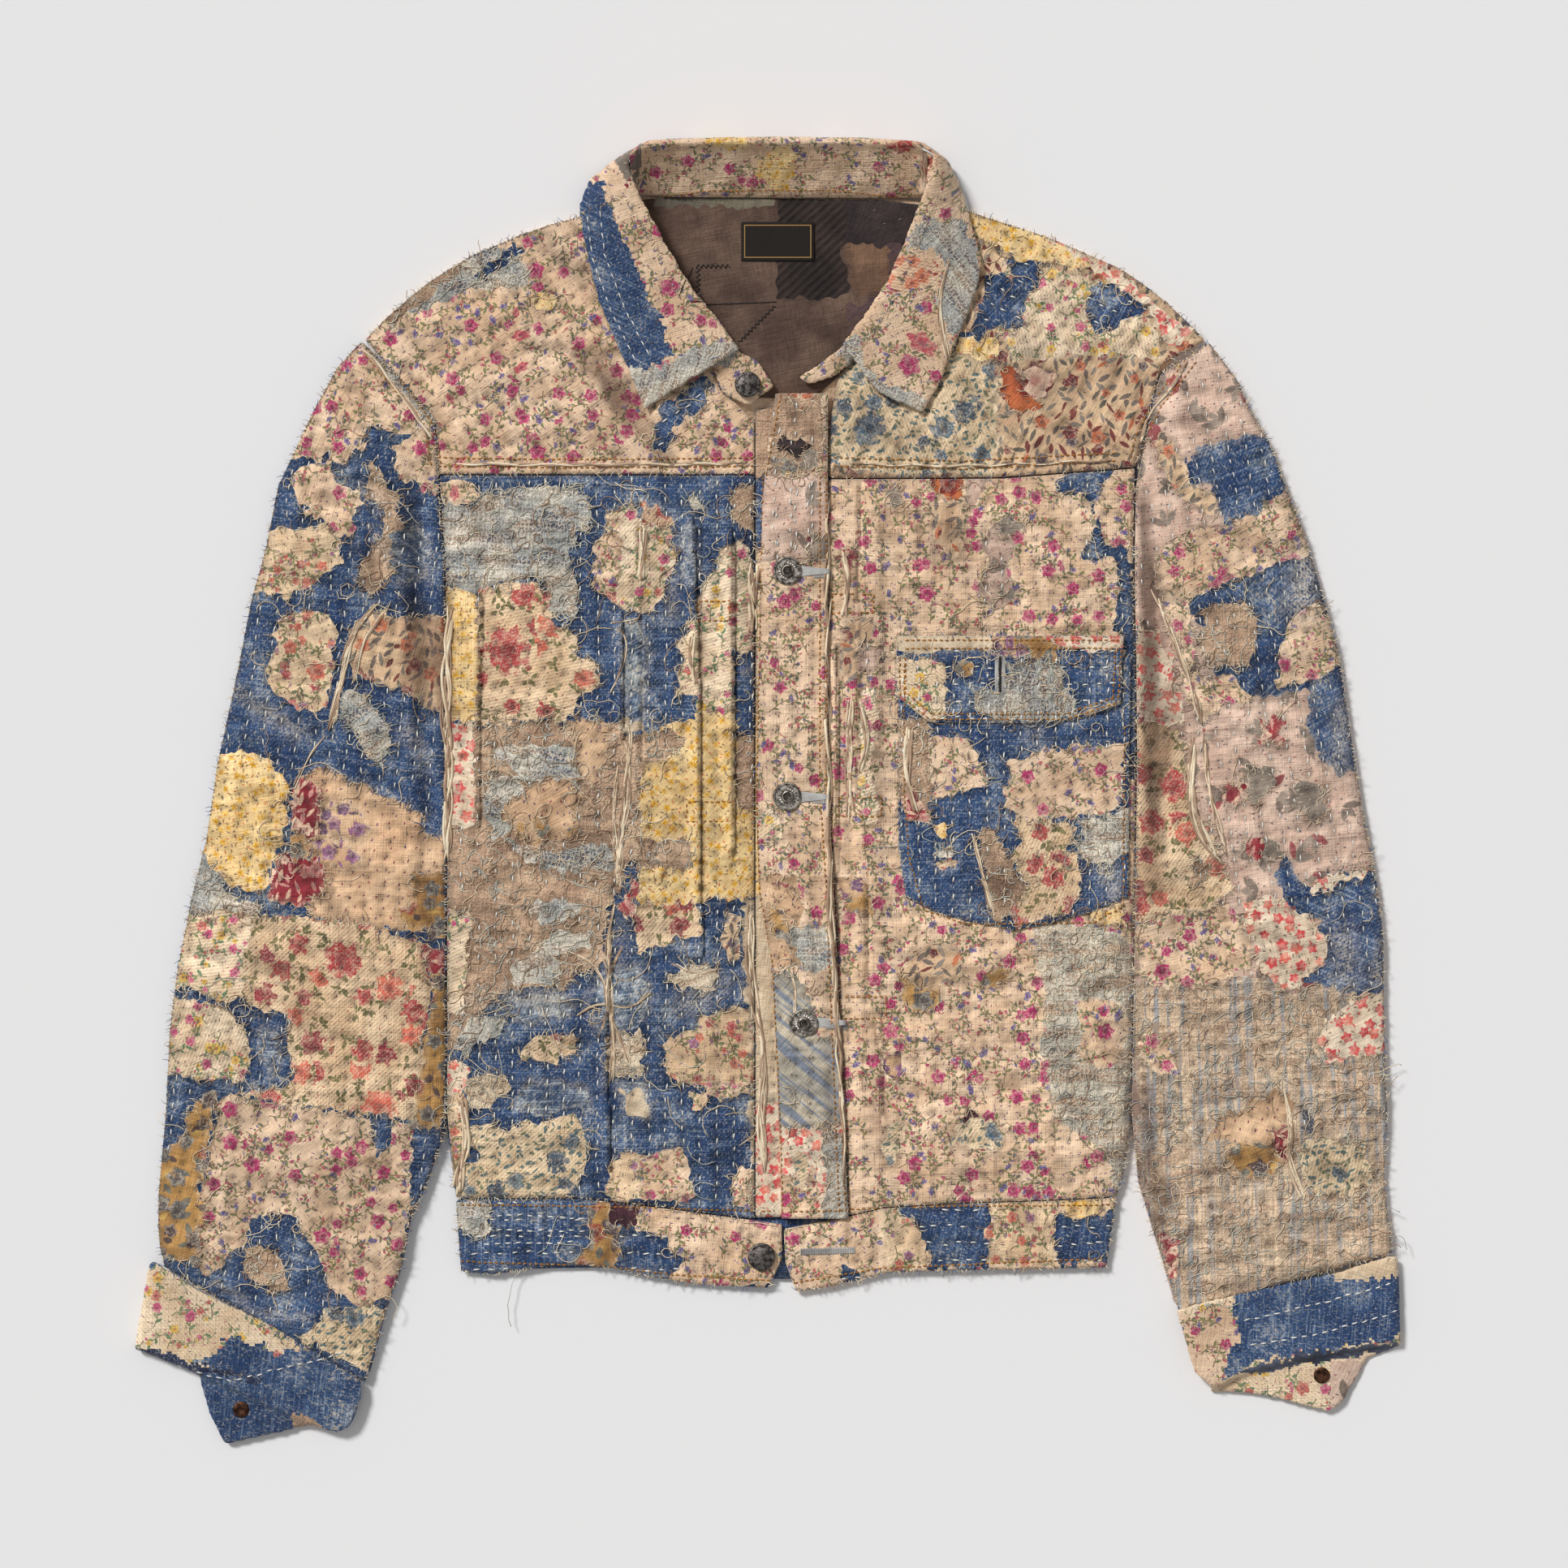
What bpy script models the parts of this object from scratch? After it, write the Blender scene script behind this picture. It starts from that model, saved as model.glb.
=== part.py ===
"""A patched boro jacket laid flat, face up: two walls of quilted cloth lying on each other.

The frame: +X to the viewer's right (the wearer's left), +Y from the hem to the collar, +Z up from the
surface the jacket lies on. Right and left in the names are the wearer's. Tables are in millimetres.
"""

from collections import namedtuple
from math import cos, hypot, pi, sin

import bmesh
import bpy
from mathutils import Vector

MM = 0.001
GAP = 0.3  # clearance between two pieces that touch
WALL = 3.0  # quilted body cloth: ground, patches and backing together
CUFF_WALL = 2.6
COLLAR_WALL = 2.6
LINING_WALL = 1.0
PATCH_WALL = 1.0
POCKET_WALL = 2.0
MOST_LIFT = 3.3  # how far an upper panel may stand off the panel under it
PLEAT_RISE = 1.5  # extra cloth in a pleat
RIM_DROP = 1.3  # how far an open or turned edge rounds down
SEAM = 0.35  # half the plan gap at a curved seam

UPPER = WALL + GAP  # underside of the upper panels
UPPER_TOP = UPPER + WALL
PLACKET_BASE = UPPER_TOP + GAP
LINING_TOP = UPPER + LINING_WALL

FRONT_BUTTON_RADIUS = 9.0
SHANK_RADIUS = 1.3
WAIST_LINE = -250.0
BACK_YOKE_LINE = 205.0

Point = namedtuple("Point", "x y")
Row = namedtuple("Row", "outer_x outer_y inner_x inner_y")
Band = namedtuple("Band", "upper_x upper_y lower_x lower_y lift")
Station = namedtuple("Station", "seam_x seam_y seam_z roll_x roll_y roll_z edge_x edge_y edge_z")
Fold = namedtuple("Fold", "x1 y1 x2 y2 half_width height")
Pleat = namedtuple("Pleat", "left right")
Patch = namedtuple("Patch", "panel left right bottom top")
Button = namedtuple("Button", "name x y base radius")


def points(*rows):
    return [Point(*row) for row in rows]


# Seam and edge lines, each named for the wearer's side, lowest point first.
ARMHOLE_RIGHT = points(
    (-198.4, 50), (-199, 138), (-202.5, 188), (-205, 229), (-223, 250), (-248.5, 280)
)
ARMHOLE_LEFT = points((227.2, 50), (225.3, 138), (226.5, 190), (240, 254), (243, 265), (270, 279.5))
SIDE_RIGHT = points((-192.5, -250), (-198, -207), (-198, -60), (-198.4, 50))
SIDE_LEFT = points((215, -249), (223.2, -225), (226, -86), (227.2, 50))
SHOULDER_RIGHT = points(
    (-248.5, 280), (-232, 297), (-207.5, 317), (-182.5, 332), (-143, 348.5), (-116, 356), (-88, 365.5)
)
SHOULDER_LEFT = points(
    (103, 365), (122, 359.5), (172, 343.5), (217, 324), (238.5, 309.5), (252.5, 297), (270, 279.5)
)
NECK_RIGHT = points(
    (-8.4, 237), (-28, 246), (-34, 262), (-40, 286), (-54, 304), (-63, 321), (-72, 338),
    (-80, 354), (-88, 365.5)
)
NECK_LEFT = points(
    (37.6, 250), (47, 259), (60, 277), (67, 287), (80, 308), (87, 324), (93, 339), (98, 351), (103, 365)
)
BACK_NECK = points((-88, 365.5), (-76, 371), (6, 369), (92, 368), (103, 365))
WAIST_SEAM_RIGHT = points((-192.5, -250), (-111, -250), (-73, -254.5), (-19.5, -261.5), (8.5, -265.5))
WAIST_SEAM_LEFT = points(
    (9.7, -268.5), (51, -260.5), (71.5, -255.5), (130.5, -252.5), (178.5, -251),
    (215, -249))
HEM_RIGHT = points(
    (-189.5, -295), (-168, -297), (-126.5, -290), (-96, -292.5), (-65.5, -300), (-34.5, -303.5),
    (0.5, -305)
)
HEM_LEFT = points((17.5, -307.5), (43, -303.5), (73, -295.5), (130.5, -294), (208.5, -292.5))
PLACKET_EDGE = points(
    (8.5, -264), (7, -211.5), (3, -106.5), (-5.5, -61.5), (-7.5, -1.5),
    (-3, 195.5), (4.5, 246))
PLACKET_SEAM = points((49.6, -260), (45, -160), (41, -60), (37, 0), (37, 195), (37, 247))
FRONT_EDGE_X = -8.4  # where the right front panel meets its button stand
STAND_EDGE_X = 29.0  # free edge of the button stand, under the buttonhole band

SLEEVE_RIGHT = [
    Row(-251, 278.5, -247.5, 276), Row(-265.5, 262.5, -226, 254), Row(-282, 232.5, -205.8, 229),
    Row(-292, 211, -204, 210), Row(-302, 189.5, -202.7, 188), Row(-310, 149.5, -200, 150),
    Row(-318.5, 119.5, -199, 118), Row(-326.5, 78.5, -198.8, 78), Row(-340, 15.5, -198.7, 14),
    Row(-346.5, -29, -198.7, -33), Row(-355, -62, -198.7, -75), Row(-364, -107, -198.7, -125),
    Row(-369, -145.5, -198.7, -165), Row(-371.5, -197, -199, -207), Row(-374, -225, -210.5, -241),
    Row(-376, -248, -220.5, -263), Row(-376, -268, -226, -292), Row(-375, -280, -236, -320),
    Row(-373, -288, -246.5, -359),
]
SLEEVE_LEFT = [
    Row(272, 278, 269.5, 276.5), Row(288.5, 256, 242, 258), Row(295.5, 240, 237.5, 240),
    Row(310, 215, 232, 213), Row(319, 190, 227.2, 190), Row(331.5, 158, 226.5, 158),
    Row(342, 122, 226.4, 124), Row(351.5, 88.5, 227.2, 92), Row(361, 25.5, 227.8, 27),
    Row(368, -17.5, 227.4, -15), Row(376, -57.5, 226.6, -57), Row(379.5, -90.5, 226.2, -90),
    Row(379.8, -125, 225.6, -125), Row(380.5, -160, 225, -160), Row(382, -197, 224.4, -197),
    Row(380, -235.5, 228.5, -239.5), Row(382, -258, 237, -268), Row(384, -270, 243, -287),
    Row(385.5, -280, 251.5, -316),
]
SLEEVE_TUCK = Point(0.8, -4.0)  # how far the upper sleeve wall reaches into its cuff

# Cuff bands from the free end, over the sleeve to the outer fold, and back under it to the end tab.
CUFF_RIGHT_OVER = [
    Band(-249.5, -370, -257, -390.5, 0), Band(-251, -361, -266, -394.5, 0),
    Band(-266, -352, -285, -388.5, 0),
    Band(-305, -328, -322, -371, 0), Band(-352, -305, -362, -353.5, 0),
    Band(-377.5, -288, -387, -343.5, 0),
]
CUFF_RIGHT_UNDER = [
    Band(-377.5, -290.5, -387, -344.5, 0), Band(-358, -303, -352, -359, 0),
    Band(-346, -309.5, -346, -381, 2.4),
    Band(-336, -314.5, -335.5, -402, 2.4), Band(-300, -333, -293, -392.5, 2.4),
    Band(-260, -357, -264, -386, 0),
]
CUFF_LEFT_OVER = [
    Band(251.5, -318.5, 262.5, -358, 0), Band(262, -314.5, 276, -367.5, 0),
    Band(289, -308.5, 295, -357.5, 0),
    Band(318, -302, 317, -352, 0), Band(350, -295, 343, -346.5, 0), Band(384.5, -284, 387, -338.5, 0),
]
CUFF_LEFT_UNDER = [
    Band(384.5, -286, 386.5, -343.5, 0), Band(373, -289, 371, -349, 0), Band(357, -295, 355, -375, 2.4),
    Band(346, -298.5, 346.5, -382, 2.4), Band(320, -304.5, 320, -375, 2.4),
    Band(290, -311, 290, -369.5, 1.2),
    Band(262, -318, 273, -371, 0),
]
FOLD_STEPS = 4  # facets round the outer fold of a cuff

# The collar, from the right front round the back neck to the left front.
COLLAR_ENDS_RIGHT = [
    Station(-12, 238, 8.2, 4.5, 250.5, 8.8, 0, 0, 0), Station(-28, 246, 8.2, -6, 267, 10.0, 0, 0, 0),
]
COLLAR = [
    Station(-34, 260, 8.0, -18, 272, 12.5, -76, 236, 9.2),
    Station(-40, 284, 7.8, -33, 293, 14.5, -85.5, 259, 9.2),
    Station(-54, 304, 7.8, -47.5, 309.5, 16, -96, 282, 9.4),
    Station(-63, 321, 7.6, -57, 326, 17.5, -104.5, 303.5, 9.6),
    Station(-72, 338, 7.6, -66.5, 342, 19, -110.5, 325, 9.8),
    Station(-80, 354, 7.4, -75, 358, 21, -114.5, 344, 10),
    Station(-85, 365, 6.8, -82, 372, 23, -116, 363, 9),
    Station(-82, 370, 6.2, -86, 385, 24, -110, 378, 6),
    Station(-77, 372, 6.0, -83, 391, 25, -95, 390, 3.5),
    Station(-68, 372.5, 6.0, -70, 396, 26, -73, 399.5, 2.6),
    Station(-30, 371.5, 6.0, -30, 397, 26.5, -31, 400.8, 2.4),
    Station(10, 370.5, 6.0, 10, 397.2, 27, 10, 401, 2.4),
    Station(50, 370.5, 6.0, 52, 397, 26.5, 54, 400.8, 2.4),
    Station(84, 370, 6.0, 90, 396, 26, 95, 399.5, 2.6),
    Station(93, 369, 6.0, 101, 391, 25, 111, 390, 3.5),
    Station(98, 367, 6.2, 101.5, 381, 24, 117, 378, 6),
    Station(101, 362, 6.8, 96, 367, 23, 122, 361, 9), Station(98, 350, 7.4, 91, 354, 21, 128, 343, 10),
    Station(93, 339, 7.6, 86.5, 343, 19, 132.5, 326.5, 9.8),
    Station(87, 324, 7.6, 80, 328, 17.5, 129.5, 311, 9.6),
    Station(80, 308, 7.8, 73, 313, 16.5, 122.5, 293, 9.4),
    Station(67, 287, 7.8, 60, 293, 15, 115, 275, 9.4),
    Station(60, 277, 7.8, 53, 285, 14, 105.5, 252, 9.2),
    Station(54, 268, 8.0, 49, 279, 13, 95, 234, 9.2),
    Station(50, 263, 8.0, 46, 275, 12.5, 66, 247, 9.2),
]
COLLAR_ENDS_LEFT = [
    Station(41, 256, 8.2, 33, 266, 10.0, 0, 0, 0), Station(25, 251, 8.2, 18.5, 256.5, 9.4, 0, 0, 0),
]
LEAF_STEPS = (0, 0.12, 0.3, 0.55, 0.78, 1)  # places across the turned-down leaf

FRONT_RIGHT_PLEATS = [Pleat(-90, -74), Pleat(-44, -21.5)]
FRONT_LEFT_PLEATS = [Pleat(52, 64.5)]
BACK_ROWS = (-250, -207, -130, -60, 0, 50, 100, 138, 188, 205)
FRONT_RIGHT_ROWS = (-256, -244, -202, -165, -122, -92, -64, -28, 14, 42, 58, 96, 130, 158, 184, 196)
FRONT_LEFT_ROWS = (-254, -242, -212, -180, -146, -112, -96, -60, -20, 20, 60, 98, 112, 145, 176, 197)
SEAM_ROLL = Pleat(-195, -185)  # the frayed roll down the right side seam

FOLDS = {
    "front_right": [
        Fold(-150, 150, -100, -210, 45, 1.8), Fold(-60, 150, -40, -200, 25, 1.2),
        Fold(-185, -60, -120, -110, 22, 1.6), Fold(-170, 20, -110, 5, 20, 1.4),
    ],
    "front_left": [
        Fold(95, 170, 200, 150, 30, 1.6), Fold(80, -120, 190, -150, 40, 2.0),
        Fold(90, -205, 200, -190, 26, 1.5), Fold(100, -100, 90, -230, 22, 1.2),
    ],
    "front_yoke_right": [Fold(-143, 274, -88, 272, 16, 1.0), Fold(-190, 240, -150, 300, 22, 0.8)],
    "front_yoke_left": [Fold(130, 300, 210, 270, 22, 0.9), Fold(80, 225, 160, 230, 20, 0.8)],
    "sleeve_right_top": [
        Fold(-260, 240, -240, 60, 34, 2.0), Fold(-300, 150, -260, 120, 24, 1.6),
        Fold(-330, 40, -220, -20, 24, 1.8), Fold(-345, -110, -230, -100, 30, 1.4),
        Fold(-340, -190, -260, -230, 26, 1.8), Fold(-300, -30, -280, -260, 30, 1.6),
    ],
    "sleeve_left_top": [
        Fold(290, 230, 270, 60, 34, 2.0), Fold(330, 110, 280, 90, 24, 1.6),
        Fold(350, 20, 250, -10, 24, 1.8), Fold(360, -110, 250, -130, 30, 1.4),
        Fold(365, -190, 270, -210, 26, 1.8), Fold(310, -40, 320, -250, 30, 1.6),
    ],
}

PATCHES = {
    "patch_rose_right": Patch("front_right", -181, -100, 40, 133),
    "patch_gauze_right": Patch("front_right", -181, -112, 150, 187),
    "patch_taupe_right": Patch("front_right", -181, -90, -125, 20),
    "patch_teal_right": Patch("front_right", -181, -105, -247, -195),
    "patch_twill_right": Patch("front_right", -58, -14, 56, 161),
    "patch_yellow_right": Patch("front_right", -60, -14, -67, 44),
    "patch_gauze_left": Patch("front_left", 160, 216, -216, -94),
    "patch_yellow_sleeve_right": Patch("sleeve_right_top", -345, -288, -70, 22),
    "patch_rose_sleeve_right": Patch("sleeve_right_top", -325, -205, -206, -78),
    "patch_magenta_sleeve_right": Patch("sleeve_right_top", -345, -225, -290, -212),
    "patch_grey_sleeve_left": Patch("sleeve_left_top", 268, 358, -48, 62),
    "patch_red_sleeve_left": Patch("sleeve_left_top", 286, 350, -130, -52),
    "patch_gauze_sleeve_left": Patch("sleeve_left_top", 238, 372, -283, -122),
}

FRONT_BUTTONS = [
    Button("front_button_1", 12, 137, PLACKET_BASE + WALL, FRONT_BUTTON_RADIUS),
    Button("front_button_2", 12, -2, PLACKET_BASE + WALL, FRONT_BUTTON_RADIUS),
    Button("front_button_3", 22, -141.5, PLACKET_BASE + WALL, FRONT_BUTTON_RADIUS),
]
SLOT_HALF = 1.8  # half the width of a buttonhole

DENIM = (0.09, 0.16, 0.34)
CREAM = (0.60, 0.44, 0.28)
TAUPE = (0.38, 0.27, 0.20)
GAUZE = (0.38, 0.38, 0.33)
GREY_METAL = (0.22, 0.21, 0.20)
COPPER = (0.20, 0.09, 0.04)


def cloth(name, colour, roughness=0.95, metallic=0.0):
    """One Principled material of the piece's own."""
    look = bpy.data.materials.new(name)
    look.use_nodes = True
    shader = look.node_tree.nodes["Principled BSDF"]
    shader.inputs["Base Color"].default_value = (*colour, 1)
    shader.inputs["Roughness"].default_value = roughness
    shader.inputs["Metallic"].default_value = metallic
    look.diffuse_color = (*colour, 1)
    return look


def finish(name, mesh_edit, look):
    bmesh.ops.recalc_face_normals(mesh_edit, faces=mesh_edit.faces)
    mesh = bpy.data.meshes.new(name)
    mesh_edit.to_mesh(mesh)
    mesh_edit.free()
    mesh.materials.append(look)
    piece = bpy.data.objects.new(name, mesh)
    bpy.context.collection.objects.link(piece)
    return piece


def wall(name, under, over, look, slots=()):
    """A closed wall between two equal grids of points; slots are the grid cells left open."""
    rows, columns = len(under), len(under[0])
    work = bmesh.new()
    bmesh.ops.create_grid(work, x_segments=columns - 1, y_segments=rows - 1, size=1)

    def place(vertex):
        return round((vertex.co.y + 1) / 2 * (rows - 1)), round((vertex.co.x + 1) / 2 * (columns - 1))

    open_cells = [
        face for face in work.faces
        if (min(place(v)[0] for v in face.verts), min(place(v)[1] for v in face.verts)) in slots
    ]
    bmesh.ops.delete(work, geom=open_cells, context="FACES")
    grown = bmesh.ops.extrude_face_region(work, geom=work.faces[:], use_keep_orig=True)
    upper = {part for part in grown["geom"] if isinstance(part, bmesh.types.BMVert)}
    for vertex in work.verts:
        row, column = place(vertex)
        vertex.co = Vector((over if vertex in upper else under)[row][column]) * MM
    bmesh.ops.triangulate(work, faces=work.faces[:])
    return finish(name, work, look)


def along(line, share):
    """The point at a share of the length of a line of points."""
    lengths = [hypot(b[0] - a[0], b[1] - a[1]) for a, b in zip(line, line[1:])]
    left = share * sum(lengths)
    for a, b, length in zip(line, line[1:], lengths):
        if left <= length or b is line[-1]:
            t = min(1.0, left / length)
            return Point(a[0] + (b[0] - a[0]) * t, a[1] + (b[1] - a[1]) * t)
        left -= length


def stretched(low, right, high, left, across, up):
    """A grid of plan points between four edge lines: low and high run left to right, the others up."""
    grid = []
    for v in up:
        row = []
        for u in across:
            b, t, l, r = along(low, u), along(high, u), along(left, v), along(right, v)
            row.append(Point(*(
                (1 - v) * b[k] + v * t[k] + (1 - u) * l[k] + u * r[k]
                - (1 - u) * (1 - v) * low[0][k] - u * (1 - v) * low[-1][k]
                - (1 - u) * v * high[0][k] - u * v * high[-1][k]
                for k in (0, 1)
            )))
        grid.append(row)
    return grid


def shares(count):
    """Equal steps from 0 to 1."""
    return [k / count for k in range(count + 1)]


def corner_shares(line, parts):
    """The share of a line's length at each of its corners, and at equal parts between them."""
    lengths = [hypot(b[0] - a[0], b[1] - a[1]) for a, b in zip(line, line[1:])]
    found, reached = [0.0], 0.0
    for length in lengths:
        found += [(reached + length * k / parts) / sum(lengths) for k in range(1, parts + 1)]
        reached += length
    return found


def moved(line, dx=0.0, dy=0.0):
    return [Point(p[0] + dx, p[1] + dy) for p in line]


def mixed(line, *extra):
    """A line with further points added to its end."""
    return list(line) + list(extra)


def smooth(t):
    t = max(0.0, min(1.0, t))
    return t * t * (3 - 2 * t)


def fold_height(fold, x, y):
    dx, dy = fold.x2 - fold.x1, fold.y2 - fold.y1
    t = max(0.0, min(1.0, ((x - fold.x1) * dx + (y - fold.y1) * dy) / (dx * dx + dy * dy)))
    away = hypot(x - fold.x1 - t * dx, y - fold.y1 - t * dy)
    return fold.height * smooth(1 - away / fold.half_width)


def pleat_height(pleats, x):
    inside = [smooth(min(x - p.left + 0.5, p.right + 0.5 - x)) for p in pleats]
    return PLEAT_RISE * max(inside, default=0.0)


def lifts(name, grid, crown, flat=None):
    """How far each grid point of an upper panel stands off what lies under it; none at its rim."""
    rows, columns = len(grid), len(grid[0])
    found = []
    for i, row in enumerate(grid):
        found.append([])
        for j, (x, y) in enumerate(row):
            rim = min(i / 1.6, (rows - 1 - i) / 1.6, j / 1.6, (columns - 1 - j) / 1.6, 1.0)
            lift = crown + sum(fold_height(f, x, y) for f in FOLDS.get(name, ()))
            lift = min(lift, MOST_LIFT) * smooth(rim)
            if flat and flat[0] < x < flat[1] and flat[2] < y < flat[3]:
                lift = 0.0
            found[-1].append(lift)
    return found


def sheet(name, grid, base, thickness, look, lift=None, rise=None, rounded="", slots=()):
    """A cloth wall over a plan grid. rounded names the rims (l, r, b, t) that are turned down."""
    rows, columns = len(grid), len(grid[0])
    under, over = [], []
    for i, row in enumerate(grid):
        under.append([])
        over.append([])
        for j, (x, y) in enumerate(row):
            low = base + (lift[i][j] if lift else 0.0)
            high = low + thickness + (rise(x, y) if rise else 0.0)
            turned = (
                (j == 0 and "l" in rounded) or (j == columns - 1 and "r" in rounded)
                or (i == 0 and "b" in rounded) or (i == rows - 1 and "t" in rounded)
            )
            if turned:
                high = low + thickness - RIM_DROP
            under[-1].append((x, y, low))
            over[-1].append((x, y, high))
    wall(name, under, over, look, slots)
    return over


def patch(name, spec, panel_top, look):
    """A patch on a panel, made from the panel's own points moved out."""
    rows = [i for i, row in enumerate(panel_top) if any(
        spec.left < p[0] < spec.right and spec.bottom < p[1] < spec.top for p in row)]
    middle = panel_top[(rows[0] + rows[-1]) // 2]
    columns = [j for j, p in enumerate(middle) if spec.left < p[0] < spec.right]
    part = [[panel_top[i][j] for j in columns] for i in rows]
    under = [[(x, y, z + GAP) for x, y, z in row] for row in part]
    over = [[(x, y, z + GAP + PATCH_WALL) for x, y, z in row] for row in part]
    wall(name, under, over, look)


def back_panels():
    across = shares(8)
    left = mixed(SIDE_RIGHT, Point(-199, 138), Point(-202.5, 188), Point(-202.9, BACK_YOKE_LINE - SEAM))
    right = mixed(SIDE_LEFT, Point(225.3, 138), Point(226.5, 190), Point(229.0, BACK_YOKE_LINE - SEAM))
    up = columns_at(WAIST_LINE, BACK_YOKE_LINE, BACK_ROWS)
    grid = stretched([left[0], right[0]], right, [left[-1], right[-1]], left, across, up)
    sheet("back_body", grid, 0, WALL, cloth("back cloth", CREAM))

    left = [
        Point(-202.8, BACK_YOKE_LINE + SEAM), *moved(ARMHOLE_RIGHT[3:-1], dx=2 * SEAM),
        ARMHOLE_RIGHT[-1]]
    right = [
        Point(228.8, BACK_YOKE_LINE + SEAM), *moved(ARMHOLE_LEFT[3:-1], dx=-2 * SEAM),
        ARMHOLE_LEFT[-1]]
    top = [*SHOULDER_RIGHT, *BACK_NECK[1:-1], *SHOULDER_LEFT]
    grid = stretched([left[0], right[0]], right, top, left, shares(18), corner_shares(left, 2))
    sheet("back_yoke", grid, 0, WALL, cloth("back yoke cloth", CREAM))

    top = [Point(-192.5, WAIST_LINE - SEAM * 2), Point(215, WAIST_LINE + 1 - SEAM * 2)]
    low = [HEM_RIGHT[0], Point(-96, -292), Point(9, -300), Point(100, -294), HEM_LEFT[-1]]
    grid = stretched(low, [low[-1], top[-1]], top, [low[0], top[0]], shares(8), shares(2))
    sheet("waistband_back", grid, 0, WALL, cloth("waistband back cloth", DENIM))


def columns_at(left, right, places):
    return [(p - left) / (right - left) for p in places]


def front_panels():
    tops = {}
    low = moved(mixed(WAIST_SEAM_RIGHT[:3], Point(FRONT_EDGE_X, -263)), dy=SEAM)
    left = [low[0], *SIDE_RIGHT[1:], Point(-199, 138), Point(-202.3, 188), Point(-203, 196)]
    left = moved(left, dx=0.2)
    low[0] = left[0]
    right = [low[-1], Point(FRONT_EDGE_X, 196)]
    high = [left[-1], right[-1]]
    places = [-198, -190, -182, -164, -144, -122, -102]
    for pleat in FRONT_RIGHT_PLEATS:
        places += [pleat.left - 1, pleat.left, pleat.right, pleat.right + 1]
    places = sorted(places + [-58, -15, FRONT_EDGE_X])
    across = columns_at(-198, FRONT_EDGE_X, places)
    grid = stretched(low, right, high, left, across, columns_at(-256, 196, FRONT_RIGHT_ROWS))
    strips = [*FRONT_RIGHT_PLEATS, SEAM_ROLL]
    tops["front_right"] = sheet(
        "front_right", grid, UPPER, WALL, cloth("right front cloth", DENIM),
        lifts("front_right", grid, 1.2), lambda x, y: pleat_height(strips, x), rounded="l",
    )

    left = moved(PLACKET_SEAM[:-1], dx=SEAM)
    left[0] = Point(left[0].x, -260.3)
    left[-1] = Point(left[-1].x, 193.6)
    low = [left[0], *moved(WAIST_SEAM_LEFT[2:], dy=SEAM)]
    right = [low[-1], *moved(SIDE_LEFT[1:], dx=-0.2), Point(225, 138), Point(226.2, 200.3)]
    high = [left[-1], Point(143, 194), right[-1]]
    places = [42, 51, 52, 64.5, 65.5, 76, 92, 110, 128, 145, 162, 178, 194, 210, 224]
    across = columns_at(42, 224, places)
    grid = stretched(low, right, high, left, across, columns_at(-254, 197, FRONT_LEFT_ROWS))
    flat = (70, 230, -100, 113)
    tops["front_left"] = sheet(
        "front_left", grid, UPPER, WALL, cloth("left front cloth", CREAM),
        lifts("front_left", grid, 1.2, flat),
        lambda x, y: pleat_height(FRONT_LEFT_PLEATS, x), rounded="r",
    )
    return tops


def front_yokes():
    low = [Point(-203.2, 196.8), Point(FRONT_EDGE_X, 196.8)]
    left = [low[0], *moved(ARMHOLE_RIGHT[3:-1], dx=2 * SEAM), SHOULDER_RIGHT[0]]
    right = [low[-1], *NECK_RIGHT]
    grid = stretched(low, right, SHOULDER_RIGHT, left, shares(11), shares(6))
    sheet("front_yoke_right", grid, UPPER, WALL, cloth("right yoke cloth", CREAM),
          lifts("front_yoke_right", grid, 0.0), rounded="t")

    low = [Point(37.6, 194.6), Point(143, 195), Point(226.6, 201.2)]
    left = [low[0], *NECK_LEFT]
    right = [low[-1], *moved(ARMHOLE_LEFT[3:-1], dx=-SEAM), SHOULDER_LEFT[-1]]
    grid = stretched(low, right, SHOULDER_LEFT, left, shares(11), shares(6))
    sheet("front_yoke_left", grid, UPPER, WALL, cloth("left yoke cloth", CREAM),
          lifts("front_yoke_left", grid, 0.0), rounded="t")


def plackets():
    low = [Point(FRONT_EDGE_X + 2 * SEAM, -261.5), Point(STAND_EDGE_X, -261)]
    high = [Point(FRONT_EDGE_X + 2 * SEAM, 236), Point(STAND_EDGE_X, 243)]
    grid = stretched(low, [low[1], high[1]], high, [low[0], high[0]], shares(2), shares(6))
    sheet("placket_right", grid, UPPER, WALL, cloth("button stand cloth", CREAM))

    up = [-262, -210, -170]
    for button in reversed(FRONT_BUTTONS):
        up += [button.y - SLOT_HALF, button.y + SLOT_HALF]
    up = sorted(up + [-100, -50, 40, 90, 180, 215, 246.5])
    steps = (0, 0.1, 0.26, 0.78, 1)
    grid = []
    for y in up:
        left, right = at_height(PLACKET_EDGE, y), at_height(PLACKET_SEAM, y)
        grid.append([Point(left + (right - left) * u, y) for u in steps])
    slots = {(up.index(b.y - SLOT_HALF), 2) for b in FRONT_BUTTONS}
    sheet("placket_left", grid, PLACKET_BASE, WALL, cloth("buttonhole band cloth", CREAM),
          rounded="l", slots=slots)


def at_height(line, y):
    """The x of a rising line at a height y."""
    for a, b in zip(line, line[1:]):
        if y <= b.y or b is line[-1]:
            return a.x + (b.x - a.x) * (y - a.y) / (b.y - a.y)


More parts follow.
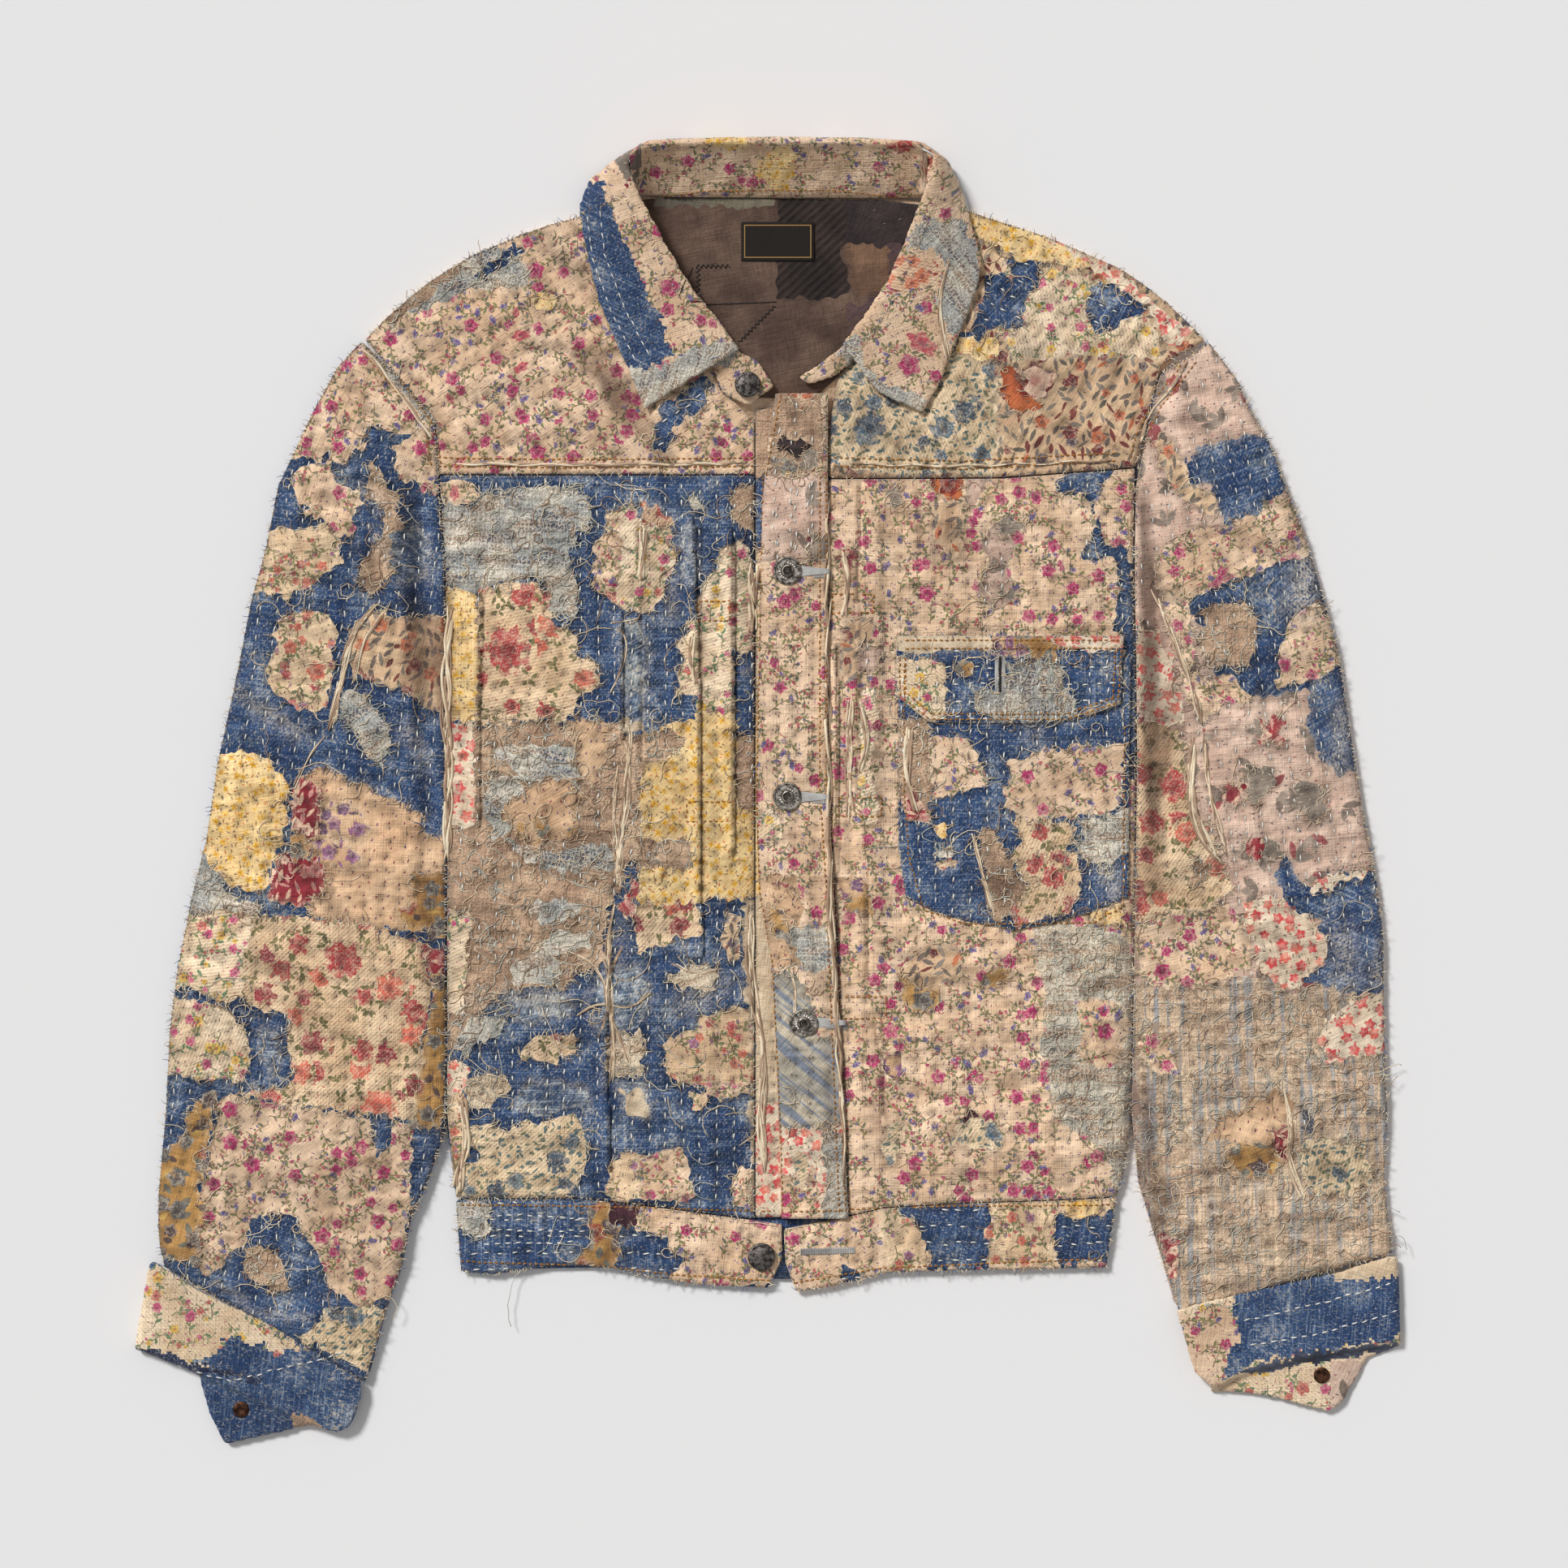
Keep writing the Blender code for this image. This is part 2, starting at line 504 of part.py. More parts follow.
def waistbands():
    high = moved(WAIST_SEAM_RIGHT, dy=-SEAM)
    left = [HEM_RIGHT[0], high[0]]
    right = [HEM_RIGHT[-1], Point(8.8, -292), high[-1]]
    grid = stretched(HEM_RIGHT, right, high, left, shares(10), shares(2))
    sheet("waistband_right", grid, UPPER, WALL, cloth("right waistband cloth", DENIM), rounded="lb")

    high = moved(WAIST_SEAM_LEFT, dy=-SEAM)
    left = [HEM_LEFT[0], Point(11, -296), high[0]]
    right = [HEM_LEFT[-1], high[-1]]
    grid = stretched(HEM_LEFT, right, high, left, shares(10), shares(2))
    sheet("waistband_left", grid, UPPER, WALL, cloth("left waistband cloth", DENIM), rounded="rb")


def sleeve(side, rows, look_top, look_under):
    """The two walls of a sleeve: sections from the outer edge to the inner one, shoulder to cuff."""
    outward = -1 if side == "right" else 1
    tuck = Point(-outward * SLEEVE_TUCK.x, SLEEVE_TUCK.y)
    last = rows[-1]
    tucked = Row(
        last.outer_x + tuck.x, last.outer_y + tuck.y, last.inner_x + outward * 2,
        last.inner_y + tuck.y)
    across = (0, 0.06, 0.2, 0.36, 0.52, 0.68, 0.84, 0.95, 1)

    def plan(sections, steps):
        grid = []
        for r in sections:
            ends = [Point(r.outer_x, r.outer_y), Point(r.inner_x, r.inner_y)]
            grid.append([along(ends, u) for u in steps])
        return [row[::-1] if outward > 0 else row for row in reversed(grid)]

    name = f"sleeve_{side}_top"
    grid = plan([*rows[:-1], tucked], across)
    edge = "l" if side == "right" else "r"
    top = sheet(name, grid, UPPER, WALL, look_top, lifts(name, grid, 1.4), rounded=edge)
    sheet(f"sleeve_{side}_under", plan(rows, (0, 0.33, 0.67, 1)), 0, WALL, look_under)
    return top


def cuff(side, over_rows, under_rows, look):
    """One band of cloth folded round the sleeve's end: free end, outer fold, end tab."""
    outward = -1 if side == "right" else 1
    high = PLACKET_BASE + CUFF_WALL / 2
    low = CUFF_WALL / 2
    half = CUFF_WALL / 2
    across = (0, 0.35, 0.7, 1)
    inner, outer = [], []

    def add(row, middle, tilt):
        """One section; tilt 0 faces up, pi faces down, and between them lies the fold."""
        ins, outs = [], []
        for w in across:
            x = row.upper_x + (row.lower_x - row.upper_x) * w
            y = row.upper_y + (row.lower_y - row.upper_y) * w
            z = middle(w)
            side_way, up_way = outward * sin(tilt) * half, cos(tilt) * half
            ins.append((x - side_way, y, z - up_way))
            outs.append((x + side_way, y, z + up_way))
        inner.append(ins)
        outer.append(outs)

    for row in over_rows:
        add(row, lambda w: high - w, 0)
    start, end = over_rows[-1], under_rows[0]
    for k in range(1, FOLD_STEPS):
        tilt = pi * k / FOLD_STEPS
        t = k / FOLD_STEPS
        bulge = outward * sin(tilt) * (high - low) / 2
        row = Band(*(a + (b - a) * t for a, b in zip(start, end)))
        row = row._replace(upper_x=row.upper_x + bulge, lower_x=row.lower_x + bulge)
        add(row, lambda w: low + ((high - w) - low) * (1 + cos(tilt)) / 2, tilt)
    for row in under_rows:
        add(row, lambda w: low + row.lift * smooth(w / 0.7), pi)
    wall(f"cuff_{side}", inner, outer, look)


def normal_of(along_way, up_way):
    length = hypot(along_way, up_way)
    return -up_way / length, along_way / length


def collar():
    """The stand rises from the neck seam to the roll line; the leaf turns down over it."""
    stations = [*COLLAR_ENDS_RIGHT, *COLLAR, *COLLAR_ENDS_LEFT]
    inner, outer = [], []
    for k, s in enumerate(stations):
        before, after = stations[max(0, k - 1)], stations[min(len(stations) - 1, k + 1)]
        way = Vector((after.roll_x - before.roll_x, after.roll_y - before.roll_y)).normalized()
        out = Vector((-way.y, way.x))
        run = (s.roll_x - s.seam_x) * out.x + (s.roll_y - s.seam_y) * out.y
        n_out, n_up = normal_of(run, s.roll_z - s.seam_z)
        ins, outs = [], []
        for w in (0, 0.5, 1):
            x = s.seam_x + (s.roll_x - s.seam_x) * w
            y = s.seam_y + (s.roll_y - s.seam_y) * w
            z = s.seam_z + (s.roll_z - s.seam_z) * w
            step = COLLAR_WALL / 2
            ins.append((x + out.x * n_out * step, y + out.y * n_out * step, z + n_up * step))
            outs.append((x - out.x * n_out * step, y - out.y * n_out * step, z - n_up * step))
        inner.append(ins)
        outer.append(outs)
    wall("collar_stand", inner, outer, cloth("collar stand cloth", CREAM))
    wall("collar_leaf", *leaf(), cloth("collar leaf cloth", CREAM))


def leaf():
    under, over = [], []
    half = COLLAR_WALL / 2
    for s in COLLAR:
        reach = hypot(s.edge_x - s.roll_x, s.edge_y - s.roll_y)
        way = ((s.edge_x - s.roll_x) / reach, (s.edge_y - s.roll_y) / reach)
        start = (-half, s.roll_z + half + GAP + half)
        bend = (3.4 + 0.1 * reach, start[1] + 1.2)
        short = 2.6 * max(0.0, 1 - reach / 60)
        fall = (0.55 * reach + short, s.edge_z + (start[1] - s.edge_z) * 0.6)
        end = (reach, s.edge_z)
        low, high = [], []
        for t in LEAF_STEPS:
            a, b, c, d = (1 - t) ** 3, 3 * t * (1 - t) ** 2, 3 * t * t * (1 - t), t ** 3
            at = [a * p + b * q + c * r + d * e for p, q, r, e in zip(start, bend, fall, end)]
            da, db, dc = 3 * (1 - t) ** 2, 6 * t * (1 - t), 3 * t * t
            go = [
                da * (q - p) + db * (r - q) + dc * (e - r)
                for p, q, r, e in zip(start, bend, fall, end)
            ]
            n_along, n_up = normal_of(*go)
            for grid_row, sign in ((low, -1), (high, 1)):
                away = at[0] + sign * n_along * half
                grid_row.append((
                    s.roll_x + way[0] * away, s.roll_y + way[1] * away, at[1] + sign * n_up * half
                ))
        under.append(low)
        over.append(high)
    return under, over


def pocket():
    base = UPPER_TOP + GAP
    low = points((85, -64), (92, -71), (149.5, -85), (192.5, -76), (222, -64))
    left = [low[0], Point(80.5, -52), Point(80.5, 84)]
    right = [low[-1], Point(223.5, 84)]
    high = [left[-1], right[-1]]
    grid = stretched(low, right, high, left, shares(6), shares(5))
    sheet("pocket", grid, base, POCKET_WALL, cloth("pocket cloth", DENIM), rounded="lrb")

    base += POCKET_WALL + GAP
    low = points((79.5, 60), (99.5, 43), (184.5, 43), (217, 55))
    high = points((79, 97), (219, 97))
    grid = stretched(
        low, [low[-1], high[-1]], high, [low[0], high[0]], (0, 0.17, 0.4, 0.6, 0.8, 1), shares(3))
    sheet("pocket_flap", grid, base, POCKET_WALL, cloth("pocket flap cloth", CREAM), rounded="lrb")


def neck_lining():
    low = points((-7.4, 244), (28.4, 244))
    left = [low[0], Point(-26.6, 248), *moved(NECK_RIGHT[2:-1], dx=1.2), Point(-82, 366)]
    right = [low[-1], Point(36.6, 252), *moved(NECK_LEFT[1:-1], dx=-1.2), Point(97, 363)]
    high = [left[-1], Point(-70, 369), Point(6, 367), Point(88, 366), right[-1]]
    grid = stretched(low, right, high, left, shares(6), shares(7))
    sheet("neck_lining", grid, UPPER, LINING_WALL, cloth("neck lining cloth", TAUPE))

    base = LINING_TOP + GAP
    grid = [[Point(x, y) for x in (-16.5, 28.5)] for y in (328.5, 352.5)]
    sheet("neck_label", grid, base, 0.8, cloth("label cloth", (0.02, 0.02, 0.02)))


def turned(name, profile, x, y, look, steps=12):
    """A solid turned about the vertical through (x, y); profile is (radius, height) going up."""
    work = bmesh.new()
    made = [work.verts.new((r * MM, 0, z * MM)) for r, z in profile]
    edges = [work.edges.new(pair) for pair in zip(made, made[1:])]
    bmesh.ops.spin(work, geom=made + edges, cent=(0, 0, 0), axis=(0, 0, 1), angle=2 * pi, steps=steps)
    bmesh.ops.remove_doubles(work, verts=work.verts, dist=0.00001)
    bmesh.ops.translate(work, verts=work.verts, vec=(x * MM, y * MM, 0))
    bmesh.ops.triangulate(work, faces=work.faces[:])
    piece = finish(name, work, look)
    piece.data.shade_smooth()
    piece.data.set_sharp_from_angle(angle=0.6)
    return piece


def donut_profile(radius, base, shank_to=None):
    """A tack button: a rounded ring round a sunk middle with a small boss."""
    below = [(0, shank_to), (SHANK_RADIUS, shank_to), (SHANK_RADIUS, base)] if shank_to else [(0, base)]
    return below + [
        (radius * 0.86, base), (radius, base + 1.0), (radius * 0.93, base + 2.5),
        (radius * 0.7, base + 3.1),
        (radius * 0.44, base + 2.6), (radius * 0.38, base + 1.7), (radius * 0.2, base + 1.7),
        (0, base + 2.2),
    ]


def buttons():
    for button in FRONT_BUTTONS:
        profile = donut_profile(button.radius, button.base + GAP, PLACKET_BASE)
        turned(button.name, profile, button.x, button.y, cloth(button.name, GREY_METAL, 0.45, 1.0))
    stand_top = 8.2 + COLLAR_WALL / 2 + 1.4
    neck_metal = cloth("neck_button", GREY_METAL, 0.5, 1.0)
    turned("neck_button", donut_profile(8.0, stand_top + GAP), -12.5, 251.5, neck_metal)
    waist_metal = cloth("waist_button", COPPER, 0.5, 1.0)
    turned("waist_button", donut_profile(8.5, UPPER_TOP + GAP), -4, -285.5, waist_metal)
    for side, x, y in (("right", -325, -380), ("left", 341.5, -359)):
        head = [(0, 0), (6.5, 0), (7.5, 0.6), (7.5, 1.5), (6.5, 2.1), (0, 2.1)]
        turned(f"cuff_button_{side}", head, x, y, cloth(f"cuff_button_{side}", COPPER, 0.5, 1.0))
        top = CUFF_WALL + 2.4 + GAP
        rivet = [(0, top), (5.0, top), (5.0, top + 0.5), (4.2, top + 0.9), (0, top + 1.0)]
        turned(f"cuff_rivet_{side}", rivet, x, y, cloth(f"cuff_rivet_{side}", COPPER, 0.4, 1.0))


def centre_on_origin():
    """Move every mesh so that the jacket's box stands centred on the origin."""
    corners = [v.co for piece in bpy.data.objects for v in piece.data.vertices]
    middle = Vector(
        [(min(c[k] for c in corners) + max(c[k] for c in corners)) / 2 for k in (0, 1)] + [0])
    for piece in bpy.data.objects:
        for vertex in piece.data.vertices:
            vertex.co -= middle


def main():
    for old in list(bpy.data.objects):
        bpy.data.objects.remove(old)
    back_panels()
    tops = front_panels()
    front_yokes()
    plackets()
    waistbands()
    tops["sleeve_right_top"] = sleeve(
        "right", SLEEVE_RIGHT, cloth("right sleeve cloth", CREAM),
        cloth("right under sleeve cloth", DENIM))
    tops["sleeve_left_top"] = sleeve(
        "left", SLEEVE_LEFT, cloth("left sleeve cloth", TAUPE),
        cloth("left under sleeve cloth", DENIM))
    cuff("right", CUFF_RIGHT_OVER, CUFF_RIGHT_UNDER, cloth("right cuff cloth", DENIM))
    cuff("left", CUFF_LEFT_OVER, CUFF_LEFT_UNDER, cloth("left cuff cloth", DENIM))
    collar()
    pocket()
    neck_lining()
    buttons()
    for name, spec in PATCHES.items():
        patch(name, spec, tops[spec.panel], cloth(name, GAUZE if "gauze" in name else CREAM))
    centre_on_origin()


main()
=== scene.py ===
"""A patched boro jacket laid flat: panels of pieced cloth, their stitching, frays and buttons."""

import math

import bmesh
import bpy
import numpy as np
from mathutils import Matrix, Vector
from mathutils.bvhtree import BVHTree
from mathutils.kdtree import KDTree


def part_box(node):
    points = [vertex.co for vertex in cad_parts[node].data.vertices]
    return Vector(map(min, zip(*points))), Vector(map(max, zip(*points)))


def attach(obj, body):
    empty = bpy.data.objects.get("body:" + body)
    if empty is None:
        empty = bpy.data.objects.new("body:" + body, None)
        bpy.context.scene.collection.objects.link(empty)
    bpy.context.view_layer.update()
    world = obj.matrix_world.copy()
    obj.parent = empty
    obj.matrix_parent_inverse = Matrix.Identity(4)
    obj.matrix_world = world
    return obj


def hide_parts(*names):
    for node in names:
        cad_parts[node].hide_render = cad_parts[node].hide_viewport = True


MM = 0.001
STEP = 1.6  # mesh of the front panels, in mm
BACK_STEP = 4.0
REMESH = 1.65
FAR = 9.0  # a motif coordinate that lies outside every motif

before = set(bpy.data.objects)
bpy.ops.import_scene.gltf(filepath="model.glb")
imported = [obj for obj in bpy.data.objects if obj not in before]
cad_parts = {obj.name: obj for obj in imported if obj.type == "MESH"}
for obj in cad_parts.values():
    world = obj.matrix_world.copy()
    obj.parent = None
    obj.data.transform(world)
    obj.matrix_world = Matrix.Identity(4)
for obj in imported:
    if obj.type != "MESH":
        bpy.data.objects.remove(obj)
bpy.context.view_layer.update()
bpy.ops.object.select_all(action="DESELECT")


# ---------------------------------------------------------------- small helpers

LATTICE = np.random.default_rng(11).random((256, 256)) * 2 - 1


def rows_of(width, text):
    """A table of numbers, width to a row."""
    return np.array(text.replace(",", " ").split(), float).reshape(-1, width)


def lines_of(count, text):
    """Each row of the text: count values, then the x and y of a line's points in mm."""
    rows = []
    for row in text.strip().splitlines():
        numbers = [float(word) for word in row.split()]
        rows.append((*numbers[:count], np.reshape(numbers[count:], (-1, 2))))
    return rows


def scraps(text):
    """Rows of a cloth's name and the x and y of its outline, point after point."""
    rows = []
    for word in text.split():
        if word.isalpha():
            rows.append((word,))
        else:
            rows[-1] += (float(word),)
    return rows


def corners_of(grid):
    """A grid as the four corners of each of its cells see it."""
    return grid[:-1, :-1], grid[1:, :-1], grid[:-1, 1:], grid[1:, 1:]


def beside(grid, mode="constant"):
    """The four grids that hold each place's neighbours."""
    wide = np.pad(grid, 1, mode=mode)
    return wide[:-2, 1:-1], wide[2:, 1:-1], wide[1:-1, :-2], wide[1:-1, 2:]


def plumb(tree, x, y, missing=None):
    """The height at which a plumb line first meets a surface."""
    hit = tree.ray_cast(Vector((x, y, 500)), Vector((0, 0, -1)))[0]
    return hit.z if hit else missing


def read(items, name, width=3, kind=float):
    """One value of every vertex, face or corner of a mesh."""
    out = np.zeros(len(items) * width, kind)
    items.foreach_get(name, out)
    return out.reshape(-1, width) if width > 1 else out


def noise(x, y, size, seed=0):
    """Smooth noise from -1 to 1 whose features are size mm across."""
    u = np.asarray(x) / size + 37.3 * seed + 4096
    v = np.asarray(y) / size + 91.7 * seed + 4096
    i, j = np.floor(u).astype(int), np.floor(v).astype(int)
    s, t = u - i, v - j
    s, t = s * s * (3 - 2 * s), t * t * (3 - 2 * t)
    i, j = i % 256, j % 256
    k, m = (i + 1) % 256, (j + 1) % 256
    low = LATTICE[i, j] * (1 - s) + LATTICE[k, j] * s
    high = LATTICE[i, m] * (1 - s) + LATTICE[k, m] * s
    return low * (1 - t) + high * t


def inside(x, y, outline):
    """Which points lie inside a closed outline."""
    found = np.zeros(x.shape, bool)
    px, py = outline[-1]
    for qx, qy in outline:
        crosses = (qy > y) != (py > y)
        rise = py - qy if py != qy else 1e-9
        found ^= crosses & (x < (px - qx) * (y - qy) / rise + qx)
        px, py = qx, qy
    return found


def along_line(line, gap):
    """Points every gap mm along a line, and the direction there."""
    line = np.array(line, float)
    steps = np.hypot(*(line[1:] - line[:-1]).T)
    reach = np.concatenate([[0], np.cumsum(steps)])
    at = np.arange(gap / 2, reach[-1], gap)
    x, y = np.interp(at, reach, line[:, 0]), np.interp(at, reach, line[:, 1])
    ahead = np.minimum(at + 1.5, reach[-1])
    behind = np.maximum(at - 1.5, 0)
    dx = np.interp(ahead, reach, line[:, 0]) - np.interp(behind, reach, line[:, 0])
    dy = np.interp(ahead, reach, line[:, 1]) - np.interp(behind, reach, line[:, 1])
    return x, y, np.arctan2(dy, dx)


def rounded_line(line):
    """The same line with its corners cut away twice, as a soft thread lies."""
    line = np.array(line, float)
    for _ in range(2):
        a, b = line[:-1], line[1:]
        cut = np.stack([a * 0.75 + b * 0.25, a * 0.25 + b * 0.75], 1).reshape(-1, line.shape[1])
        line = np.concatenate([line[:1], cut, line[-1:]])
    return line


def new_piece(name, co, faces):
    mesh = bpy.data.meshes.new(name)
    mesh.from_pydata(co if isinstance(co, list) else co.tolist(), [], faces)
    mesh.validate()
    mesh.polygons.foreach_set("use_smooth", [True] * len(mesh.polygons))
    piece = bpy.data.objects.new(name, mesh)
    bpy.context.scene.collection.objects.link(piece)
    return piece


# ---------------------------------------------------------------- cloth coordinates and relief

# Creases from one end to the other: x1, y1, x2, y2, half width, height (a trough is below 0).
FOLDS = rows_of(6, """
-143 275 -95 272 7 -1.6, -200 250 -150 262 9 1.3, -120 236 -98 204 5 1.6, -70 262 -62 236 6 1.2,
-210 290 -160 300 8 1.2, -185 226 -130 222 9 1.1, -150 330 -110 300 8 1, -225 262 -205 228 6 -1.2,
-85 240 -58 208 6 -1.3, 48 300 132 258 9 1.2, 150 270 222 214 10 1.3, 120 320 200 292 7 -1.1,
60 246 96 212 8 1.1, 205 286 236 262 6 1.2, 135 230 170 204 7 -1, -190 60 -110 52 8 1,
-196 10 -120 -20 10 1.2, -190 -60 -90 -74 11 1.3, -180 -120 -70 -128 9 1.3, -170 -160 -60 -150 8 -1.1,
-195 -190 -90 -214 9 1.2, -60 -110 -14 -128 7 1.2, -70 -190 -16 -206 8 1.2, -100 -236 -20 -228 7 -0.9,
-160 110 -130 60 9 0.9, -64 120 -58 40 5 0.9, -30 110 -26 20 5 1, 78 180 200 170 12 1, 92 140 130 118 8 1.2,
160 158 215 128 9 1.1, 60 30 58 -60 6 1.2, 80 -110 150 -100 9 1.2, 90 -150 210 -138 12 1.2,
84 -186 160 -178 9 -1.1, 110 -226 210 -214 10 1.2, 180 -110 216 -190 8 1, -250 262 -215 214 8 1.8,
-290 214 -230 186 9 -1.6, -306 182 -236 158 9 1.7, -318 140 -250 128 8 -1.3, -240 150 -216 96 8 1.7,
-320 100 -262 84 9 1.5, -330 60 -280 40 8 -1.5, -262 60 -214 24 9 1.7, -340 26 -270 -2 10 1.4,
-250 0 -206 -30 8 -1.5, -345 -40 -300 -60 8 1.4, -300 -66 -222 -100 10 1.5, -352 -96 -300 -110 9 -1.3,
-290 -128 -216 -150 10 1.6, -362 -150 -310 -160 9 1.4, -250 -170 -214 -212 8 1.4,
-372 -212 -316 -196 9 -1.4, -340 -230 -250 -222 10 1.5, -300 -262 -226 -280 9 1.5,
-376 -266 -330 -280 8 1.3, -330 -312 -262 -300 8 -1.2, 250 256 262 190 8 1.5, 258 226 306 206 9 -1.5,
246 176 318 166 10 1.6, 300 140 336 116 8 1.4, 240 120 300 108 9 -1.4, 250 84 330 92 9 1.3,
262 60 322 30 8 1.5, 310 60 356 44 8 -1.3, 240 20 292 -20 10 1.6, 300 0 362 -14 9 1.4,
258 -50 330 -40 9 -1.5, 300 -76 372 -92 9 1.5, 240 -100 300 -112 9 1.4, 262 -140 350 -132 10 -1.3,
250 -170 340 -184 10 1.5, 330 -160 386 -190 8 1.4, 262 -226 330 -206 9 1.3, 340 -226 388 -246 8 -1.2,
256 -262 340 -252 10 1.4, 300 -292 384 -276 8 1.2, -180 -262 -120 -276 6 0.8, -60 -270 -20 -290 6 0.8,
90 -262 150 -280 7 0.8, 234 120 236 40 7 -2.4, 238 40 242 -30 7 -2.2, -218 176 -214 110 7 -2.2,
-216 110 -212 50 7 -2, -112 268 -84 232 7 -1.6, -80 228 -60 204 7 -1.4, -300 -36 -272 -60 8 -1.6,
-214 60 -210 -10 6 -1.8, 232 172 236 130 7 -1.8
""")
# Pressed pleats: the side that stands proud (-1 left, 1 right), height, width, then the line.
PLEATS = lines_of(3, """
1 1.5 15 -46 170 -45 130 -42 60 -42 -40 -40 -100
1 1.5 11 -22 162 -21 80 -21 0 -22 -40
-1 1.1 10 -78 180 -78 120 -77 60 -78 20
1 1.3 11 -90 110 -90 70 -89 30
-1 1.5 16 57 192 57 150 54 100 58 60 56 0
1 1.2 12 42 90 43 20 42 -110
-1 1.2 13 63 -50 62 -118
-1 1.3 13 66 -140 71 -165 73 -186 70 -205
1 1 8 -176 120 -178 60 -178 -20
1 1.1 12 -96 -100 -100 -150 -97 -240
""")


# Painted shade in deep folds, along pleats and under edges: the same six values, the last a
# share of 1; below 0 the cloth is rubbed pale instead.
PAINTED_SHADE_AND_RUB = rows_of(6, """
233 176 236 130 9 0.8, 236 130 238 20 9 1, 238 20 238 -60 8 0.8, 226 -228 246 -246 9 0.7,
-222 182 -218 120 9 0.8, -222 112 -214 78 12 0.9, -206 110 -200 56 8 0.7, -114 262 -92 250 12 0.7,
-92 236 -66 204 10 0.5, 120 -66 152 -50 9 0.5, -207 -200 -212 -262 8 0.6, 222 -64 224 -200 6 0.4,
-214 -30 -208 -120 6 0.5, 60 232 92 214 8 0.4, 240 4 246 60 9 0.6, -12 190 -10 40 5 0.4,
36 -120 40 -250 5 0.4, -36 -170 -30 -240 6 0.4, -42 166 -41 60 1.7 1, -42 60 -40 -60 1.7 0.9,
-22 152 -21 -20 1.7 0.9, -79 162 -76 110 1.7 0.8, -75 92 -77 40 1.7 0.9, -178 128 -179 44 1.6 0.6,
-8 190 -8 40 2 0.9, 55 150 57 60 1.7 0.9, 70 -140 73 -200 1.7 0.7, 43 90 42 -60 1.6 0.8,
-97 -110 -97 -230 1.7 0.6, 140 -250 141 -190 1.6 0.5, 233 -190 240 -262 11 0.9, 10 246 28 226 10 0.7,
104 150 128 128 14 0.4, -112 224 -90 200 12 0.4, -136 340 -112 322 13 0.5, -262 200 -276 180 9 0.4,
-300 -112 -280 -136 13 0.4, -270 -72 -262 -88 10 0.5, 132 -44 148 -62 9 0.6, 256 -336 264 -346 10 0.5,
-176 166 -160 158 9 0.4, 92 186 94 150 3 0.5, 331 140 332 112 11 -0.8, 355 -92 357 -112 11 -0.5,
380 -94 376 -112 7 -0.5, 355 48 352 16 9 -0.5, -92 -84 -96 -104 10 -0.2, -94 -146 -96 -176 7 -0.4,
-180 -130 -130 -126 8 -0.5, 163 50 165 36 9 -0.4, 204 -44 214 -60 8 -0.5, -236 150 -216 132 10 -0.5,
-250 186 -236 176 6 -0.4, -60 150 -58 110 5 -0.4, -50 -130 -30 -120 8 -0.5, -222 36 -212 20 7 -0.4,
-330 62 -290 40 7 -0.5, -101 266 -96 250 9 0.5, -197 124 -198 40 7 0.8, 19 152 19 130 10 0.5,
-250 150 -240 130 9 0.7, 156 268 170 254 12 0.5, -224 170 -220 156 9 0.6, 115 -214 118 -230 11 0.4,
283 -236 281 -256 10 0.4, 256 98 262 84 10 0.4, -250 -48 -238 -58 11 0.4, 66 -190 70 -206 10 0.4,
160 -262 170 -272 9 0.5, -226 290 -216 276 9 0.4, -80 266 -74 252 8 0.4, 112 172 116 156 11 0.4
""")


def strokes(x, y, rows):
    """The sum of soft-edged strokes, each a little crooked."""
    total = np.zeros_like(x)
    for x1, y1, x2, y2, half, height in rows:
        length = math.hypot(x2 - x1, y2 - y1)
        ux, uy = (x2 - x1) / length, (y2 - y1) / length
        along = (x - x1) * ux + (y - y1) * uy
        across = -(x - x1) * uy + (y - y1) * ux
        across = across + half * 0.35 * noise(along, across, 26, seed=int(abs(x1)) % 9)
        past = np.maximum(0, np.maximum(-along, along - length))
        total += height * np.exp(-((across / half) ** 2) * 1.6 - (past / (half * 1.1)) ** 2)
    return total


def crease_height(x, y):
    total = strokes(x, y, FOLDS)
    for side, height, width, line in PLEATS:
        line = rounded_line(line)
        for (x1, y1), (x2, y2) in zip(line[:-1], line[1:]):
            length = math.hypot(x2 - x1, y2 - y1) or 1e-6
            ux, uy = (x2 - x1) / length, (y2 - y1) / length
            along = (x - x1) * ux + (y - y1) * uy
            across = ((x - x1) * uy - (y - y1) * ux) * side
            on = (along >= 0) & (along < length)
            rise = np.where(across >= 0, np.clip(1 - across / width, 0, 1), 0)
            dip = np.where((across < 0) & (across > -2.4), -1.3 * (1 + across / 2.4), 0)
            total += np.where(on, 1.3 * height * rise + dip * min(1, height), 0)
    return total


def box_blur(grid, count):
    """Sum over a square of 2 count + 1 cells, by running sums."""
    for axis in (0, 1):
        padded = np.concatenate(
            [np.zeros_like(np.take(grid, [0], axis)), np.cumsum(grid, axis)], axis)
        size = grid.shape[axis]
        top = np.minimum(np.arange(size) + count + 1, size)
        low = np.maximum(np.arange(size) - count, 0)
        grid = np.take(padded, top, axis) - np.take(padded, low, axis)
    return grid


def soften(z, kept, reach):
    """Blurs heights twice, inside the kept area only."""
    count = max(1, int(round(reach / 2)))
    for _ in range(2):
        weight = box_blur(kept.astype(float), count)
        total = box_blur(np.where(kept, z, 0.0), count)
        z = np.where(kept, total / np.maximum(weight, 1e-6), z)
    return z


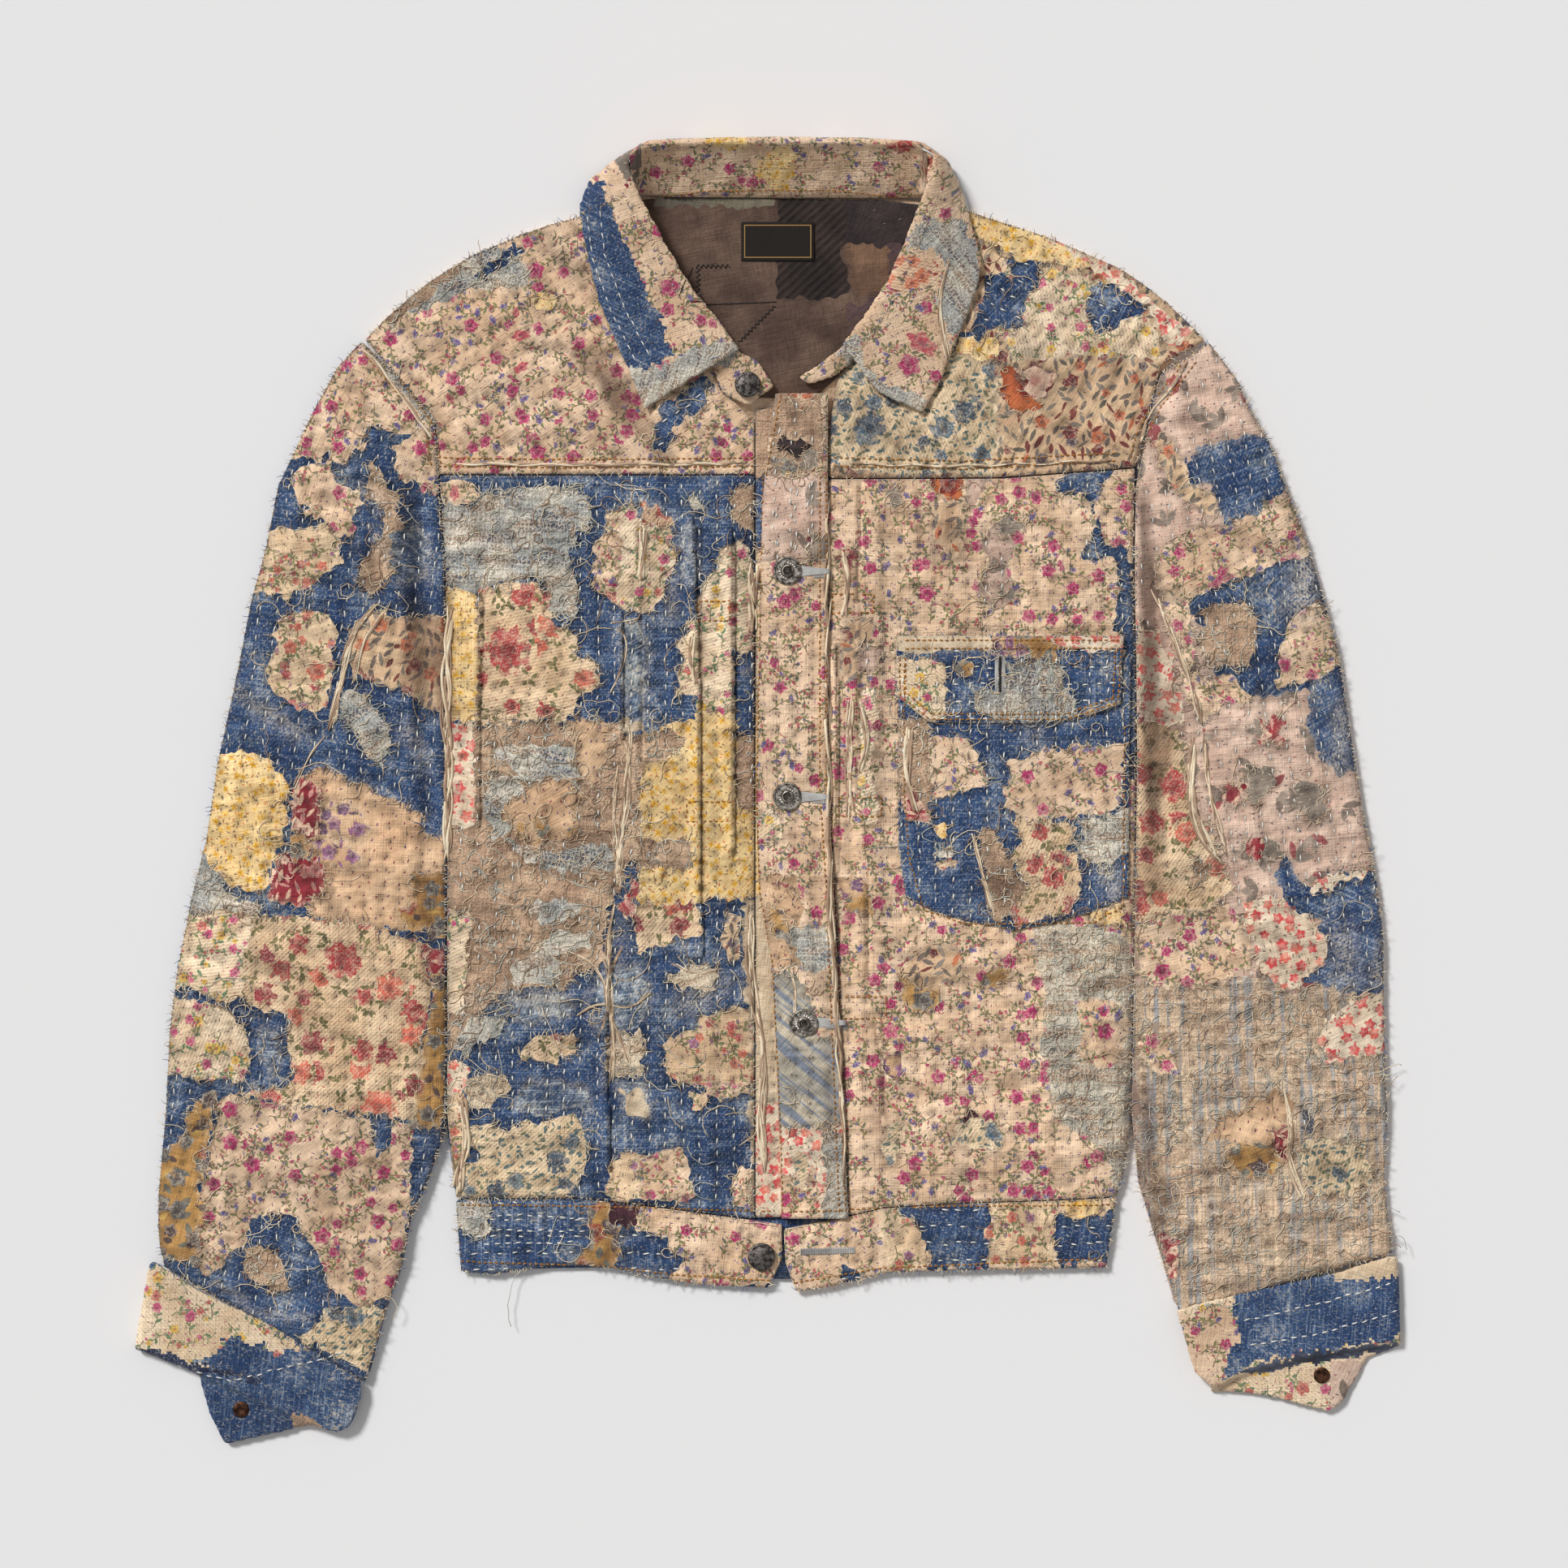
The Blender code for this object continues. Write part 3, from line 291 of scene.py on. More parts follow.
def solid_tree(*names):
    co, faces, start = [], [], 0
    for name in names:
        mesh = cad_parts[name].data
        co += [tuple(c * 1000 for c in v.co) for v in mesh.vertices]
        faces += [[start + i for i in p.vertices] for p in mesh.polygons]
        start = len(co)
    return BVHTree.FromPolygons(co, faces)


CORNERS = [(0, 0), (1, 0), (1, 1), (0, 1)]  # round a cell
# Sizes in mm: how far facets are smoothed, and the width of cloth that a hollow is judged by;
# where the relief is full, and how far in the edge rounds down; the least thickness at the rim;
# how far a patch's step is felt, and how high it stands.
FACET, HOLLOW = 7, 11
FULL_RELIEF, ROUNDED = 4.5, 1.9
THIN_EDGE = 0.9
STEP_REACH, STEP_HEIGHT = 9, 0.9
CREASES, LIFT = 1.6, 0.85  # shares of the creases and of the patches' steps in the relief
WHITE_SEWN = ("denim", "faded", "navy", "mauve", "taupe")


class Cover:
    """The cloth over one flat solid: a square mesh of heights whose rim follows the solid's outline."""

    def __init__(self, name, solid, step, under=False):
        self.name, self.step, self.under = name, step, under
        low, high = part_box(solid)
        self.base = low.z * 1000
        self.ceiling = high.z * 1000
        self.tree = solid_tree(solid)
        self.xs = np.arange(low.x * 1000 - step, high.x * 1000 + 2 * step, step)
        self.ys = np.arange(low.y * 1000 - step, high.y * 1000 + 2 * step, step)
        self.x, self.y = np.meshgrid(self.xs, self.ys, indexing="ij")
        self.z = np.full(self.x.shape, np.nan)
        for i, x in enumerate(self.xs):
            for j, y in enumerate(self.ys):
                self.z[i, j] = plumb(self.tree, x, y, math.nan)
        self.cells = np.all(corners_of(~np.isnan(self.z)), 0)
        self.drop_pinched_cells()
        touching = sum(corners_of(np.pad(self.cells, 1).astype(int)))
        self.used = touching > 0
        self.rim = self.used & (touching < 4)
        self.snap_rim()
        self.z = np.where(self.used, self.z, 0.0)
        self.hollow = self.shade_and_rub = np.zeros_like(self.z)

    def off_edge(self, x, y):
        return plumb(self.tree, x, y) is None

    def cell_at(self, x, y):
        return int((x - self.xs[0]) / self.step), int((y - self.ys[0]) / self.step)

    def drop_pinched_cells(self):
        """Where two cells touch at one corner only, both go."""
        while True:
            a, b, c, d = corners_of(self.cells)
            cross = (a & d & ~b & ~c) | (b & c & ~a & ~d)
            if not cross.any():
                return
            for i, j in zip(*np.nonzero(cross)):
                self.cells[i:i + 2, j:j + 2] = False

    def snap_rim(self):
        """Moves the rim's points out to the solid's own outline."""
        wide = np.pad(self.cells, 1)
        for i, j in zip(*np.nonzero(self.rim)):
            dx = dy = 0.0
            for a in (0, 1):
                for b in (0, 1):
                    if not wide[i + a, j + b]:
                        dx += a - 0.5
                        dy += b - 0.5
            size = math.hypot(dx, dy)
            if size < 0.1:
                continue
            dx, dy = dx / size, dy / size
            near, far = 0.0, 1.5 * self.step
            x, y = self.x[i, j], self.y[i, j]
            if not self.off_edge(x + dx * far, y + dy * far):
                near = far
            for _ in range(7):
                middle = (near + far) / 2
                if self.off_edge(x + dx * middle, y + dy * middle):
                    far = middle
                else:
                    near = middle
            self.x[i, j] = x + dx * near
            self.y[i, j] = y + dy * near

    def distance_in(self):
        """How many cells each used point lies from the rim, up to six."""
        deep = np.zeros(self.used.shape)
        inner = self.used & ~self.rim
        for _ in range(6):
            deep += inner
            inner = np.all([inner, *beside(inner)], 0)
        return deep

    def shape(self, rough, ceiling):
        """Smooths the solid's facets, then lays creases, patch edges and puckers on it."""
        x, y = self.x, self.y
        self.z = soften(self.z, self.used, FACET / self.step)
        c, s = math.cos(self.way), math.sin(self.way)
        along, across = x * c + y * s, y * c - x * s
        wave = noise(along, across, 30, 8)
        pucker = 1 - 2 * np.abs(noise(along / 0.55, across / 1.5 + wave, 10, 3))
        wrinkle = 1 - 2.2 * np.abs(noise(along / 0.9 + 3 * wave, across / 1.7, 17, 9))
        grain = noise(x, y, 3.4, 5)
        relief = crease_height(x, y) * CREASES + LIFT * self.patch_lift()
        relief += rough * (0.6 * noise(x, y, 24, 1) + 0.8 * pucker + 0.75 * wrinkle + 0.45 * grain)
        relief += self.quilting()
        deep = self.distance_in() * self.step
        edge = np.clip(deep / FULL_RELIEF, 0, 1)
        thick = self.z - self.base
        self.z = self.z + relief * (0.25 + 0.75 * edge)
        self.z -= thick * 0.2 * np.clip(1 - deep / ROUNDED, 0, 1) ** 2
        self.z = np.maximum(self.z, self.base + THIN_EDGE)
        self.z = np.minimum(self.z, ceiling(x, y))
        # height over the local mean: the material paints shade in hollows and light on ridges from it
        self.hollow = self.z - soften(self.z, self.used, HOLLOW / self.step)
        # painted shade along the strokes, and rubbed pale places where below 0
        self.shade_and_rub = np.clip(strokes(x, y, PAINTED_SHADE_AND_RUB), -1, 1)

    def quilting(self):
        """The dimple that each running stitch pulls into the cloth."""
        dent = np.zeros_like(self.x)
        for sx, sy, angle, length, _ in self.stitches:
            i, j = self.cell_at(sx, sy)
            r = int(5 / self.step) + 1
            part = (slice(max(i - r, 0), i + r + 1), slice(max(j - r, 0), j + r + 1))
            dx, dy = self.x[part] - sx, self.y[part] - sy
            along = dx * math.cos(angle) + dy * math.sin(angle)
            across = -dx * math.sin(angle) + dy * math.cos(angle)
            past = np.maximum(np.abs(along) - length * 0.4, 0)
            dent[part] -= 1.1 * np.exp(-((across / 2.0) ** 2) - (past / 1.9) ** 2)
        return dent

    def patch_lift(self):
        """A patch stands up to half a millimetre over the cloth that it is sewn on."""
        high = np.max(corners_of(np.pad(self.height, 1, constant_values=-1)), 0)
        high = np.where(self.used, np.maximum(high, 0), 0)
        count = max(1, int(STEP_REACH / self.step))
        weight = box_blur(self.used.astype(float), count)
        mean = box_blur(high * self.used, count) / np.maximum(weight, 1)
        return STEP_HEIGHT * (high - mean)

    def lay(self, ground, patches, way):
        """Gives every cell the cloth of the topmost patch over it, with torn, wavering edges."""
        self.way = way
        self.cell_x, self.cell_y = sum(corners_of(self.x)) / 4, sum(corners_of(self.y)) / 4
        self.fabrics = [ground] + [p[0] for p in patches]
        self.patch_of = patch_map(self.cell_x, self.cell_y, patches)
        level = np.array([LEVEL.get(f, 1.0) for f in self.fabrics])
        self.height = np.where(self.cells, level[self.patch_of], -1)
        kinds = np.where(self.cells, self.patch_of, -1)
        self.kinds = np.pad(kinds, 1, constant_values=-1)
        self.ease_borders()

    def ease_borders(self):
        """Draws the stepped border between two cloths into a flowing line."""
        _, b, c, d = corners_of(self.kinds)
        flat, upright = (b != d)[:-1], (c != d)[:, :-1]
        free = self.used & ~self.rim
        for _ in range(2):
            for grid in (self.x, self.y):
                total, count = np.zeros_like(grid), np.zeros_like(grid)
                total[:-1] += np.where(flat, grid[1:], 0)
                count[:-1] += flat
                total[1:] += np.where(flat, grid[:-1], 0)
                count[1:] += flat
                total[:, :-1] += np.where(upright, grid[:, 1:], 0)
                count[:, :-1] += upright
                total[:, 1:] += np.where(upright, grid[:, :-1], 0)
                count[:, 1:] += upright
                moved = free & (count > 1)
                grid[moved] = grid[moved] * 0.5 + 0.5 * total[moved] / count[moved]

    def sew(self, angle):
        """Rows of running stitch over the whole panel: white on denim, small and dull elsewhere."""
        gap, pitch = 10.5, 8.8  # between rows, and from stitch to stitch, in mm
        rng = np.random.default_rng(len(self.name) + 7)
        self.stitches = []
        cx, cy = self.xs.mean(), self.ys.mean()
        reach = max(np.ptp(self.xs), np.ptp(self.ys)) * 0.75
        rows = np.arange(-reach, reach, gap)
        for row in rows:
            start = rng.uniform(0, pitch)
            for at in np.arange(-reach + start, reach, pitch):
                at = at + rng.normal(0, 0.7)
                side = row + rng.normal(0, 0.5)
                x = cx + at * math.cos(angle) - side * math.sin(angle)
                y = cy + at * math.sin(angle) + side * math.cos(angle)
                fabric = self.fabric_at(x, y)
                if fabric and rng.random() < SEWN.get(fabric, 0.8):
                    turn = angle + rng.normal(0, 0.12)
                    white = fabric in WHITE_SEWN
                    long = rng.uniform(3.1, 4.8) if white else rng.uniform(1.6, 2.8)
                    self.stitches.append((x, y, turn, long, white))

    def fabric_at(self, x, y):
        i, j = self.cell_at(x, y)
        if 1 <= i < self.cells.shape[0] - 1 and 1 <= j < self.cells.shape[1] - 1:
            if self.cells[i, j] and self.cells[i - 1, j] and self.cells[i, j + 1]:
                return self.fabrics[self.patch_of[i, j]]
        return None

    def build(self, angle=0.0, seed=0):
        """Makes the closed mesh: the worked face, its rim and a plain flat back."""
        index = np.full(self.used.shape, -1)
        index[self.used] = np.arange(self.used.sum())
        points = np.stack([self.x[self.used], self.y[self.used], self.z[self.used]], 1)
        if self.under:
            points[:, 2] = self.base
        ci, cj = np.nonzero(self.cells)
        quads = np.stack([index[ci, cj], index[ci + 1, cj], index[ci + 1, cj + 1],
                          index[ci, cj + 1]], 1)
        patch = self.patch_of[ci, cj]
        edges = {}
        for q in quads:
            for a, b in ((0, 1), (1, 2), (2, 3), (3, 0)):
                a, b = int(q[a]), int(q[b])
                if (b, a) in edges:
                    del edges[(b, a)]
                else:
                    edges[(a, b)] = True
        follow = dict(edges.keys())
        other = len(points)
        back = points.copy()
        back[:, 2] = self.ceiling if self.under else self.base
        rim_ids = sorted(follow)
        place = {v: other + k for k, v in enumerate(rim_ids)}
        points = np.concatenate([points, back[rim_ids]])
        walls = [[b, a, place[a], place[b]] for a, b in follow.items()]
        loops, left = [], dict(follow)
        while left:
            first = next(iter(left))
            loop, at = [first], left.pop(first)
            while at != first and at in left:
                loop.append(at)
                at = left.pop(at)
            if len(loop) > 2:
                loops.append([place[v] for v in reversed(loop)])
        faces = quads.tolist() + walls + loops
        if self.under:
            faces = [f[::-1] for f in faces]
        piece = new_piece(self.name, points * MM, faces)
        shown = np.full(len(piece.data.polygons), -1)
        shown[:len(patch)] = patch
        near = [self.edge_values(ci, cj)]
        near += [np.stack([grid[ci + a, cj + b] for a, b in CORNERS], 1)
                 for grid in (self.hollow, self.shade_and_rub)]
        dress(piece, points[:, :2], shown, self.fabrics, angle, seed, np.stack(near, -1))
        return piece

    def edge_values(self, ci, cj):
        """1 at a patch border, falling to 0 inside; below 0 on the cloth that lies under it, where the
        material paints the edge's shadow.
        """
        around = np.stack(corners_of(self.kinds))
        low = np.where(around < 0, 999, around).min(0)
        spread = (around.max(0) != low) & (low < 999)
        near = spread.astype(float)
        for value in (0.6, 0.3, 0.12):
            spread = np.any([spread, *beside(spread)], 0)
            near = np.where(spread & (near == 0), value, near)
        near = np.where(self.rim, np.maximum(near, 0.5), near)
        wide = np.pad(self.height, 2, constant_values=-1)
        long, tall = self.height.shape
        top = np.max([wide[a:a + long, b:b + tall] for a in range(5) for b in range(5)], 0)
        sign = np.where(self.height >= top - 0.05, 1.0, -1.0)
        return np.stack([near[ci + a, cj + b] * sign[ci, cj] for a, b in CORNERS], 1)

    def frays(self, rng):
        """Where threads stand out of a patch edge: place, direction and cloth."""
        found, level = [], self.height
        for axis in (0, 1):
            first = [slice(None), slice(None)]
            second = [slice(None), slice(None)]
            first[axis], second[axis] = slice(None, -1), slice(1, None)
            first, second = tuple(first), tuple(second)
            differ = (level[first] >= 0) & (level[second] >= 0)
            differ &= np.abs(level[first] - level[second]) > 0.15
            for i, j in zip(*np.nonzero(differ)):
                k, m = (i + 1, j) if axis == 0 else (i, j + 1)
                up = level[i, j] > level[k, m]
                fabric = self.fabrics[self.patch_of[i, j] if up else self.patch_of[k, m]]
                way = (0.0 if axis == 0 else math.pi / 2) + (0 if up else math.pi)
                if rng.random() < FRAY.get(fabric, 0.3):
                    found.append(((self.cell_x[i, j] + self.cell_x[k, m]) / 2,
                                  (self.cell_y[i, j] + self.cell_y[k, m]) / 2,
                                  way + rng.normal(0, 0.7), fabric))
        return found


def patch_map(x, y, patches):
    """The number of the topmost patch over each place, 0 where none is."""
    wx = x + 1.7 * noise(x, y, 8, 21) + 2.6 * noise(x * 0.3, y, 2.6, 22)
    wy = y + 1.7 * noise(x, y, 8, 23) + 2.6 * noise(x, y * 0.3, 2.6, 24)
    found = np.zeros(x.shape, int)
    for number, (_, *flat) in enumerate(patches, 1):
        line = np.reshape(flat, (-1, 2))
        low, high = line.min(0), line.max(0)
        near = (wx > low[0]) & (wx < high[0]) & (wy > low[1]) & (wy < high[1])
        if near.any():
            hit = inside(wx[near], wy[near], line)
            part = found[near]
            part[hit] = number
            found[near] = part
    return found


# ---------------------------------------------------------------- printed motifs

class Prints:
    """The blooms, leaves and stems printed on one patch, in mm."""

    def __init__(self, rng):
        self.rng = rng
        self.rows = {"bloom": [], "leaf": [], "stem": []}

    def scatter(self, box, gap, loose=0.42):
        rng = self.rng
        x0, y0, x1, y1 = box
        xs = np.arange(x0 - gap, x1 + gap, gap)
        ys = np.arange(y0 - gap, y1 + gap, gap * 0.88)
        out = []
        for row, y in enumerate(ys):
            for x in xs:
                jitter = rng.uniform(-loose, loose, 2) * gap
                out.append((x + (row % 2) * gap / 2 + jitter[0], y + jitter[1]))
        return out

    def bloom(self, x, y, radius, pick=None):
        pick = self.rng.random() if pick is None else pick
        self.rows["bloom"].append((x, y, radius, self.rng.uniform(0, 6.283), pick))

    def leaf(self, x, y, long, wide, turn, pick=None):
        pick = self.rng.random() if pick is None else pick
        self.rows["leaf"].append((x, y, long, wide, turn, pick))

    def stem(self, x0, y0, x1, y1, wide=0.34):
        self.rows["stem"].append((x0, y0, x1, y1, wide, self.rng.random()))

    def sprig(self, x, y, turn, parts, part, bloom, leaf, pick=None):
        """A curving stem with leaves either side and a bloom at its head."""
        rng = self.rng
        curl = rng.normal(0, 0.2)
        for k in range(parts):
            x1, y1 = x + part * math.cos(turn), y + part * math.sin(turn)
            self.stem(x, y, x1, y1)
            if rng.random() < 0.92:
                way = turn + (1 if k % 2 else -1) * rng.uniform(0.6, 1.1)
                long = leaf * rng.uniform(0.7, 1.2)
                self.leaf(x1 + math.cos(way) * long, y1 + math.sin(way) * long, long,
                          long * 0.42, way, rng.random() * 0.62)
            if rng.random() < 0.28:
                way = turn + rng.choice((-1, 1)) * rng.uniform(0.7, 1.2)
                x2, y2 = x1 + 2.6 * math.cos(way), y1 + 2.6 * math.sin(way)
                self.stem(x1, y1, x2, y2)
                self.bloom(x2, y2, rng.uniform(0.9, 1.4), rng.choice((0.2, 0.6, 0.9, 0.9)))
            x, y, turn = x1, y1, turn + curl + rng.normal(0, 0.12)
        self.bloom(x + math.cos(turn) * bloom * 0.6, y + math.sin(turn) * bloom * 0.6,
                   bloom * rng.uniform(0.85, 1.12), pick)

    def dashes(self, box, gap, long=1.1, wide=0.36):
        for x, y in self.scatter(box, gap):
            self.leaf(x, y, long * self.rng.uniform(0.7, 1.3), wide,
                      self.rng.uniform(0, 3.14), self.rng.uniform(0.66, 0.99))


def floral(p, box):
    """Long curving stems with small leaves, small violet bells and a few rich pink blooms."""
    rng = p.rng
    for x, y in p.scatter(box, 11.5):
        kind = rng.random()
        if kind < 0.22:
            p.sprig(x, y, rng.uniform(0, 6.28), 6, 2.3, rng.uniform(3.8, 5.4), 2.0,
                    rng.uniform(0, 0.44))
        elif kind < 0.54:
            p.sprig(x, y, rng.uniform(0, 6.28), 6, 2.2, rng.uniform(2.4, 3.4), 1.9,
                    rng.uniform(0.46, 0.7))
        else:
            p.sprig(x, y, rng.uniform(0, 6.28), 6, 2.2, 1.9, 1.9, rng.uniform(0.76, 0.99))
    p.dashes(box, 6.5)


def meadow(p, box):
    rng = p.rng
    for x, y in p.scatter(box, 12.5):
        p.sprig(x, y, rng.uniform(0, 6.28), 6, 2.3, rng.choice((1.9, 3.6)), 2.2, rng.random())
    p.dashes(box, 6.2)


def yellow(p, box):
    for x, y in p.scatter(box, 8.6):
        p.bloom(x, y, p.rng.uniform(1.9, 2.7))
        way = p.rng.uniform(0, 6.28)
        p.stem(x, y, x + 3.4 * math.cos(way), y + 3.4 * math.sin(way), 0.22)
        p.leaf(x + 4 * math.cos(way), y + 4 * math.sin(way), 1.4, 0.55, way + 0.5, 0.2)
    p.dashes(box, 4.6, 1.1, 0.5)


def rose(p, box):
    for x, y in p.scatter(box, 27, 0.5):
        p.bloom(x, y, p.rng.uniform(5.5, 9.0))
    for x, y in p.scatter(box, 15):
        for _ in range(5):
            way = p.rng.uniform(0, 6.28)
            off = p.rng.uniform(1, 4.5)
            p.leaf(x + off * math.cos(way), y + off * math.sin(way), p.rng.uniform(1.8, 3.2),
                   p.rng.uniform(0.9, 1.5), way, p.rng.random() * 0.6)
    p.dashes(box, 6.6, 1.0, 0.42)


def twill(p, box):
    for x, y in p.scatter(box, 12):
        p.sprig(x, y, p.rng.uniform(0, 6.28), 4, 2.4, p.rng.choice((2.0, 3.6)), 2.2)
    p.dashes(box, 6.0)


def teal(p, box):
    for x, y in p.scatter(box, 26, 0.5):
        p.bloom(x, y, p.rng.uniform(4.0, 8.0))
    for x, y in p.scatter(box, 5.4, 0.5):
        p.leaf(x, y, p.rng.uniform(1.4, 3.0), p.rng.uniform(0.7, 1.3), p.rng.normal(0.4, 0.8),
               p.rng.random() * 0.62)
    p.dashes(box, 7)


def leafprint(p, box):
    for x, y in p.scatter(box, 7.2):
        p.leaf(x, y, p.rng.uniform(3.0, 5.4), p.rng.uniform(0.9, 1.7),
               p.rng.normal(1.2, 0.7), p.rng.random())
    for x, y in p.scatter(box, 19, 0.5):
        p.bloom(x, y, p.rng.uniform(3.0, 5.5))


def dotted(p, box):
    for x, y in p.scatter(box, 8.2, 0.2):
        p.leaf(x, y, 1.15, 0.55, p.rng.normal(1.3, 0.5), p.rng.uniform(0.66, 0.99))


def ditsy(p, box):
    for x, y in p.scatter(box, 10.5, 0.3):
        p.bloom(x, y, p.rng.uniform(3.2, 4.4))
    for x, y in p.scatter(box, 6):
        p.leaf(x, y, 1.4, 0.6, p.rng.uniform(0, 3.14))


def mauve(p, box):
    for x, y in p.scatter(box, 27, 0.5):
        way = p.rng.uniform(0, 6.28)
        for k in range(3):
            turn = way + (k - 1) * 0.85
            p.leaf(x + 5 * math.cos(turn), y + 5 * math.sin(turn), p.rng.uniform(4.5, 7),
                   p.rng.uniform(2.2, 3.2), turn, p.rng.random() * 0.6)
    p.dashes(box, 7.2, 1.0, 0.5)


def mustard(p, box):
    for x, y in p.scatter(box, 17, 0.5):
        p.bloom(x, y, p.rng.uniform(4.5, 8))
    for x, y in p.scatter(box, 13):
        p.leaf(x, y, p.rng.uniform(3, 6), p.rng.uniform(1.6, 2.6), p.rng.uniform(0, 6.28))


def petals(p, box):
    for x, y in p.scatter(box, 12, 0.3):
        p.bloom(x, y, p.rng.uniform(4.0, 6.0))
    for x, y in p.scatter(box, 9):
        p.leaf(x, y, p.rng.uniform(2, 4), 1.0, p.rng.uniform(0, 6.28))


def specks(p, box):
    p.dashes(box, 6.4, 1.2, 0.42)


def blots(p, box):
    for x, y in p.scatter(box, 23, 0.3):
        p.bloom(x, y, p.rng.uniform(3, 5))


def dress(piece, plan, shown, fabrics, angle, seed, near=None):
    """Gives a mesh its cloths, its thread directions and its printed motifs.

    plan holds each vertex's place on the flat cloth in mm; shown each face's patch, -1 if plain."""
    mesh = piece.data
    totals = read(mesh.polygons, "loop_total", 1, int)
    face = np.repeat(np.arange(len(totals)), totals)
    corner = plan[read(mesh.loops, "vertex_index", 1, int)]
    starts = np.concatenate([[0], np.cumsum(totals)[:-1]])
    centre = np.add.reduceat(corner, starts, axis=0) / totals[:, None]
    patch = np.where(shown < 0, 0, shown)
    names = sorted(set(fabrics))
    for name in names:
        mesh.materials.append(CLOTH[name])
    slot = np.array([names.index(f) for f in fabrics])
    mesh.polygons.foreach_set("material_index", slot[patch])
    rng = np.random.default_rng(seed + 3)
    turns = angle + rng.normal(0, 0.35, len(fabrics))
    turns[0] = angle
    tone = rng.random(len(fabrics))
    turn, own = turns[patch][face], tone[patch][face]
    weft = np.stack([corner[:, 0] * np.cos(turn) + corner[:, 1] * np.sin(turn),
                     -corner[:, 0] * np.sin(turn) + corner[:, 1] * np.cos(turn), own], 1)
    put(mesh, "weft", weft)
    border = np.zeros((len(corner), 3))
    if near is not None:
        border[:near.size // 3] = near.reshape(-1, 3)
    put(mesh, "border", border)
    printed = np.nonzero(shown >= 0)[0]
    tree = KDTree(len(printed))
    for k in printed:
        tree.insert((centre[k, 0], centre[k, 1], 0), int(k))
    tree.balance()
    kinds = {"bloom": [], "leaf": [], "stem": []}
    for number in sorted(set(shown[printed].tolist())):
        maker = MOTIFS.get(fabrics[number])
        if maker is None:
            continue
        mine = centre[printed][shown[printed] == number]
        low, high = mine.min(0), mine.max(0)
        p = Prints(np.random.default_rng(seed * 101 + number * 7 + 1))
        maker(p, (low[0], low[1], high[0], high[1]))
        for name, rows in p.rows.items():
            kinds[name] += [(*row, number) for row in rows]
    low, high = corner.min(0), corner.max(0)
    for x, y, radius, pick in BLOOMS:
        if low[0] < x < high[0] and low[1] < y < high[1]:
            kinds["bloom"].append((x, y, radius, rng.uniform(0, TAU), pick, -1))
    for name, rows in kinds.items():
        put(mesh, name, place(name, rows, tree, shown, centre, corner, face))


def place(kind, rows, tree, shown, centre, corner, face):
    """Each corner's place within the motif that its face carries: two shares and a colour."""
    best = np.full(len(shown), 9.0)
    owner = np.full(len(shown), -1)
    table = np.array([r[:-1] for r in rows], float) if rows else np.zeros((0, 6))
    for number, row in enumerate(rows):
        if kind == "bloom":
            x, y, reach = row[0], row[1], row[2] * 1.12 + 1
        elif kind == "leaf":
            x, y, reach = row[0], row[1], row[2] + 1
        else:
            x, y = (row[0] + row[2]) / 2, (row[1] + row[3]) / 2
            reach = math.hypot(row[2] - row[0], row[3] - row[1]) / 2 + 0.9
        hits = tree.find_range((x, y, 0), reach)
        if not hits:
            continue
        ids = np.fromiter((h[1] for h in hits), int, len(hits))
        if row[-1] >= 0:
            ids = ids[shown[ids] == row[-1]]
        if not len(ids):
            continue
        dx, dy = centre[ids, 0] - x, centre[ids, 1] - y
        if kind == "bloom":
            score = np.hypot(dx, dy) / row[2] - (8 if row[-1] < 0 else 0)
        elif kind == "leaf":
            c, s = math.cos(row[4]), math.sin(row[4])
            score = np.hypot((dx * c + dy * s) / row[2], (dy * c - dx * s) / (row[3] + 0.5))
        else:
            length = math.hypot(row[2] - row[0], row[3] - row[1])
            c, s = (row[2] - row[0]) / length, (row[3] - row[1]) / length
            score = np.abs(dy * c - dx * s)
            ids, score = ids[score < 1.4], score[score < 1.4]
        better = score < best[ids]
        owner[ids[better]] = number
        best[ids[better]] = score[better]
    out = np.full((len(face), 3), FAR)
    own = owner[face]
    on = own >= 0
    if not on.any():
        return out
    mine = table[own[on]]
    dx, dy = corner[on, 0] - mine[:, 0], corner[on, 1] - mine[:, 1]
    if kind == "bloom":
        c, s = np.cos(mine[:, 3]), np.sin(mine[:, 3])
        out[on] = np.stack([(dx * c + dy * s) / mine[:, 2], (dy * c - dx * s) / mine[:, 2],
                            mine[:, 4]], 1)
    elif kind == "leaf":
        c, s = np.cos(mine[:, 4]), np.sin(mine[:, 4])
        out[on] = np.stack([(dx * c + dy * s) / mine[:, 2], (dy * c - dx * s) / mine[:, 3],
                            mine[:, 5]], 1)
    else:
        ex, ey = mine[:, 2] - mine[:, 0], mine[:, 3] - mine[:, 1]
        length = np.hypot(ex, ey)
        out[on] = np.stack([(dy * ex - dx * ey) / length / mine[:, 4],
                            (dx * ex + dy * ey) / length ** 2, mine[:, 5]], 1)
    return out


def put(mesh, name, values):
    layer = mesh.attributes.new(name, "FLOAT_VECTOR", "CORNER")
    layer.data.foreach_set("vector", np.ascontiguousarray(values, np.float32).ravel())


# ---------------------------------------------------------------- materials

def tint(dye):
    """A dye given as red, green and blue from 00 to ff, made linear."""
    out = []
    for value in bytes.fromhex(dye):
        value /= 255
        out.append(value / 12.92 if value < 0.04045 else ((value + 0.055) / 1.055) ** 2.4)
    return (*out, 1.0)


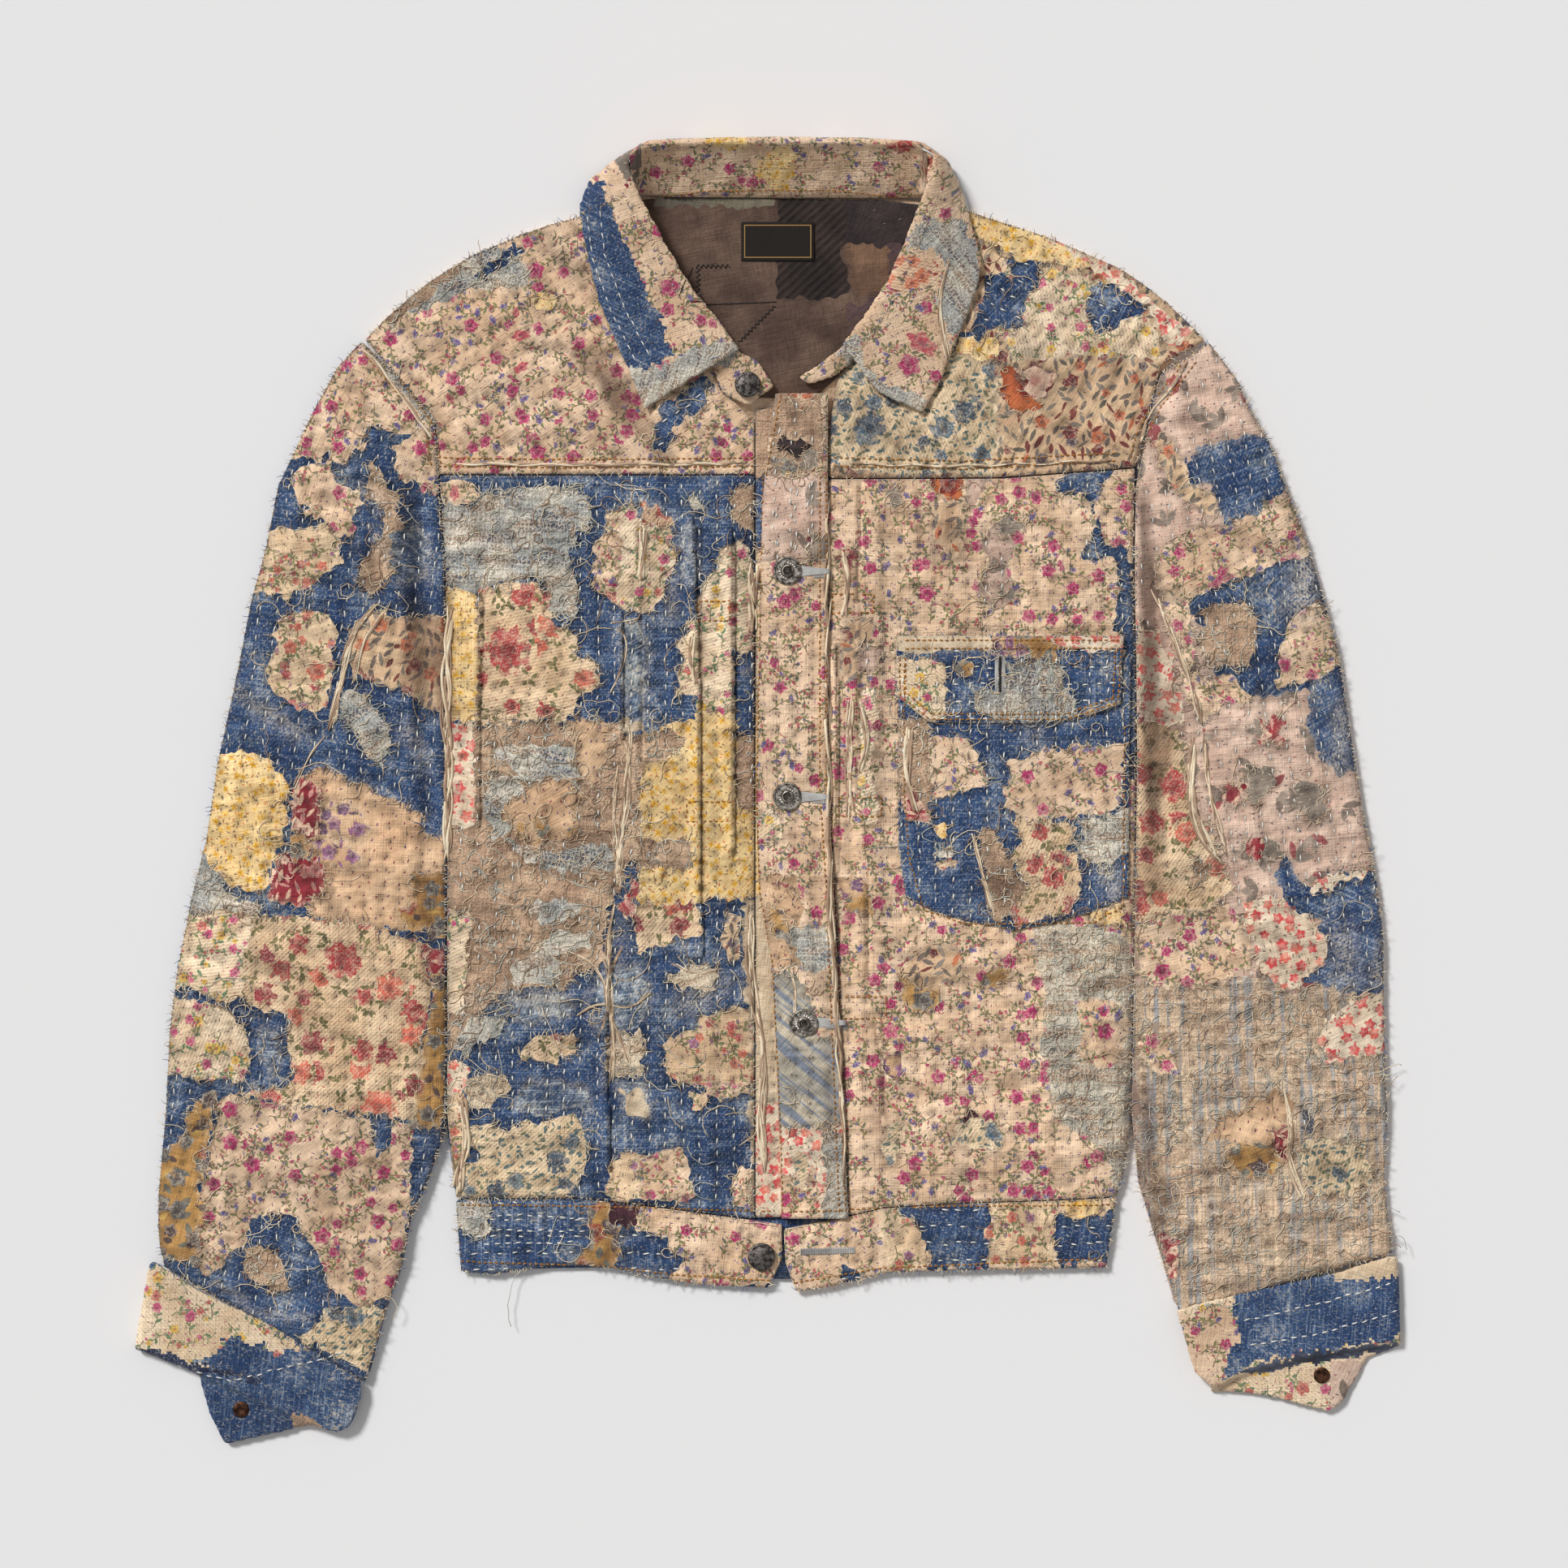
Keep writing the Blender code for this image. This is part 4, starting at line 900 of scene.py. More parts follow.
class Recipe:
    """The nodes of one material, wired by short calls."""

    def __init__(self, name):
        self.material = bpy.data.materials.new(name)
        self.material.use_nodes = True
        self.nodes = self.material.node_tree.nodes
        self.links = self.material.node_tree.links
        self.nodes.clear()
        self.out = self.nodes.new("ShaderNodeOutputMaterial")
        self.shader = self.nodes.new("ShaderNodeBsdfPrincipled")
        self.links.new(self.shader.outputs[0], self.out.inputs["Surface"])

    def feed(self, socket, value):
        if isinstance(value, bpy.types.NodeSocket):
            self.links.new(value, socket)
        else:
            socket.default_value = value

    def math(self, operation, a, b=0.0, c=0.0, clamp=False):
        node = self.nodes.new("ShaderNodeMath")
        node.operation = operation
        node.use_clamp = clamp
        for socket, value in zip(node.inputs, (a, b, c)):
            self.feed(socket, value)
        return node.outputs[0]

    def times(self, a, b, clamp=False):
        return self.math("MULTIPLY", a, b, clamp=clamp)

    def plus(self, a, b):
        return self.math("ADD", a, b)

    def less(self, a, b):
        return self.math("SUBTRACT", a, b)

    def plan(self):
        """The place on the whole jacket."""
        return self.nodes.new("ShaderNodeTexCoord").outputs["Object"]

    def scaled(self, vector, scale):
        node = self.nodes.new("ShaderNodeVectorMath")
        node.operation = "MULTIPLY"
        self.feed(node.inputs[0], vector)
        node.inputs[1].default_value = scale
        return node.outputs[0]

    def value(self, name):
        node = self.nodes.new("ShaderNodeAttribute")
        node.attribute_name = name
        return node.outputs["Vector"]

    def split(self, vector):
        node = self.nodes.new("ShaderNodeSeparateXYZ")
        self.feed(node.inputs[0], vector)
        return node.outputs[0], node.outputs[1], node.outputs[2]

    def cloud(self, vector, scale, detail=2.0, rough=0.5):
        """Noise from 0 to 1 over a vector that is scaled first."""
        node = self.nodes.new("ShaderNodeTexNoise")
        node.inputs["Scale"].default_value = 1.0
        node.inputs["Detail"].default_value = detail
        node.inputs["Roughness"].default_value = rough
        self.feed(node.inputs["Vector"], self.scaled(vector, scale))
        return node.outputs[0]

    def span(self, value, low, high, to_low=0.0, to_high=1.0, soft=True):
        node = self.nodes.new("ShaderNodeMapRange")
        node.interpolation_type = "SMOOTHSTEP" if soft else "LINEAR"
        self.feed(node.inputs[0], value)
        for place, number in enumerate((low, high, to_low, to_high), 1):
            node.inputs[place].default_value = number
        return node.outputs[0]

    def mix(self, share, a, b, blend="MIX"):
        node = self.nodes.new("ShaderNodeMix")
        node.data_type = "RGBA"
        node.blend_type = blend
        self.feed(node.inputs[0], share)
        self.feed(node.inputs[6], a)
        self.feed(node.inputs[7], b)
        return node.outputs[2]

    def pick(self, value, dyes):
        """One flat colour from a row of starts and dyes."""
        rows = [pair.split() for pair in dyes.split(",")]
        node = self.nodes.new("ShaderNodeValToRGB")
        ramp = node.color_ramp
        ramp.interpolation = "CONSTANT"
        self.feed(node.inputs[0], value)
        while len(ramp.elements) < len(rows):
            ramp.elements.new(0.999)
        for element, (start, dye) in zip(ramp.elements, rows):
            element.position = float(start)
        for element, (start, dye) in zip(ramp.elements, rows):
            element.color = tint(dye)
        return node.outputs[0]

    def bump(self, height, strength, distance, normal=None):
        node = self.nodes.new("ShaderNodeBump")
        node.inputs["Strength"].default_value = strength
        node.inputs["Distance"].default_value = distance
        self.feed(node.inputs["Height"], height)
        if normal is not None:
            self.feed(node.inputs["Normal"], normal)
        return node.outputs[0]

    def put(self, **values):
        for name, value in values.items():
            self.feed(self.shader.inputs[name.replace("_", " ")], value)


TAU = 2 * math.pi
PALE_YARN = "e2d6c0"

# Each cloth: its ground dyes, weave, prints and wear.
# petals, leaves: starts and dyes; eye and stem: dyes; open: how far the weave lets the
# dark below show; tea: brown staining of a net; beneath: the dyes seen through it; fade: share
# of worn, pale places; streak: long stripes along the warp; slub: how uneven the yarns are;
# fluff: how far frayed yarn whitens an edge.
CLOTHS = {
    "floral": dict(ground="ecd0b2", shade="d6b696", stem="846e4e", bell=1.8,
        petals="0 b22868, 0.45 5c5694, 0.75 ba4a5a",
        leaves="0 767c4e, 0.3 646e58, 0.64 785c84, 0.86 965458", eye="701642"),
    "meadow": dict(ground="ecd2ae", shade="d8b894", stem="6a6042",
        petals="0 ce6a58, 0.55 b04852, 0.85 96608c",
        leaves="0 687452, 0.3 808258, 0.64 966470, 0.86 7a6854", eye="963c38"),
    "yellow": dict(petal_depth=0.2, ground="f0d49c", shade="e2c086", stem="926a46", rings=0.0,
        petals="0 deaa24, 0.7 e8bc54", leaves="0 967848, 0.5 ce784c, 0.8 847064", eye="b0622c"),
    "rose": dict(ground="e4caa8", shade="d0b28e", stem="78684e", weave="twill", petal_count=7.0,
        petal_depth=0.08, rings=15.0, petals="0 b03e42, 0.45 d06854, 0.8 96303e",
        leaves="0 62643e, 0.35 7a744e, 0.64 aa5c54, 0.85 7c6c5c", eye="70242e"),
    "twill": dict(ground="f0dcbe", shade="dcc2a0", stem="707456", weave="twill",
        petals="0 c8487c, 0.5 e0b646, 0.8 c4645a", leaves="0 5c8060, 0.35 808e60, 0.64 b06e82, 0.85 807468",
        eye="8c3050"),
    "redtwill": dict(ground="e8ccac", shade="d4b092", stem="82463e", weave="twill",
        petals="0 b03634, 0.6 ce7454", leaves="0 a03c38, 0.4 6c6854, 0.7 8c4650", eye="6e2228"),
    "teal": dict(ground="e6d0ae", shade="ceb694", stem="5c686a", weave="twill", petal_count=7.0,
        petal_depth=0.08, rings=15.0, petals="0 486276, 0.5 384e64, 0.85 6c808a",
        leaves="0 526e70, 0.4 6e765c, 0.7 926e50", eye="28364a"),
    "leafprint": dict(ground="e0c29e", shade="c8a686", stem="5a4c46",
        petals="0 7a2a32, 0.6 cc704c, 0.85 605460",
        leaves="0 6c625e, 0.34 70282e, 0.56 867e76, 0.84 c66e48, 0.9 5c5c54", eye="46222c"),
    "dotted": dict(ground="e6c4a0", shade="d2ac88", stem="785a64", petals="0 783c50",
        leaves="0 705478, 0.8 8c4854", eye="50283c"),
    "ditsy": dict(ground="ecdcc4", shade="d8c2a8", stem="96645a", petal_depth=0.16, rings=0.0,
        eye_share=0.3, petals="0 d6424a, 0.75 de685a", leaves="0 8c7860, 0.6 cc5454", eye="f0bea0"),
    "mauve": dict(ground="dec4b2", shade="ceb09e", stem="8c786c", petals="0 92343e",
        leaves="0 968a7e, 0.26 7c7066, 0.5 96464c, 0.64 6e6068, 0.85 aa6868", eye="504054"),
    "mustard": dict(ground="ba9056", shade="987246", stem="5a4638",
        petals="0 606060, 0.55 463a42, 0.8 964634", leaves="0 6c7068, 0.45 4a3e42, 0.75 c4a05c",
        eye="342c34", slub=1.4),
    "plum": dict(ground="5c363e", shade="462832", stem="8c6450", petals="0 966850, 0.5 783c46",
        leaves="0 6e5458, 0.5 967450", eye="3c242c"),
    "maroon": dict(ground="9e3640", shade="802834", stem="e2bea4", petals="0 e4c0a8, 0.6 be7874",
        leaves="0 e4c2a6, 0.5 ce968c", eye="8c2838", slub=1.3),
    "violet": dict(ground="e6c4a0", shade="d2ac88", stem="78546e", petals="0 96608c, 0.6 764e7a",
        leaves="0 8c5884, 0.6 70546e", eye="5a3c64"),
    "slate": dict(ground="8e8276", shade="6e645c", stem="544c48", petals="0 969696",
        leaves="0 544c4a, 0.6 b0a496", eye="3c4250"),
    "charcoal": dict(ground="423636", shade="2e2628", stem="28262c", petals="0 c4c2bc", leaves="0 787470",
        eye="a09e98", petal_depth=0.0, rings=0.0, fluff=0.0),
    "orange": dict(ground="d87c4e", shade="ba623e", stem="783830", petals="0 882c2c, 0.6 e2a460",
        leaves="0 963c32, 0.6 e4b06e", eye="5a2228"),
    "gauze": dict(ground="e0dcce", shade="b4b6b0", weave="gauze", open=0.95, tea=0.35,
        beneath=("545c6e", "a48c76")),
    "palegauze": dict(ground="ded6c2", shade="bcb8aa", weave="gauze", open=0.95),
    "taupe": dict(ground="d8ba9c", shade="bc9c82", weave="gauze", open=0.6),
    "creamnet": dict(ground="ecdec4", shade="cebca0", weave="gauze", open=0.7),
    "streaked": dict(ground="e6ceb0", shade="d8bea2", weave="gauze", open=0.55, streak=0.8, other="96a2ac"),
    "striped": dict(ground="c4baa6", shade="a8a294", streak=0.9, other="788496", slub=1.3),
    "cream": dict(ground="e6d4b8", shade="ceb89a", slub=1.3),
    "denim": dict(ground="3e5c86", shade="26406a", weave="denim", fade=0.32, worn="92a2b4"),
    "faded": dict(ground="586e8c", shade="3c5272", weave="denim", fade=0.5, worn="b0bac0"),
    "navy": dict(ground="2e3854", shade="242a42", weave="denim", fade=0.1, worn="646e8c"),
    "lining": dict(ground="685448", shade="4e3c34", slub=1.4, fluff=0.0),
    "greygreen": dict(ground="767060", shade="5c584e", slub=1.3, fluff=0.0),
    "ribbed": dict(ground="382c28", shade="221b19", weave="ribbed", fluff=0.0),
    "tan": dict(ground="7e624e", shade="664e3e", slub=1.2, fluff=0.0),
    "dusk": dict(ground="68524c", shade="4c3a3a", streak=0.5, other="544250", fluff=0.0),
    "satin": dict(ground="626a7e", shade="343a4c", streak=0.6, other="242838"),
}
SEWN = {"denim": 0.95, "gauze": 0.3, "palegauze": 0.3, "taupe": 0.6, "creamnet": 0.3,
        "lining": 0.0, "greygreen": 0.0, "ribbed": 0.0, "tan": 0.0, "dusk": 0.0, "charcoal": 0.2}
LEVEL = {"denim": 1.0, "faded": 1.05, "gauze": 1.3, "palegauze": 1.3, "taupe": 1.2,
         "creamnet": 1.45, "rose": 1.4, "twill": 1.5, "yellow": 1.6, "ditsy": 1.55,
         "meadow": 1.3, "floral": 1.35, "dotted": 0.7, "mustard": 1.8, "maroon": 1.55,
         "violet": 0.7, "slate": 1.65, "teal": 1.5, "leafprint": 1.45, "mauve": 0.9}
FRAY = {"denim": 0.75, "faded": 0.7, "gauze": 0.6, "taupe": 0.6, "rose": 0.45, "twill": 0.5}
MOTIFS = {"floral": floral, "meadow": meadow, "yellow": yellow, "rose": rose, "twill": twill,
          "redtwill": petals, "teal": teal, "leafprint": leafprint, "dotted": dotted,
          "ditsy": ditsy, "mauve": mauve, "mustard": mustard, "plum": blots, "maroon": leafprint,
          "violet": petals, "slate": specks, "orange": blots}


class ClothRecipe(Recipe):
    """A cloth's recipe, with what all its parts read: thread directions, clouds and yarns."""

    def __init__(self, name):
        super().__init__(name)
        self.weft = self.value("weft")
        self.a, self.b, self.own = self.split(self.weft)
        self.broad = self.cloud(self.weft, (0.045, 0.045, 61), 3)
        self.fine = self.cloud(self.weft, (0.28, 0.28, 47), 2)
        self.warp_yarn = self.cloud(self.weft, (0.055, 1.15, 53), 1)
        self.weft_yarn = self.cloud(self.weft, (1.15, 0.055, 59), 1)


def worn_denim(r, colour, fade, worn):
    """Denim faded in clouds, with dark nap, pale specks, bald places and pale yarns."""
    wear = r.plus(r.times(r.broad, 0.55), r.times(r.fine, 0.45))
    wear = r.math("MULTIPLY_ADD", r.weft_yarn, 0.26, r.times(wear, 0.74))
    colour = r.mix(r.span(wear, 0.64 - fade * 0.4, 0.8 - fade * 0.35), colour, tint(worn))
    nap = r.cloud(r.weft, (0.34, 0.62, 29), 4, 0.75)
    colour = r.mix(r.span(nap, 0.32, 0.52, 0.75, 0), colour, tint("1e2e56"))
    speck = r.cloud(r.weft, (0.46, 0.8, 33), 4, 0.75)
    colour = r.mix(r.span(speck, 0.54, 0.63, 0, 0.7), colour, tint("b2b4b0"))
    bald = r.times(r.span(r.broad, 0.5, 0.66), r.span(nap, 0.46, 0.62))
    bald = r.times(bald, r.span(speck, 0.44, 0.54))
    colour = r.mix(r.times(bald, fade * 2.4), colour, tint("cec2aa"))
    return r.mix(r.span(r.weft_yarn, 0.54, 0.72, 0, 0.3), colour, tint(worn))


def printed_sprigs(r, colour, torn, stem, leaves):
    """The print's stems and leaves, here and there missing."""
    missing = r.span(r.cloud(r.weft, (0.16, 0.16, 83), 1), 0.2, 0.28)
    u, _, _ = r.split(r.value("stem"))
    far = r.plus(r.math("ABSOLUTE", u), r.times(torn, 0.9))
    colour = r.mix(r.times(r.span(far, 1.1, 1.9, 0.85, 0), missing), colour, tint(stem))
    u, v, w = r.split(r.value("leaf"))
    point = r.plus(r.times(u, u), r.math("ABSOLUTE", v))
    point = r.plus(point, r.times(r.less(torn, 0.5), 0.75))
    share = r.times(r.span(point, 0.8, 1.15, 0.92, 0), missing)
    return r.mix(share, colour, r.pick(w, leaves))


def printed_blooms(r, colour, torn, petals, eye, petal_count, petal_depth, rings, eye_share, bell):
    """The print's blooms: lobed petals with paler rings round a dark eye."""
    u, v, w = r.split(r.value("bloom"))
    v = r.times(v, r.span(w, 0.44, 0.46, 1.0, bell)) if bell > 1 else v
    out = r.math("SQRT", r.plus(r.times(u, u), r.times(v, v)))
    angle = r.math("ARCTAN2", v, u)
    ragged = r.times(r.less(torn, 0.5), 0.5)
    wave = r.math("SINE", r.plus(r.times(angle, petal_count), r.times(w, 9.0)))
    lobes = r.math("MULTIPLY_ADD", wave, petal_depth, 0.8)
    swirl = r.cloud(r.weft, (0.24, 0.24, 91), 2)
    if rings > 12:
        ragged = r.math("MULTIPLY_ADD", r.less(swirl, 0.5), 1.5, ragged)
    edge = r.plus(r.less(out, lobes), ragged)
    petal = r.pick(w, petals)
    turn = r.plus(r.times(out, rings), r.times(torn, 9.0))
    turn = r.plus(turn, r.math("MULTIPLY_ADD", swirl, rings * 1.3, angle))
    light_petal = r.mix(0.5, petal, tint(PALE_YARN))
    petal = r.mix(r.span(r.math("SINE", turn), -0.1, 0.9, 0, 0.7), petal, light_petal)
    petal = r.mix(r.span(out, 0.12, 0.42, eye_share, 0), petal, tint(eye))
    return r.mix(r.span(edge, -0.08, 0.1, 0.95, 0), colour, petal)


def woven(r, weave, depth):
    """How light the yarns are and how high they lie: both ways, with twill lines or ribs."""
    yarns = r.plus(r.warp_yarn, r.weft_yarn)
    light = r.span(yarns, 0.66, 1.34, 1 - depth, 1 + depth, soft=False)
    if weave in ("twill", "denim"):
        lines = r.math("SINE", r.times(r.plus(r.a, r.b), TAU / 2.8))
        contrast, height = 0.1, 0.16
    elif weave == "ribbed":
        lines = r.math("SINE", r.times(r.a, TAU / 4.2))
        contrast, height = 0.2, 0.6
    else:
        return light, yarns
    light = r.times(light, r.math("MULTIPLY_ADD", lines, contrast, 1.0))
    return light, r.math("MULTIPLY_ADD", lines, height, yarns)


def open_net(r, colour, rise, open, tea, beneath):
    """Yarns spaced both ways, brown stains in rows, and the cloth beneath in the gaps."""
    shift = r.times(r.less(r.fine, 0.5), 7.0)
    over = r.math("SINE", r.times(r.plus(r.a, shift), TAU / 2.9))
    under = r.math("SINE", r.times(r.less(r.b, shift), TAU / 2.6))
    net = r.math("MAXIMUM", r.span(over, 0.1, 0.9), r.span(under, 0.1, 0.9))
    rows = r.cloud(r.weft, (0.17, 0.03, 73), 2)
    close = r.span(rows, 0.36, 0.62, 0.25, 1.0)
    holes = r.times(r.less(1.0, net), close)
    below = r.mix(r.span(r.broad, 0.4, 0.6), tint(beneath[0]), tint(beneath[1]))
    colour = r.mix(r.span(rows, 0.5, 0.66, 0, tea), colour, tint("c6a88c"))
    colour = r.mix(r.times(holes, open), colour, below)
    return colour, r.math("MULTIPLY_ADD", net, 0.8, rise)


def aged(r, colour, light, weave, fluff):
    """Uneven wash, painted shade in hollows, folds and under edges, painted light on ridges, rubbed places,
    frayed pale edges.
    """
    grey = r.times(light, r.span(r.fine, 0.25, 0.75, 0.94, 1.05))
    wash = r.cloud(r.plan(), (14, 14, 14), 2)
    grey = r.times(grey, r.span(wash, 0.3, 0.7, 0.92, 1.06))
    # each scrap is a little lighter or darker than the next of its kind
    grey = r.times(grey, r.span(r.own, 0.0, 1.0, 0.93, 1.07, soft=False))
    border, hollow, shade_and_rub = r.split(r.value("border"))
    # painted shade in the hollows of the relief and painted light on its ridges
    grey = r.times(grey, r.span(hollow, -1.2, 0.7, 0.64, 1.08))
    # painted shade along the strokes: dark navy on denim, dark brown elsewhere
    shade_dye = (0.55, tint("242638")) if weave == "denim" else (0.66, tint("503228"))
    colour = r.mix(r.times(shade_and_rub, shade_dye[0], clamp=True), colour, shade_dye[1])
    rubbed = r.times(r.times(shade_and_rub, -1.0, clamp=True),
                     r.span(r.cloud(r.weft, (0.5, 0.7, 19), 4, 0.7), 0.4, 0.56))
    colour = r.mix(rubbed, colour, tint("dcd4c6"))
    hairy = r.cloud(r.weft, (0.8, 0.8, 17), 2)
    frayed = r.times(r.span(border, 0.1, 1.0, 0, fluff), r.span(hairy, 0.36, 0.64))
    colour = r.mix(frayed, colour, r.mix(0.55, tint(PALE_YARN), colour))
    # painted shadow on the cloth just under a patch's edge
    grey = r.times(grey, r.span(border, -0.9, -0.1, 0.74, 1.0))
    tone = r.nodes.new("ShaderNodeCombineColor")
    for socket, share in zip(tone.inputs, OLD_CLOTH_TONE):
        r.feed(socket, r.times(grey, share))
    return r.mix(1.0, colour, tone.outputs[0], "MULTIPLY")


OLD_CLOTH_TONE = (0.985, 0.95, 0.92)  # all of it has yellowed a little
CLOTH_SHEEN = {"denim": 0.15, "gauze": 0.22}


def cloth_material(name, ground, shade, stem=None, petals=None, leaves=None, eye=None,
                   weave="plain", petal_count=5.0, petal_depth=0.12, rings=9.0, eye_share=0.6,
                   bell=1.0, open=0.0, fade=0.0, worn=None, streak=0.0, other=None, slub=1.0,
                   fluff=0.75, tea=0.6, beneath=("806a5c", "b09278")):
    r = ClothRecipe("cloth_" + name)
    colour = r.mix(r.span(r.broad, 0.34, 0.66), tint(shade), tint(ground))
    if streak:
        bands = r.cloud(r.weft, (0.012, 0.24, 67), 3, 0.6)
        colour = r.mix(r.span(bands, 0.47, 0.62, 0, streak), colour, tint(other))
    if weave == "denim":
        colour = worn_denim(r, colour, fade, worn)
    if stem:
        torn = r.cloud(r.weft, (0.95, 0.95, 31), 1)
        colour = printed_sprigs(r, colour, torn, stem, leaves)
        colour = printed_blooms(r, colour, torn, petals, eye, petal_count, petal_depth, rings,
                                eye_share, bell)
        faint = r.span(r.cloud(r.weft, (0.11, 0.11, 71), 3, 0.65), 0.54, 0.78, 0, 0.55)
        colour = r.mix(faint, colour, tint(ground))
    light, rise = woven(r, weave, 0.2 if weave == "denim" or open else 0.13 * slub)
    if open:
        colour, rise = open_net(r, colour, rise, open, tea, beneath)
    colour = aged(r, colour, light, weave, fluff)
    yarn_relief = r.bump(rise, 0.8, 0.0006)
    crush = r.cloud(r.weft, (0.42, 0.3, 37), 3, 0.6)
    normal = r.bump(crush, 0.7, 0.0013, yarn_relief)
    r.put(Base_Color=colour, Normal=normal, Roughness=0.88)
    shine = CLOTH_SHEEN.get(weave, 0.28)
    r.put(Sheen_Weight=shine, Sheen_Roughness=0.5, Specular_IOR_Level=0.22)
    return r.material


CLOTH = {name: cloth_material(name, **recipe) for name, recipe in CLOTHS.items()}


def yarn_material(name, dye, shade):
    """Sewing thread: two close dyes that change along it, with a fine twist."""
    r = Recipe(name)
    place = r.plan()
    patchy = r.cloud(place, (70, 70, 70), 2)
    twist = r.cloud(place, (1900, 1900, 900), 1)
    colour = r.mix(r.span(patchy, 0.32, 0.68), tint(shade), tint(dye))
    colour = r.mix(r.span(twist, 0.3, 0.7, 0.0, 0.35), colour, tint(shade))
    r.put(Base_Color=colour, Roughness=0.75, Normal=r.bump(twist, 0.4, 0.0002))
    r.put(Sheen_Weight=0.3, Sheen_Roughness=0.4, Specular_IOR_Level=0.3)
    return r.material


def metal(name, dye, shade, rough):
    """Old metal: two dull tones in blotches, scratched."""
    r = Recipe(name)
    place = r.plan()
    blotch = r.cloud(place, (380, 380, 380), 4, 0.65)
    scratch = r.cloud(place, (2400, 300, 900), 2)
    colour = r.mix(r.span(blotch, 0.38, 0.62), tint(shade), tint(dye))
    r.put(Base_Color=colour, Roughness=r.span(blotch, 0.3, 0.7, rough, rough + 0.25))
    r.put(Metallic=1.0, Normal=r.bump(scratch, 0.35, 0.0001))
    return r.material


STEEL = metal("old_steel", "beb8ae", "5c5650", 0.38)
DARK_STEEL = metal("dark_steel", "7e7874", "3c3736", 0.4)
BROWN_METAL = metal("brown_metal", "684838", "34241e", 0.42)


